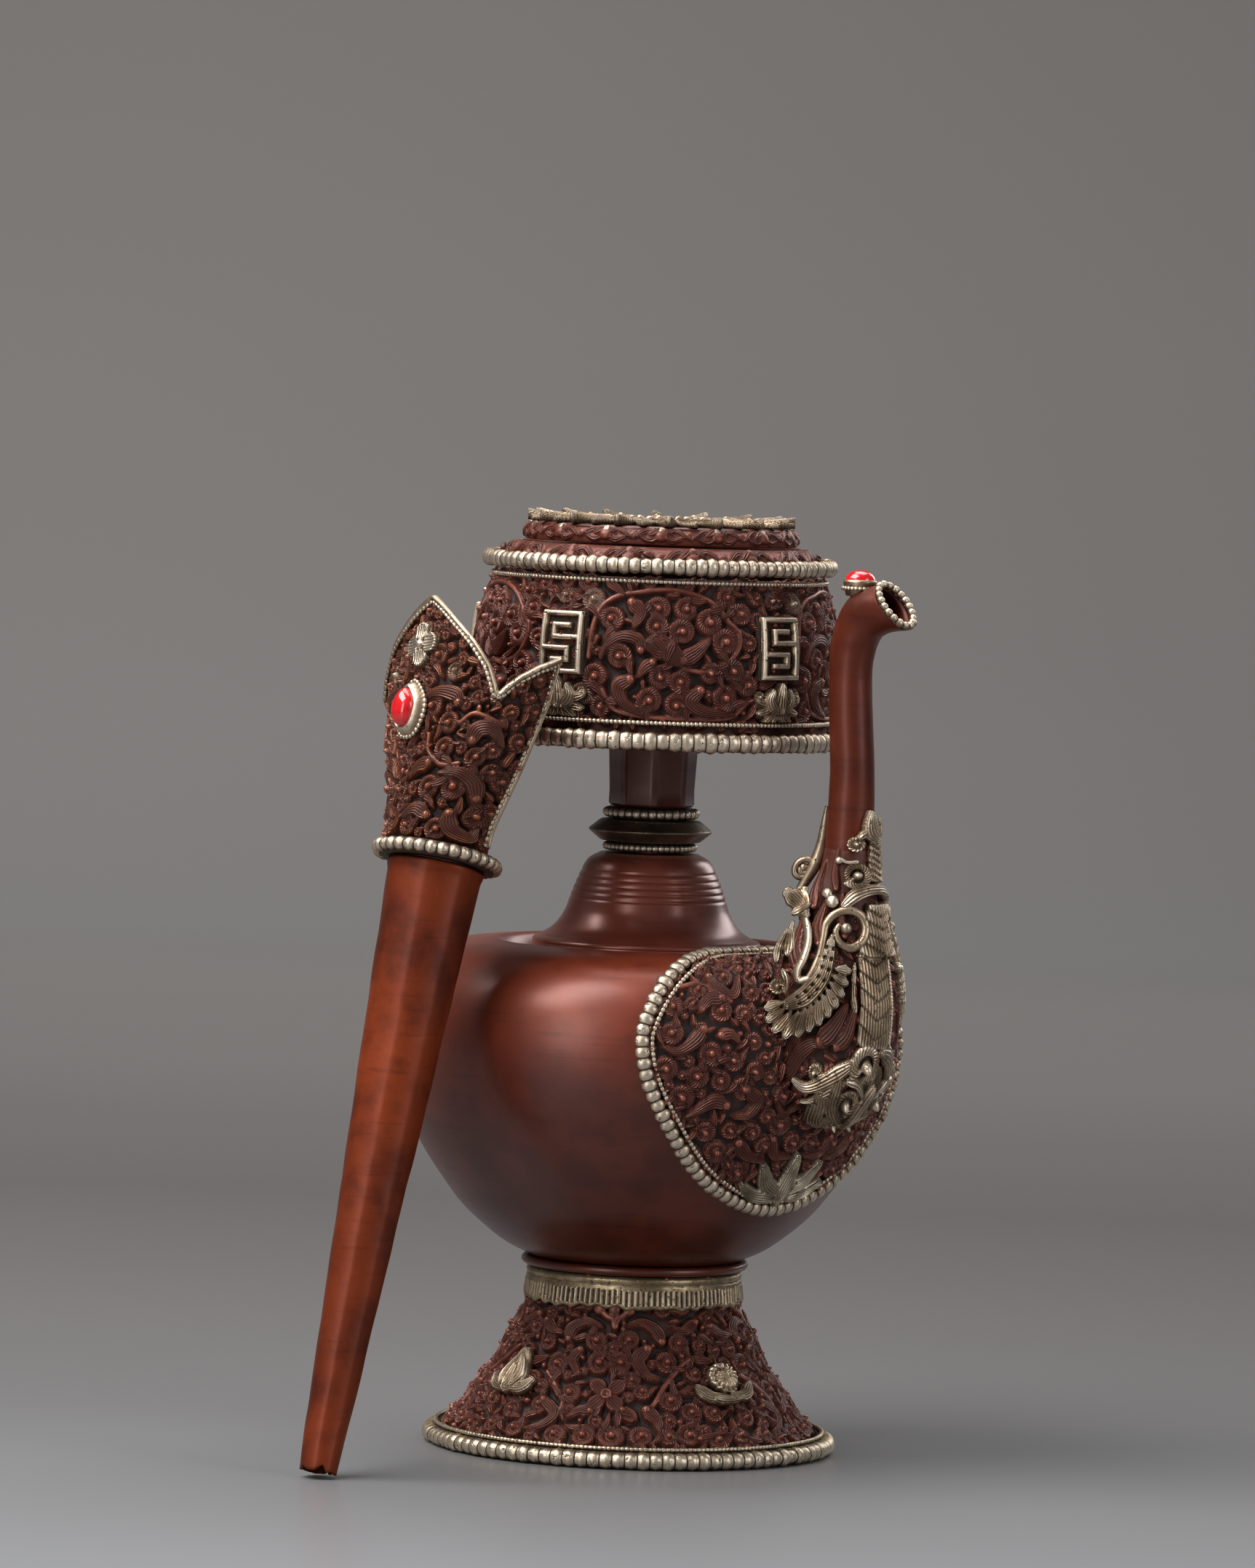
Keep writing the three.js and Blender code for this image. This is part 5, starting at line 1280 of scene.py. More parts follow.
# Places by turn and share of the tier's height, then width and height.
LID_LEAVES = [
    ([(-1.5, 0.62), (-6, 0.72), (-11.5, 0.3)], 2.1, 0.7), ([(-2, 0.3), (-5, 0.2), (-10, 0.42)], 1.5, 0.5),
    ([(1.5, 0.62), (6, 0.72), (11.5, 0.3)], 2.1, 0.7), ([(2, 0.3), (5, 0.2), (10, 0.42)], 1.5, 0.5),
    ([(-4.4, 0.5), (0, 0.78), (4.4, 0.5)], 1.7, 0.85),
]


def make_lid():
    lower = Turned([(0.97, 0), (0.99, 0.12), (1, 0.3), (0.985, 0.6), (0.95, 0.85), (0.9, 1)],
                   radius=35.4, height=6.2, base=200.05)
    upper = Turned([(1, 0), (1.005, 0.3), (0.99, 0.62), (0.965, 0.85), (0.93, 1)],
                   radius=31.2, height=4.1, base=206.3)
    for name, face, size, first in (("lid_lower_tier", lower, 1.0, 12), ("lid_upper_tier", upper, 0.85, 0)):
        cell = 0.24
        turns, runs = turns_and_runs(face, (0, face.length), cell, PLAQUE_TURN, 1)
        carving = Carving(turns, runs, face.span, ground=0.0, seed=15)
        tall = face.length
        for k in range(15):
            turn = first + 24 * k
            for places, width, top in LID_LEAVES:
                carving.leaf([(turn + x, y * tall) for x, y in places], width * size, top)
            carving.bud(turn, 0.44 * tall, 1.7 * size, 0.85)
            carving.bud(turn, 0.74 * tall, 1.2 * size, 0.85, 0.8 if face is upper else 0.0)
            carving.bud(turn + 12, 0.55 * tall, 1.1 * size, 0.5)
        carving.laid[:] = 1
        carving.finish(cell, 0)
        outer = face.at(turns[None], runs[:, None], carving.high - 0.35)
        inner = face.at(turns[None], runs[[0, -1]][:, None], -2.0)
        piece(name, "lid", wall(outer, inner, carving.marks(), True), LID_COPPER)
    plate = [(12, 209.2), (12, 210.35), (12.3, 210.5), (28.8, 210.5), (29.6, 210.2), (29.6, 208)]
    turned_piece("lid_top_plate", "lid", plate, NECK_COPPER, soft=0.2)
    make_rosette()
    for k in range(4):
        make_screw(k)


# Turn aside, radii, width and height.
ROSETTE_LEAVES = [
    (11.25, (20, 25, 30), 5.6, 0.75), (0, (17.5, 23.5, 30.2), 6.4, 0.95),
    (5, (14.6, 16.6, 19), 3.2, 1.0), (16, (14.6, 16.6, 19), 3.2, 1.0),
]


def make_rosette():
    """Silver lotus flower lying on the lid round its hole."""
    radii = np.linspace(13, 30.4, 84)
    columns = 660
    turns = even_turns(columns)
    carving = Carving(turns, radii, lambda radius, a, b: radius * (b - a) * DEG, ground=0.0, seed=21)
    for k in range(16):
        turn = 22.5 * k
        for aside, places, width, top in ROSETTE_LEAVES:
            carving.leaf([(turn + aside, radius) for radius in places], width, top)
        carving.bud(turn, 22.0, 1.1, 1.15)
    for k in range(40):
        carving.bud(9 * k, 13.9, 1.0, 0.95)
    covered = cut_out(carving, 0.2)
    rise = read_share([(0, 0.2), (14, 0.3), (20, 0.1), (26, 0.5), (31, 1.3)], radii)[:, None]
    level = 210.8 + rise * (0.6 + 0.4 * np.cos(turns * 16 * DEG)) + 1.2 * carving.high
    front = polar(radii[:, None], turns * DEG, level)
    back = polar(radii[:, None], turns * DEG, 210.55)
    loop = np.append(np.arange(columns), 0)
    marks = {key: field[::-1, loop] for key, field in carving.marks().items()}
    plate = cut_plate(front[::-1, loop], back[::-1, loop], covered[::-1, loop], marks)
    piece("lid_silver_rosette", "lid_rosette", plate, SILVER)


def make_screw(k):
    """Slotted round screw head in the side of the lid."""
    node = f"lid_screw_{k + 1}"
    low, high = corners(node)
    centre = (low + high) / 2 - VASE_PLACE
    out = np.array([centre[0], centre[1], 0]) / np.hypot(centre[0], centre[1])
    side = np.array([-out[1], out[0], 0])
    rings, columns, radius = 12, 40, 1.3
    a = circle(columns)[:, None]
    rim = np.cos(a) * side + np.sin(a) * np.array([0, 0, 1])
    share = np.linspace(0, 1, rings)
    slot = np.abs(np.outer(share, np.sin(a + 0.5)) * radius) < 0.2
    height = 0.55 * dome(share * 0.94)[:, None] - 0.4 * slot
    foot = centre - out * 0.35
    head = foot + radius * (share[:, None, None] * rim) + out * (0.3 + height[..., None])
    points = np.concatenate([head.reshape(-1, 3), foot + radius * rim - out * 0.3])
    faces = [grid_faces(rings + 1, columns, False, True)]
    # Painted shade: the slot and the head's underside are darkened.
    marks = {"dirt": np.append(slot * 1.0, np.ones(columns))}
    piece(f"lid_slotted_screw_{k + 1}", node, (points, faces, marks), LID_COPPER)


# Spout

SPOUT_ROOT = 90.09
SPOUT_RISE = 195.0 - SPOUT_ROOT
# Reach, level, tilt in degrees, and half sizes in the spout's plane and across it; all but the tilt are
# shares of the sizes under them.
SPOUT_ROWS = np.array([
    (0.82, 0, 18, 2.5, 2.75), (0.93, 0.0186, 32, 2.6, 2.8), (1, 0.0892, 52, 2.45, 2.55),
    (1.025, 0.1822, 72, 2.1, 2.15), (1.015, 0.2844, 86, 1.65, 1.8), (1, 0.3866, 92, 1.35, 1.45),
    (0.995, 0.4981, 91, 1.12, 1.16), (0.995, 0.6468, 93, 1.02, 1.02), (0.97, 0.842, 92, 1, 1),
    (0.985, 0.9257, 68, 1.1, 1.02), (1.05, 0.9814, 38, 1.22, 1.02), (1.165, 0.9981, 40, 1.3, 0.98),
]) * (60, SPOUT_RISE, 1, 4.9, 4.9) + (0, SPOUT_ROOT, 0, 0, 0)
SPOUT_SHARES = np.linspace(0, 1, len(SPOUT_ROWS))


def spout_centre(run):
    """The middle of the spout, in reach and level, at a share of its run."""
    rows = SPOUT_ROWS[:, :2]
    rows = np.vstack([rows[0], rows, rows[-1]])
    place = limited(np.asarray(run, float)) * (len(SPOUT_ROWS) - 1)
    k = np.minimum(place.astype(int), len(SPOUT_ROWS) - 2)
    t = (place - k)[..., None]
    return spline(rows[k], rows[k + 1], rows[k + 2], rows[k + 3], t)


def on_spout(run, turn, lift=0.0):
    """A point on the spout's face: its run, its turn from outwards, and its lift."""
    run, turn, lift = np.broadcast_arrays(*(np.asarray(value, float) for value in (run, turn, lift)))
    tilt, in_plane, across = (np.interp(run, SPOUT_SHARES, SPOUT_ROWS[:, k]) for k in (2, 3, 4))
    centre = spout_centre(run)
    a = (in_plane + lift) * np.cos(turn * DEG)
    b = (across + lift) * np.sin(turn * DEG)
    tilt = tilt * DEG
    return np.stack([centre[..., 0] + a * np.sin(tilt), b, centre[..., 1] - a * np.cos(tilt)], -1)


def make_spout():
    rng = np.random.default_rng(31)
    rows, columns, deepest = 170, 72, 0.22
    runs = np.linspace(0.5, 1, rows)[:, None]
    turns = even_turns(columns)[None]
    dents = blurred(rng.normal(0, 1, (rows, columns)), 5, True)
    dents = dents / np.abs(dents).max() * deepest * limited((1 - runs) / 0.1) * limited((runs - 0.54) / 0.05)
    sunk = read_share([(0, 0.6), (0.5, 0.6), (0.54, 0.03), (1, 0)], runs)
    outer = on_spout(runs, turns, dents - 0.02 - sunk)
    inner = on_spout(runs[::8], turns, -1.1)
    # Darker in its dents: tarnish, and painted shade.
    marks = {"dirt": limited(-dents / deepest) * 0.3}
    piece("spout_copper_tube", "spout_tube", turned_over(wall(outer, inner, marks, True)), SPOUT_COPPER)
    mouth = on_spout(1, even_turns(240), -0.55)
    tilt = SPOUT_ROWS[-1, 2] * DEG
    forward = np.array([math.cos(tilt), 0, math.sin(tilt)])
    ups = np.tile(forward, (len(mouth), 1))
    ring = beads(mouth + forward * 0.9, ups, 1.7, 0.9, 0.95, seed=6)
    piece("spout_mouth_bead_ring", "spout_mouth_beads", ring, SILVER)
    make_spout_stone()


def make_spout_stone():
    """Coral cabochon where the spout bends, in a round bezel with a fine bead ring."""
    low, high = corners("spout_bezel")
    x, y = ((low + high) / 2 - VASE_PLACE)[:2]
    radius, base, top = (high[0] - low[0]) / 2, low[2] + 0.6, high[2]
    outline = [(0.05, base), (radius * 0.8, base), (radius * 0.92, top - 1.2), (radius, top),
               (radius * 0.9, top + 0.5), (radius * 0.86, top + 0.2), (0.05, top - 0.1)]
    fine = beads(*ring_path(radius, top - 1.5, 160), 0.95, 0.42, 0.5, seed=8, sides=8)
    bezel = joined(marked(lathe(rounded(outline, 0.25), 72)), fine)
    piece("spout_silver_bezel", "spout_bezel", moved(bezel, (x, y, 0)), SILVER)
    low, high = corners("spout_stone")
    radius, base, rise = (high[0] - low[0]) / 2, low[2] - 0.4, high[2] - low[2] + 0.7
    angles = np.linspace(0, math.pi / 2, 14)[:-1]
    outline = [(radius * math.cos(t) ** 0.8, base + rise * math.sin(t)) for t in angles]
    stone = lathe([(0.05, base), *outline, (0.05, base + rise)], 64)
    piece("spout_coral", "spout_stone", moved(stone, (x, y, 0)), CORAL)


# Makara that holds the spout

ARC_RUNS = np.linspace(0, 0.7, 701)
ARC_LENGTHS = lengths_along(spout_centre(ARC_RUNS))


def spout_swell(turn, length):
    """How far the makara's head swells the spout's face on each side of it."""
    aside = np.abs((np.asarray(turn, float) + 180) % 360 - 180)
    length = np.asarray(length, float)
    cheek = np.exp(-(((aside - 114) / 34) ** 2) - ((length - 29) / 12.5) ** 2)
    brow = np.exp(-(((aside - 125) / 30) ** 2) - ((length - 45) / 6) ** 2)
    return 6.0 * cheek + 1.8 * brow


class SpoutFace:
    """The spout's face, read by turn (degrees), length along its middle (mm) and lift (mm)."""

    @staticmethod
    def at(turn, length, lift=0.0):
        return on_spout(np.interp(length, ARC_LENGTHS, ARC_RUNS), turn, lift + spout_swell(turn, length))

    @staticmethod
    def span(length, turn_a, turn_b):
        run = np.interp(length, ARC_LENGTHS, ARC_RUNS)
        radius = np.interp(run, SPOUT_SHARES, SPOUT_ROWS[:, 3:].mean(axis=1))
        return radius * (turn_b - turn_a) * DEG


def spout_carving(turns, lengths, cell, seed, ground=0.0, wraps=False):
    per = float(SpoutFace.span(np.mean(lengths), 0, 1))
    columns = round((turns[1] - turns[0]) * per / cell)
    spread = np.linspace(*turns, columns, endpoint=not wraps)
    rows = np.linspace(*lengths, round((lengths[1] - lengths[0]) / cell))
    return Carving(spread, rows, SpoutFace.span, ground, seed, wraps)


def silver_on_spout(name, node, carving):
    silver_plate(name, node, SpoutFace, carving, SILVER_CELL, 0.5, -0.7)


SILVER_CELL = 0.15
CREST_PANEL = [(-4, 59.8), (48, 61.2), (56, 56.1), (30, 49.1), (-7, 49.6)]
NECK_PANEL = [(-15, 45), (42, 45), (32, 34.2), (-38, 34)]
STRIP_PANEL = [(-37, 34.2), (9, 34.2), (9, 18.8), (-33, 18.8)]


def make_crest():
    carving = spout_carving((-80, 80), (43.6, 66), SILVER_CELL, 51)
    carving.panel(CREST_PANEL, 1.0, chevrons=1.5)
    carving.leaf([(10, 59.4), (-2, 61.6), (-6, 65.2)], 4.8, 1.7, blunt=0.6)
    carving.leaf([(28, 60.2), (30, 62.0), (26, 63.6)], 3.0, 1.3)
    carving.curl(-36, 58.1, 1.9, 1, 0.5, 1.3, 1, 1.6)
    carving.leaf([(-28, 59.6), (-12, 60.4), (2, 58.6)], 2.0, 1.2)
    carving.bud(-66, 54.4, 0.9, 1.3)
    carving.curl(-33, 51.1, 3.2, -1, 2.6, 1.5, 1, 1.6)
    carving.ridge([(-33, 54.2), (-50, 54.0), (-60, 54.6)], 1.1, 1.2)
    carving.leaf([(-54, 44.6), (-34, 46.9), (-6, 47.9), (24, 47.6), (52, 45.6)], 2.9, 1.6, blunt=0.3)
    silver_on_spout("makara_silver_crest", "makara_crest", carving)


def make_strip():
    carving = spout_carving((-46, 50), (18.2, 46), SILVER_CELL, 52)
    carving.panel(NECK_PANEL, 1.5, chevrons=2.6)
    carving.panel(STRIP_PANEL, 1.0, chevrons=3.1)
    for k in range(26):
        carving.bud(9.6, 19.2 + 0.58 * k, 0.42, 1.15)
    carving.leaf([(-40, 24.5), (-44, 27.5), (-41, 33)], 1.7, 1.0)
    silver_on_spout("makara_silver_spine", "makara_spine", carving)


def make_mask():
    carving = spout_carving((-84, 70), (0.6, 20.5), SILVER_CELL, 53)
    carving.leaf([(0, -1.4), (0, 6), (0, 13.5)], 15, 0.75, blunt=0.3)
    for way in (-1, 1):
        carving.leaf([(way * 46, 8.6), (way * 30, 3.8), (way * 12, 1.6)], 4.2, 1.2, blunt=0.4)
        carving.leaf([(way * 38, 12.8), (way * 30, 8.2), (way * 8, 5.2)], 3.0, 1.3, blunt=0.4)
        carving.curl(way * 19, 9.4, 2.7, way, 1.0, 1.7, 1, 1.5)
        carving.leaf([(way * 30, 13.4), (way * 18, 13.2), (way * 6, 11.2)], 1.8, 1.8)
        carving.curl(way * 9, 4.4, 1.5, -way, 2.0, 1.9, 1, 1.2)
    carving.leaf([(0, 12.8), (-2, 9.0), (0, 5.0)], 3.2, 2.1, blunt=0.3)
    carving.curl(-16, 16.2, 3.6, 1, 4.0, 1.8, 1, 1.6)
    carving.leaf([(2, 18.6), (16, 17.0), (22, 12.6)], 3.6, 1.4)
    carving.leaf([(-34, 15.6), (-46, 12.4), (-60, 8.4), (-74, 7.4)], 3.4, 1.4, blunt=0.4)
    carving.leaf([(-32, 12.6), (-42, 9.6), (-54, 5.4)], 2.6, 1.1)
    carving.curl(-62, 11.4, 1.7, -1, 0.0, 1.1, 1)
    carving.leaf([(34, 15.0), (46, 11.8), (60, 7.8)], 3.2, 1.2, blunt=0.4)
    for x in (-8, 0, 8):
        carving.bud(x, 2.8, 1.0, 1.3)
    silver_on_spout("makara_silver_mask", "makara_mask", carving)


# Places on the makara's side are steps aside and down from a corner of the photograph's pixels, as the camera
# sees them. The side is carved flat, in mm, and then laid where the camera sees those places on the spout.
STEPS_PER_MM = 20.14
SIDE_CORNER = (1030, 1090)
STEPS_PER_PIXEL = 3.265


EYE, AHEAD, ASIDE, ABOVE = (np.array(v) for v in (CAMERA_PLACE, CAMERA_FORWARD, CAMERA_SIDE, CAMERA_UP))


def seen_steps(places):
    """Steps aside and down at which the camera sees places of the vase, and how far away they are."""
    off = places + VASE_PLACE - EYE
    far = off @ AHEAD
    across = PHOTO_WIDTH / 2 + CAMERA_FOCUS * (off @ ASIDE) / far - SIDE_CORNER[0]
    down = PHOTO_HEIGHT / 2 - CAMERA_FOCUS * (off @ ABOVE) / far - SIDE_CORNER[1]
    return across * STEPS_PER_PIXEL, down * STEPS_PER_PIXEL, far


MAP_STEP = 4
MAP_SIZE = 320


def keep_nearest(depths, places):
    """Puts how far away places are into the cells where the camera sees them, if nothing nearer is there."""
    across, down, far = (a.ravel() for a in seen_steps(places))
    column, row = (np.floor(a / MAP_STEP).astype(int) for a in (across, down))
    inside = (column > 0) & (column < MAP_SIZE - 1) & (row > 0) & (row < MAP_SIZE - 1)
    for shift in range(9):
        np.minimum.at(depths, (row[inside] + shift // 3 - 1, column[inside] + shift % 3 - 1), far[inside])


def spout_depths():
    """How far off the camera sees the spout's face, over a grid of steps, and its spread beside it."""
    depths = np.full((MAP_SIZE, MAP_SIZE), FAR_OFF)
    keep_nearest(depths, SpoutFace.at(np.arange(-179, 181, 0.8)[None], np.arange(0, 66, 0.16)[:, None]))
    known = depths < FAR_OFF
    depths = np.where(known, depths, 0)
    weight = known * 1.0
    for _ in range(140):
        near_sum = sum(np.roll(depths * (weight > 0), way, axis) for axis in (0, 1) for way in (1, -1))
        near_count = sum(np.roll((weight > 0) * 1.0, way, axis) for axis in (0, 1) for way in (1, -1))
        fresh = (weight == 0) & (near_count > 0)
        depths = np.where(fresh, near_sum / np.maximum(near_count, 1), depths)
        weight = weight + fresh
    keep_nearest(depths, BOWL.at(np.arange(-110, 30, 0.35)[None], np.arange(10, 100, 0.25)[:, None], 1.4))
    return blurred(depths, 2.5, False)


SPOUT_DEPTHS = spout_depths()


def seen_place(x, y, lift=0.0):
    """The place on the spout's face that the camera sees at these steps, or one level with its outline."""
    x, y = np.broadcast_arrays(np.asarray(x, float), np.asarray(y, float))
    column, row = (np.clip(a / MAP_STEP - 0.5, 0, MAP_SIZE - 1.001) for a in (x, y))
    i, j = row.astype(int), column.astype(int)
    a, b = row - i, column - j
    depth = ((1 - a) * ((1 - b) * SPOUT_DEPTHS[i, j] + b * SPOUT_DEPTHS[i, j + 1])
             + a * ((1 - b) * SPOUT_DEPTHS[i + 1, j] + b * SPOUT_DEPTHS[i + 1, j + 1])) - lift
    px = (SIDE_CORNER[0] + x / STEPS_PER_PIXEL - PHOTO_WIDTH / 2) / CAMERA_FOCUS
    py = (SIDE_CORNER[1] + y / STEPS_PER_PIXEL - PHOTO_HEIGHT / 2) / CAMERA_FOCUS
    ray = AHEAD + px[..., None] * ASIDE - py[..., None] * ABOVE
    return EYE + depth[..., None] * ray - VASE_PLACE


def side_spot(x, y):
    """Steps as millimetres of the side's carving."""
    return x / STEPS_PER_MM, -y / STEPS_PER_MM


RUFFLE_OUTER = [(440, 800), (415, 900), (355, 990), (262, 1062), (170, 1092), (98, 1045), (84, 965)]
RUFFLE_INNER = [(388, 790), (350, 880), (290, 945), (220, 985), (170, 980), (150, 960), (150, 940)]
JAW_LINE = [(176, 950), (250, 915), (322, 835), (352, 745), (372, 650)]
STRAP_LINE = [(240, 545), (262, 610), (262, 680), (240, 750), (215, 800), (222, 842), (262, 838)]
WHISKER_LINE = [
    (262, 838), (290, 790), (318, 720), (332, 650), (345, 590), (385, 545), (445, 528), (500, 552),
    (522, 610), (506, 668), (455, 698), (408, 676), (388, 628), (408, 590),
]
# Width, height, bluntness and places.
SIDE_LEAVES = [
    (2.2, 1.2, 0.5, [(150, 800), (165, 850), (160, 905)]),
    (2.4, 1.3, 0.5, [(122, 750), (132, 690), (172, 610)]),
    (2.8, 1.4, 0.5, [(170, 720), (182, 650), (196, 575)]),
    (5.2, 2.0, 0.45, [(176, 452), (212, 484), (262, 548)]),
    (2.6, 2.4, 0.5, [(200, 540), (232, 520), (268, 500)]),
]


def flat_span(level, start, end):
    return end - start + 0 * np.asarray(level, float)


def side_carving():
    """Knob, strap, dotted jaw, ruffle and small scrolls, carved flat."""
    left, low = side_spot(60, 1120)
    right, high = side_spot(520, 420)
    turns, levels = np.arange(left, right, SILVER_CELL), np.arange(low, high, SILVER_CELL)
    carving = Carving(turns, levels, flat_span, ground=0.0, wraps=False, seed=54)

    def line(places):
        return [side_spot(*place) for place in places]

    outer, inner = (smooth_line(line(places), 12) for places in (RUFFLE_OUTER, RUFFLE_INNER))
    for a, b in zip(outer, inner):
        carving.leaf([tuple(a), tuple((a + b) / 2), tuple(b)], 3.3, 2.1, blunt=0.5)
    carving.leaf(line(JAW_LINE), 5.2, 2.0, blunt=0.4)
    carving.ridge(line(STRAP_LINE), 2.1, 1.7)
    carving.curl(*side_spot(125, 868), 2.0, 1, 0.6, 1.4, 1, 1.4)
    for width, top, blunt, places in SIDE_LEAVES:
        carving.leaf(line(places), width, top, blunt=blunt)
    carving.ridge(line([(262, 400), (246, 440), (262, 500)]), 1.9, 1.5)
    carving.bud(*side_spot(372, 488), 1.6, 1.8)
    carving.bud(*side_spot(350, 452), 1.3, 1.7)
    jaw = smooth_line(line(JAW_LINE), 9)
    for place, nearer in zip(jaw[1:], jaw):
        along = (place - nearer) / np.linalg.norm(place - nearer)
        for off in (-0.75, 0.75):
            carving.hole(*(place + off * np.array([-along[1], along[0]])), 0.42, 0.75)
    return carving


def make_side(side, node):
    """Silver side of the makara with its whisker and stud; side -1 faces the camera."""
    carving = side_carving()
    covered = cut_out(carving, SILVER_CELL)
    x, y = carving.turns[None] * STEPS_PER_MM, -carving.levels[:, None] * STEPS_PER_MM
    front = seen_place(x, y, 0.4 + np.maximum(carving.high, 0.05))
    plate = cut_plate(front, seen_place(x, y, -0.8), covered, carving.marks())
    path = smooth_line([seen_place(px, py, 1.0) for px, py in WHISKER_LINE], 120)
    share = np.linspace(0, 1, len(path))
    radius = read_share([(0, 0.85), (0.25, 0.85), (0.5, 1.05), (0.8, 1.1), (1, 0.65)], share)
    whisker = tube(path, np.tile(-AHEAD, (len(path), 1)), radius, radius, 14)
    # Painted highlight, with wear: the whisker is lighter on its side facing the camera.
    whisker = (*whisker, {"wear": np.tile(limited(np.cos(circle(14))) * 0.35, len(path))})
    outline = [(0.01 + 1.3 * math.sin(a), 1.3 * math.cos(a)) for a in np.linspace(0, math.pi, 12)]
    stud = lathe(outline + [(0.001, 0)], 24)
    stud = marked(moved(stud, seen_place(435, 610, 1.0)), wear=0.5)
    shape = joined(plate, whisker, stud)
    if side > 0:
        shape = turned_over((shape[0] * (1, -1, 1), *shape[1:]))
    piece(f"makara_silver_{node.split('_', 1)[1]}", node, shape, SILVER)


FIN_ROWS = [(66.3, 0.1), (60.3, 0.35), (56.3, 0.7), (52.6, 1.3), (50.0, 1.9), (47.5, 2.3)]


def make_fin(side, node):
    """Silver fin behind the spout: a ribbon that bends away from it into a scroll."""
    turn = 138 * side
    lengths, lifts = smooth_line(FIN_ROWS, 60).T
    path = SpoutFace.at(turn, lengths, lifts)
    out = SpoutFace.at(turn, lengths, lifts + 1) - path
    wide = read_share([(0, 0.45), (0.2, 0.9), (0.7, 1.5), (1, 1.1)], np.linspace(0, 1, len(path)))
    ribbon = tube(path, out, wide, wide * 1.1, 12)
    a = np.linspace(-1.2, FULL_TURN * 1.25, 70)
    reach = read_share([(0, 2.2), (0.6, 1.8), (1, 0.7)], np.linspace(0, 1, len(a)))
    path = SpoutFace.at(turn, 52.4 - reach * np.cos(a), 3.4 + reach * np.sin(a))
    across = np.tile(SpoutFace.at(turn + 90, 52.6, 0) - SpoutFace.at(turn + 90, 52.6, -1), (len(path), 1))
    scroll = tube(path, across, 1.0, 0.72, 12)
    ball = lathe([(0.01 + 1.1 * math.sin(b), 1.1 * math.cos(b)) for b in np.linspace(0, math.pi, 10)], 20)
    ball = moved(ball, SpoutFace.at(turn, 52.4, 3.4))
    shape = joined(*(marked(part, wear=0.35) for part in (ribbon, scroll, ball)))
    piece(f"makara_silver_{node.split('_', 1)[1]}", node, shape, SILVER)


FLAME_LEAVES = [
    ([(-118, 6), (-122, 14), (-116, 22), (-104, 27)], 5.0), ([(-96, 5), (-100, 12), (-92, 17)], 5.0),
    ([(-84, 4.4), (-86, 11), (-76, 15.6), (-64, 16.4)], 5.2), ([(-70, 16.8), (-60, 20.4), (-50, 25)], 4.4),
    ([(-92, 20), (-80, 23), (-66, 24)], 3.6), ([(-52, 17.4), (-44, 20), (-40, 24.6)], 3.4),
    ([(-140, 8), (-146, 16), (-142, 26)], 5.6), ([(-160, 8), (-168, 16), (-164, 28)], 6.0),
    ([(-128, 26), (-136, 32), (-138, 39)], 3.2), ([(-100, 30), (-110, 35), (-112, 41)], 3.0),
    ([(-62, 28), (-70, 34), (-66, 40)], 3.0), ([(-84, 36), (-90, 40), (-84, 45)], 2.6),
    ([(-54, 38), (-60, 42), (-58, 47)], 2.4), ([(-100, 44), (-108, 49), (-104, 54)], 2.2),
    ([(-70, 48), (-76, 52), (-72, 57)], 1.8),
]
FLAME_CURLS = [(-74, 10, 1.5), (-108, 28.5, 1.7), (-82, 28.8, 1.4), (-150, 30, 1.6), (-64, 33, 1.3)]


def make_flames():
    """Copper flame leaves of the spout's root, under the silver."""
    cell = 0.2
    carving = spout_carving((-180, 180), (0.4, 60), cell, 55, ground=-0.1, wraps=True)
    for side in (1, -1):
        for places, width in FLAME_LEAVES:
            spots = [(-side * turn, length) for turn, length in places]
            carving.leaf(spots, width, 1.15, head=0.24 * width, blunt=0.45)
        for turn, length, radius in FLAME_CURLS:
            carving.curl(-side * turn, length, radius, side, 0.8, 1.0)
    carving.fill(0.7, 1.7, 900, (-180, 180), (0.8, 44), 0.8, 0.4)
    carving.finish(cell, 0.4)
    fade = read_share([(0, 1), (44, 1), (55, 0.35), (60, 0)], carving.levels)[:, None]
    dive = read_share([(0, 0), (56, 0), (60, 0.5)], carving.levels)[:, None]
    lift = np.maximum(carving.high - 0.15, -0.6) * fade + 0.02 - dive
    for field in (carving.dirt, carving.wear, carving.lined):
        field *= fade
    turns = carving.turns[None]
    outer = SpoutFace.at(turns, carving.levels[:, None], lift)
    inner = SpoutFace.at(turns, carving.levels[::12, None], -1.0)
    piece("spout_flame_leaves", "spout_tube", turned_over(wall(outer, inner, carving.marks(), True)), MAKARA)


def make_makara():
    make_flames()
    make_crest()
    make_strip()
    make_mask()
    for name in ("left", "right"):
        for make, node in ((make_side, f"makara_side_{name}"), (make_fin, f"makara_fin_{name}")):
            make(1 if middle(node)[1] > AXIS_Y else -1, node)


# Scroll plaque on the bowl

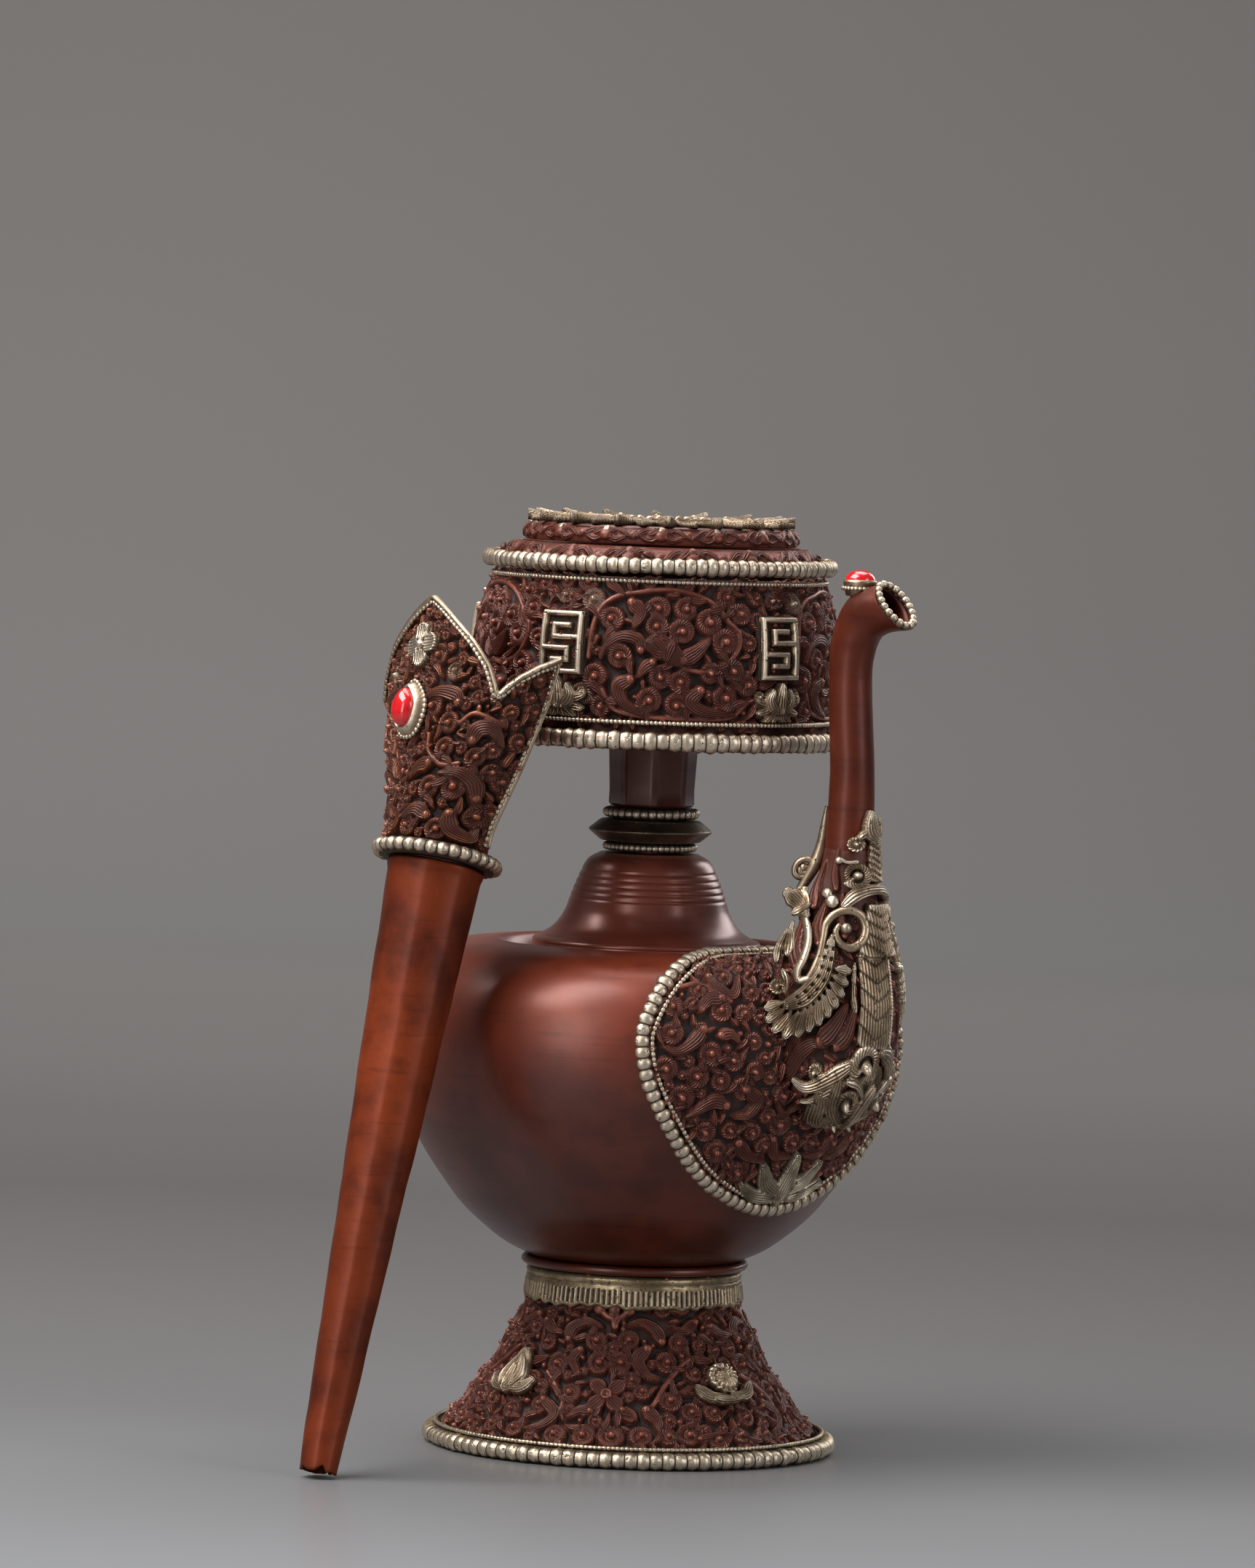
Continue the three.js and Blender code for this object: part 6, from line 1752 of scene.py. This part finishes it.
HEART_TURN = -6
HEART_HALF = 44
HEART_SHARES = [
    (0, 0.965), (0.3, 0.96), (0.58, 0.94), (0.86, 0.84), (0.975, 0.74), (1, 0.66), (0.945, 0.556),
    (0.79, 0.428), (0.593, 0.327), (0.28, 0.255), (0, 0.236),
]
HEART_CURLS = [
    (-22.6, 81.2, 2.41), (-13.0, 83.9, 1.65), (-29.5, 77.9, 2.15), (-16.3, 77.3, 2.28), (-35.5, 73.7, 2.53),
    (-24.4, 73.1, 2.66), (-18.7, 72.5, 2.28), (-35.8, 68.0, 2.66), (-28.9, 69.2, 1.65), (-26.8, 63.8, 2.91),
    (-21.7, 62.3, 2.41), (-36.7, 60.2, 2.79), (-29.8, 58.7, 2.66), (-24.4, 57.8, 2.41), (-18.7, 56.0, 2.91),
    (-32.8, 53.9, 2.91), (-26.8, 46.1, 2.66), (-20.8, 46.7, 2.15), (-15.1, 46.1, 2.15), (-8.2, 47.9, 2.91),
    (-10.9, 42.8, 2.41), (-23.2, 41.3, 2.91), (-2.9, 43.4, 2.53), (-0.7, 48.5, 2.03), (-16.3, 35.9, 2.53),
]
HEART_LEAVES = [
    ([(-23.8, 75.8), (-27.1, 75.5), (-29.5, 72.5)], 3.8),
    ([(-26.2, 81.2), (-24.7, 78.8), (-20.8, 76.7), (-18.1, 81.8)], 3.4),
    ([(-28.6, 68.9), (-30.4, 66.5), (-34.3, 64.1), (-37.6, 65.0)], 3.5),
    ([(-24.7, 67.7), (-22.3, 68.0), (-20.2, 66.2)], 3.2),
    ([(-22.6, 52.4), (-25.6, 53.3), (-29.8, 50.9), (-31.9, 49.7)], 3.8),
    ([(-18.1, 56.0), (-15.1, 53.3), (-17.2, 50.3), (-20.5, 49.7)], 3.8),
    ([(-18.1, 43.7), (-15.1, 40.4), (-9.7, 38.9)], 3.8),
    ([(-9.2, 44.6), (-7.4, 40.4), (-2.0, 39.8)], 3.2),
]
HEART_PETALS = [
    ([(3.5, 28.6), (9.5, 29.6), (14.0, 32.6)], 4.2), ([(2.5, 30.5), (6.5, 33.0), (9.5, 38.0)], 4.6),
]


def heart_edge(inset, count=720):
    """The plaque's outline, drawn in by a distance, as turns and runs on the bowl."""
    half = []
    for turn, arc in HEART_SHARES:
        run = arc * BOWL.length
        half.append((float(BOWL.span(run, 0, turn * HEART_HALF)), run))
    flat = half + [(-x, y) for x, y in half[-2:0:-1]]
    line = smooth_line(flat, count, closed=True)
    along = directions(np.roll(line, -1, axis=0) - np.roll(line, 1, axis=0))
    line = line + np.stack([along[:, 1], -along[:, 0]], -1) * inset
    per = BOWL.span(line[:, 1], 0, 1)
    return HEART_TURN + line[:, 0] / per, line[:, 1]


def make_heart():
    cell = 0.22
    edge_turns, edge_runs = heart_edge(2.6)
    right = edge_turns > HEART_TURN
    order = np.argsort(edge_runs[right])
    low, high = edge_runs.min() + 0.05, edge_runs.max() - 0.05
    runs = np.linspace(low, high, round((high - low) / cell))
    reach = np.interp(runs, edge_runs[right][order], edge_turns[right][order]) - HEART_TURN
    turns = np.linspace(HEART_TURN - 46, HEART_TURN + 46, 420)
    carving = Carving(turns, runs, BOWL.span, ground=-0.4, wraps=False, seed=27)
    rng = np.random.default_rng(12)

    def spots(places, side=1):
        return [(HEART_TURN + side * turn, run) for turn, run in places]

    for side in (1, -1):
        for turn, run, radius in HEART_CURLS:
            carving.curl(HEART_TURN + side * turn, run, radius, side, rng.uniform(0, 6.3), 0.95)
        for places, width in HEART_LEAVES:
            carving.leaf(spots(places, side), width, 1.0, head=0.27 * width)
        carving.ridge(spots([(-33.7, 78.5), (-29.2, 79.4), (-25.0, 77.0), (-21.7, 75.2)], side), 1.3)
        for places, width in HEART_PETALS:
            carving.leaf(spots(places, side), width, 1.25, silver=1.0, blunt=0.4)
    carving.leaf(spots([(0, 29.5), (0, 34), (0, 40)]), 5.2, 1.6, silver=1.0, blunt=0.4)
    carving.leaf(spots([(0, 26.5), (0, 29), (0, 32.5)]), 3.4, 1.2, silver=1.0)
    for side in (1, -1):
        carving.leaf(spots([(6, 27.5), (6, 30), (3.5, 33)], side), 2.6, 1.1, silver=1.0)
    carving.fill(1.7, 2.7, 3000, (turns[0], turns[-1]), (low, high), 0.9, 0.8)
    carving.fill(1.0, 1.7, 3000, (turns[0], turns[-1]), (low, high), 0.8, 0.6)
    carving.fill(0.6, 0.9, 500, (turns[0], turns[-1]), (low, high), 0.5, 0.0)
    carving.finish(cell, 0.9)
    for name, ends in (("heart_scrolls_left", (-1, 0)), ("heart_scrolls_right", (0, 1))):
        share = np.linspace(*ends, 210)[None]
        spread = HEART_TURN + share * reach[:, None]

        def laid(field):
            return np.array([np.interp(row, turns, line) for row, line in zip(spread, field)])

        lift = np.maximum(laid(carving.high), -0.55) + 0.8
        lift = 0.25 + (lift - 0.25) * limited((1 - np.abs(share)) / 0.01)
        outer = BOWL.at(spread, runs[:, None], lift)
        inner = BOWL.at(spread[::11], runs[::11, None], 0.12)
        marks = {key: laid(field) for key, field in carving.marks().items()}
        piece(name, "heart_plate", wall(outer, inner, marks), SCROLL)
    for name, node, inset, lift, pitch, wide, high in (
        ("heart_bead_edge", "heart_beads", 1.75, 1.35, 2.5, 1.85, 1.2),
        ("heart_fine_beads", "heart_wire", 4.0, 1.05, 1.15, 0.6, 0.6),
    ):
        edge = heart_edge(inset)
        path = BOWL.at(*edge, lift)
        ups = BOWL.at(*edge, lift + 1) - path
        piece(name, node, beads(path, ups, pitch, high, wide, seed=17, sides=14), SILVER)


# Holder

HOOD_HEIGHT = 54.6
HOOD_END = 113
HOOD_SPREAD = [(0, 0), (0.1, 0.04), (0.36, 0.52), (0.62, 0.9), (0.8, 1), (1, 1.04)]
HOOD_EDGE = [
    (0, 1), (0.04, 0.968), (0.08, 0.93), (0.12, 0.888), (0.2, 0.805), (0.28, 0.71), (0.34, 0.6), (0.37, 0.64),
    (0.42, 0.69), (0.5, 0.745), (0.628, 0.81), (0.66, 0.76), (0.8, 0.72), (1, 0.7),
]
# Half sizes in mm: at the hood's root all round, then at its widest aside, in front and behind.
ROOT, HALF_WIDTH, FRONT_DEPTH, BACK_DEPTH = 12.4, 26, 14, 15.5


def hood_sizes(height, turn):
    spread = read_share(HOOD_SPREAD, np.asarray(height) / HOOD_HEIGHT)
    depth = np.where(np.cos(np.asarray(turn) * DEG) > 0, FRONT_DEPTH, BACK_DEPTH)
    return ROOT + (HALF_WIDTH - ROOT) * spread, ROOT + (depth - ROOT) * spread


def on_hood(turn, height, lift=0.0):
    wide, deep = hood_sizes(height, turn)
    a = np.asarray(turn) * DEG
    return np.stack([(deep + lift) * np.cos(a), (wide + lift) * np.sin(a), HOOD_LEVEL + height + 0 * a], -1)


def hood_edge(turn):
    return read_share(HOOD_EDGE, np.abs(turn) / 180) * HOOD_HEIGHT


HOOD_TURNS = np.linspace(-180, 180, 721)
HOOD_ANGLES = HOOD_TURNS * DEG
HOOD_STEPS = np.hypot(FRONT_DEPTH * np.sin(HOOD_ANGLES), HALF_WIDTH * np.cos(HOOD_ANGLES)) * 0.5 * DEG
HOOD_WAY = np.cumsum(HOOD_STEPS) - np.cumsum(HOOD_STEPS)[360]


def hood_span(height, turn_a, turn_b):
    """The length across the hood's face between two turns, at a height."""
    wide, deep = hood_sizes(height, 0)
    scale = (wide + deep) / (HALF_WIDTH + FRONT_DEPTH)
    return (np.interp(turn_b, HOOD_TURNS, HOOD_WAY) - np.interp(turn_a, HOOD_TURNS, HOOD_WAY)) * scale


HOOD_CURLS = [
    (-22, 47.0, 1.56), (0, 46.4, 1.82), (13, 40.8, 2.25), (27, 37.2, 1.73, 0.8), (16, 29.2, 2.42),
    (32, 25.5, 2.08), (34, 20.0, 2.08), (62, 18.8, 1.9), (74, 20.8, 1.56), (82, 16.2, 1.64),
    (62, 32.5, 1.3, 1), (78, 35.8, 1.47), (78, 29.5, 1.56), (30, 11.2, 2.25), (52, 11.8, 2.42),
    (0, 10.2, 1.9), (86, 6.5, 2.08), (49, 2.2, 2.08), (16, 2.4, 1.99), (96, 15.0, 1.8), (100, 8.0, 1.8),
    (96, 24.0, 1.8), (100, 31.0, 1.7), (94, 38.0, 1.6),
]
HOOD_LEAVES = [
    ([(35, 30.2), (32, 31.8), (18, 32.5), (6, 30.5)], 2.9),
    ([(54, 22.2), (56, 24.8), (68, 25.2), (82, 22.0)], 3.4),
    ([(78, 10.2), (70, 13.2), (53, 15.0), (36, 14.5)], 3.0), ([(36, 5.0), (22, 6.2), (6, 4.2)], 3.0),
    ([(58, 6.0), (64, 2.8), (86, 1.8), (92, 4.2)], 3.2), ([(24, 16.5), (15, 15.5), (9, 13.0)], 3.0),
]
HOOD_RIDGES = [
    ([(40, 25.8), (49, 28.2), (68, 27.2), (77, 26.5)], 1.2),
    ([(18, 22.8), (21, 19.0), (36, 16.2), (50, 17.0)], 1.2),
]


def make_hood():
    cell = 0.2
    way = np.interp(HOOD_END, HOOD_TURNS, HOOD_WAY)
    columns = 2 * round(way / cell) + 1
    turns = np.interp(np.linspace(-way, way, columns), HOOD_WAY, HOOD_TURNS)
    heights = np.linspace(0, HOOD_HEIGHT, round(HOOD_HEIGHT / cell))
    carving = Carving(turns, heights, hood_span, ground=-0.4, wraps=False, seed=33)
    rng = np.random.default_rng(14)
    for side in (1, -1):
        for turn, height, radius, *silver in HOOD_CURLS:
            carving.curl(side * turn, height, 1.3 * radius, side, rng.uniform(0, 6.3), 1.05, *silver)
        for places, width in HOOD_LEAVES:
            carving.leaf([(side * t, h) for t, h in places], 1.35 * width, 1.15, head=0.3 * width)
        for places, width in HOOD_RIDGES:
            carving.ridge([(side * t, h) for t, h in places], width, 0.75)
    limits = (-HOOD_END, HOOD_END), (0.8, HOOD_HEIGHT)
    carving.fill(1.5, 2.5, 3000, *limits, 0.9, 0.8)
    carving.fill(0.9, 1.5, 2500, *limits, 0.8, 0.6)
    carving.fill(0.6, 0.9, 250, *limits, 0.5, 0.0)
    carving.finish(cell, 0.9)
    share = np.linspace(0, 1, 250)[:, None]
    middle_column = columns // 2
    for name, pick in (("hood_scrolls_left", slice(0, middle_column + 1)),
                       ("hood_scrolls_right", slice(middle_column, None))):
        part = turns[pick]
        up = share * hood_edge(part)[None]

        def laid(field):
            pairs = zip(up.T, field[:, pick].T)
            return np.array([np.interp(place, heights, column) for place, column in pairs]).T

        lift = laid(carving.high) - 0.45
        outer = on_hood(part[None], up, lift)
        inner = on_hood(part[None], up[::14], -1.5)
        marks = {key: laid(field) for key, field in carving.marks().items()}
        piece(name, "holder_hood", wall(outer, inner, marks), HOOD_SCROLL, "holder")
    make_liner()
    make_border()
    make_badges()


def make_liner():
    turns = np.linspace(-180, 180, 241)[:-1]
    up = np.linspace(0, 1, 40)[:, None] * (hood_edge(turns)[None] - 0.2)
    outer = on_hood(turns[None], up, -1.6)
    inner = on_hood(turns[None], up[::8], -2.4)
    liner = wall(outer, inner, {"dirt": 0 * up}, True)
    piece("hood_plain_liner", "holder_liner", liner, SHAFT_COPPER, "holder")


def hood_rim(offset, lift, count=420):
    """A line beside the hood's rim, from one back seam round its petals to the other."""
    turns = np.linspace(-HOOD_END, HOOD_END, 400)
    top = hood_edge(HOOD_END)
    seam = np.linspace(1.0, top, 40)[:-1]
    front = [(turn, hood_edge(turn)) for turn in turns]
    edge = [(-HOOD_END, height) for height in seam] + front + [(HOOD_END, height) for height in seam[::-1]]
    edge = np.array(edge, float)
    path = smooth_line(on_hood(edge[::3, 0], edge[::3, 1], lift), count)
    a = np.arctan2(path[:, 1], path[:, 0])
    ups = directions(np.stack([np.cos(a) * 0.8, np.sin(a), 0 * a - 0.1], -1))
    side = np.cross(ups, directions(np.gradient(path, axis=0)))
    return path + side * offset, ups


def make_border():
    """Silver ribbon on the hood's rim with a fine bead rope beside it."""
    ribbon = marked(tube(*hood_rim(-0.2, -0.1), 1.05, 0.62, 12), wear=0.45)
    rope = beads(*hood_rim(-1.15, 0.15), 1.3, 0.55, 0.5, closed=False, seed=20, sides=10)
    piece("hood_silver_border", "holder_border", joined(ribbon, rope), SILVER, "holder")


def make_badges():
    """Teardrop coral in its bezel on the hood's front, and a flower over it."""
    level = HOOD_HEIGHT * 0.52
    wide = float(hood_sizes(level, 0)[0])
    columns = 72
    a = circle(columns)
    narrow = np.where(np.sin(a) > 0, 1 - 0.45 * np.sin(a) ** 2, np.maximum(np.abs(np.cos(a)), 1e-6) ** -0.3)

    def drop(width, height, lift):
        """A drop of this width and height on the hood's front."""
        x, y = width / 2 * np.cos(a) * narrow, height / 2 * np.sin(a)
        return on_hood(np.arcsin(np.clip(x / wide, -1, 1)) / DEG, level + y, lift)

    rows = np.array([drop(*row) for row in (
        (9.6, 12.8, -0.6), (9.4, 12.6, 0.9), (8.4, 11.6, 1.7), (6.8, 10.0, 2.9), (6.1, 9.3, 3.0),
        (5.6, 8.8, 2.4), (0.2, 0.3, 2.0),
    )])
    faces = [grid_faces(len(rows), columns, False, True)]
    # Lighter on the bezel's raised rim: wear, and a painted highlight.
    bezel = (rows.reshape(-1, 3), faces, {"wear": np.repeat([0, 0.1, 0.3, 0.8, 0.6, 0, 0], columns)})
    path = drop(9.6, 12.8, 0.9)
    ring = beads(path, drop(9.6, 12.8, 1.9) - path, 1.15, 0.62, 0.6, seed=23, sides=10)
    piece("hood_silver_bezel", "holder_bezel", joined(bezel, ring), SILVER, "holder")
    rows = []
    for t in np.linspace(0, math.pi / 2, 12):
        share = math.cos(t) ** 0.75
        rows.append(drop(5.7 * share + 0.05, 8.8 * share + 0.05, 2.2 + 3.0 * math.sin(t)))
    faces = [grid_faces(len(rows), columns, False, True)]
    piece("hood_coral", "holder_stone", (np.concatenate(rows), faces), CORAL, "holder")
    make_hood_flower()


def make_hood_flower():
    level = HOOD_HEIGHT * 0.79
    wide = float(hood_sizes(level, 0)[0])
    radius, count, sunk = 5.2, 70, -1.2
    span = np.linspace(-radius * 1.08, radius * 1.08, count)
    x, y = np.meshgrid(span, span)
    height = np.full(x.shape, sunk)
    line = np.zeros(x.shape)
    for k in range(4):
        out, across = from_petal(x, y, 0.6 * radius, k * math.pi / 2 + 0.12)
        near = np.hypot(out / (0.42 * radius), across / (0.46 * radius))
        cup = np.where(near < 1, 1.0 + 0.45 * near**2, sunk)
        line = np.where(cup > height, across, line)
        height = np.maximum(height, cup)
    height = height + 0.1 * np.sin(line * (FULL_TURN / LINE_PITCH)) * (height > 0)
    far = np.hypot(x, y) / (0.2 * radius)
    height = np.maximum(height, np.where(far < 1, 1.4 + 0.7 * dome(far), sunk))
    soft = blurred(height, 1.2, False)
    points = on_hood(np.arcsin(x / wide) / DEG, level + y, 0.25 + soft)
    # Darker in hollows and on the sunk ground: tarnish, and painted shade. Lighter on high parts: wear, and a
    # painted highlight.
    dirt = limited((blurred(height, 5, False) - soft) * 0.8 + (height < -1) * 0.6)
    marks = {"dirt": dirt, "wear": limited(soft * 0.6), "line": line, "lined": (height > 0) * 1.0}
    shape = points.reshape(-1, 3), [grid_faces(count, count)], marks
    piece("hood_silver_flower", "holder_flower", shape, SILVER, "holder")


def make_shaft():
    """Eight-sided hammered shaft with a ragged open tip, and the bead ring on top of it."""
    rng = np.random.default_rng(41)
    rows, columns = 200, 96
    level = np.linspace(0, SHAFT_LENGTH, rows)[:, None]
    turn = even_turns(columns)[None]
    low_radius, high_radius = 4.3, 10.7
    radius = low_radius + (high_radius - low_radius) * level / SHAFT_LENGTH
    dents = blurred(rng.normal(0, 1, (rows, columns)), 4, True)
    dents = dents / np.abs(dents).max() * 0.24
    tip = limited(1 - level / 3)
    ragged = np.abs(blurred(rng.normal(0, 1, (1, columns)), 2, True) * 1.6 * tip)
    rim = 0.35 * bell((level - 136.6) / 0.9)
    outer = polar(radius * (0.82 + 0.18 * eight_sided(turn)) + dents + rim, turn * DEG, level + ragged)
    inner = polar(radius[::20] - 0.9, turn * DEG, level[::20] + ragged[::20])
    # Darker in its dents and towards the open tip: tarnish, and painted shade.
    marks = {"dirt": limited(-dents / 0.2) * 0.4 + tip * 0.6}
    piece("shaft_hammered", "holder_shaft", wall(outer, inner, marks, True), SHAFT_COPPER, "holder")
    ring = beads(*ring_path(13.05, RING_LEVEL + RING_HEIGHT / 2, 480), 2.45, 1.9, 1.65, seed=29, sides=16)
    # Painted shade: the plain ring under the beads is darkened.
    base = marked(lathe(band(9.2, 13, 137.9, 141.1), 96), dirt=0.9)
    piece("holder_silver_beads", "holder_bead_ring", joined(ring, base), SILVER, "holder")


# Camera, floor and lights

def make_camera():
    data = bpy.data.cameras.new("camera")
    data.sensor_width = 36
    data.lens = CAMERA_FOCUS / PHOTO_HEIGHT * data.sensor_width
    data.clip_end = 50
    camera = bpy.data.objects.new("camera", data)
    bpy.context.scene.collection.objects.link(camera)
    turn = Matrix((CAMERA_SIDE, CAMERA_UP, -CAMERA_FORWARD)).transposed().to_4x4()
    camera.matrix_world = Matrix.Translation(CAMERA_PLACE * MM) @ turn
    bpy.context.scene.camera = camera


# The sweep starts this far behind the vase, in metres, and bends with this radius.
SWEEP_START = 1.6
SWEEP_RADIUS = 1.2
# How far back and up, how light, and the tint. These greys are painted shade and light: darkest in a band
# about 0.6 m behind the vase, lighter towards the front, and lighter again up the sweep and backdrop.
FLOOR_PAINTED_SHADES = [
    (-0.2, 0.2191, (1, 1.024, 1.08)), (0.06, 0.1376, (1, 0.992, 1.02)), (0.4, 0.106, (1, 0.942, 0.935)),
    (0.6, 0.09, (1, 0.94, 0.93)), (0.85, 0.122, (1, 0.93, 0.92)), (1.3, 0.2079, (1, 0.935, 0.919)),
    (1.7, 0.3001, (1, 0.986, 0.965)), (2.1, 0.3551, (1, 0.957, 0.946)), (2.6, 0.3919, (1, 0.937, 0.915)),
]
SHADES_FROM, SHADES_SPAN = -0.3, 3.0


def make_stage():
    """Pale floor that sweeps up to a backdrop behind the vase, with painted shade and light in its grey, and
    painted shade towards the right.
    """
    rows = [(-6.0, 0.0), (-1.0, 0.0), (SWEEP_START, 0.0)]
    for t in np.linspace(0, math.pi / 2, 24)[1:]:
        rows.append((SWEEP_START + SWEEP_RADIUS * math.sin(t), SWEEP_RADIUS * (1 - math.cos(t))))
    rows.append((SWEEP_START + SWEEP_RADIUS, 5.0))
    sides = (-7.0, 7.0)
    points = [np.array(RIGHT * s + AWAY * ahead + UP * level) for ahead, level in rows for s in sides]
    mesh = bpy.data.meshes.new("floor")
    quads = [(2 * i, 2 * i + 1, 2 * i + 3, 2 * i + 2) for i in range(len(rows) - 1)]
    mesh.from_pydata([tuple(p) for p in points], [], quads)
    mesh.polygons.foreach_set("use_smooth", [True] * len(mesh.polygons))
    paint = Paint("floor_grey")
    stops = [((way - SHADES_FROM) / SHADES_SPAN, tuple(shade * c for c in tint))
             for way, shade, tint in FLOOR_PAINTED_SHADES]
    back = (paint.way_along(AWAY + UP) - SHADES_FROM) / SHADES_SPAN
    colour = paint.node("ShaderNodeValToRGB", {"stops": stops}, {0: back}, "Color")
    # Painted shade: the floor and backdrop are darkened towards the right.
    colour = paint.mix(paint.way_along(RIGHT).between(-0.3, 0.45) * 0.16, colour, (0.03, 0.03, 0.03))
    mesh.materials.append(paint.metal(colour, 0.36, 0.0))
    floor = bpy.data.objects.new("floor", mesh)
    bpy.context.scene.collection.objects.link(floor)


def make_light(name, aside, ahead, level, size, power, colour=(1, 1, 1)):
    data = bpy.data.lights.new(name, "AREA")
    data.shape = "RECTANGLE"
    data.size, data.size_y = size
    data.energy = power
    data.color = colour
    light = bpy.data.objects.new(name, data)
    bpy.context.scene.collection.objects.link(light)
    place = RIGHT * aside + AWAY * ahead + UP * level
    aim = UP * 0.11
    light.location = place
    light.rotation_mode = "QUATERNION"
    light.rotation_quaternion = (aim - place).to_track_quat("-Z", "Y")


def make_lights():
    make_light("key_softbox", -0.8, -0.3, 1.4, (1.2, 1.0), 36, (1, 0.985, 0.96))
    make_light("top_softbox", 0.1, 0.45, 1.5, (1.0, 1.0), 15)
    make_light("front_softbox", -1.0, -1.5, 0.6, (0.6, 1.2), 9, (1, 0.99, 0.97))
    make_light("fill_softbox", 1.4, -1.0, 0.75, (0.6, 1.1), 8, (0.97, 0.985, 1))
    make_light("rim_softbox", 0.9, 1.1, 0.8, (0.6, 0.9), 6)
    world = bpy.data.worlds.new("studio")
    world.use_nodes = True
    background = world.node_tree.nodes["Background"]
    background.inputs["Color"].default_value = (0.30, 0.295, 0.29, 1)
    background.inputs["Strength"].default_value = 0.6
    bpy.context.scene.world = world


make_camera()
make_stage()
make_lights()
make_foot()
make_bowl()
make_neck()
make_drum()
make_lid()
make_spout()
make_makara()
make_heart()
make_shaft()
make_hood()

scene_view = bpy.context.scene.view_settings
scene_view.view_transform = "Standard"
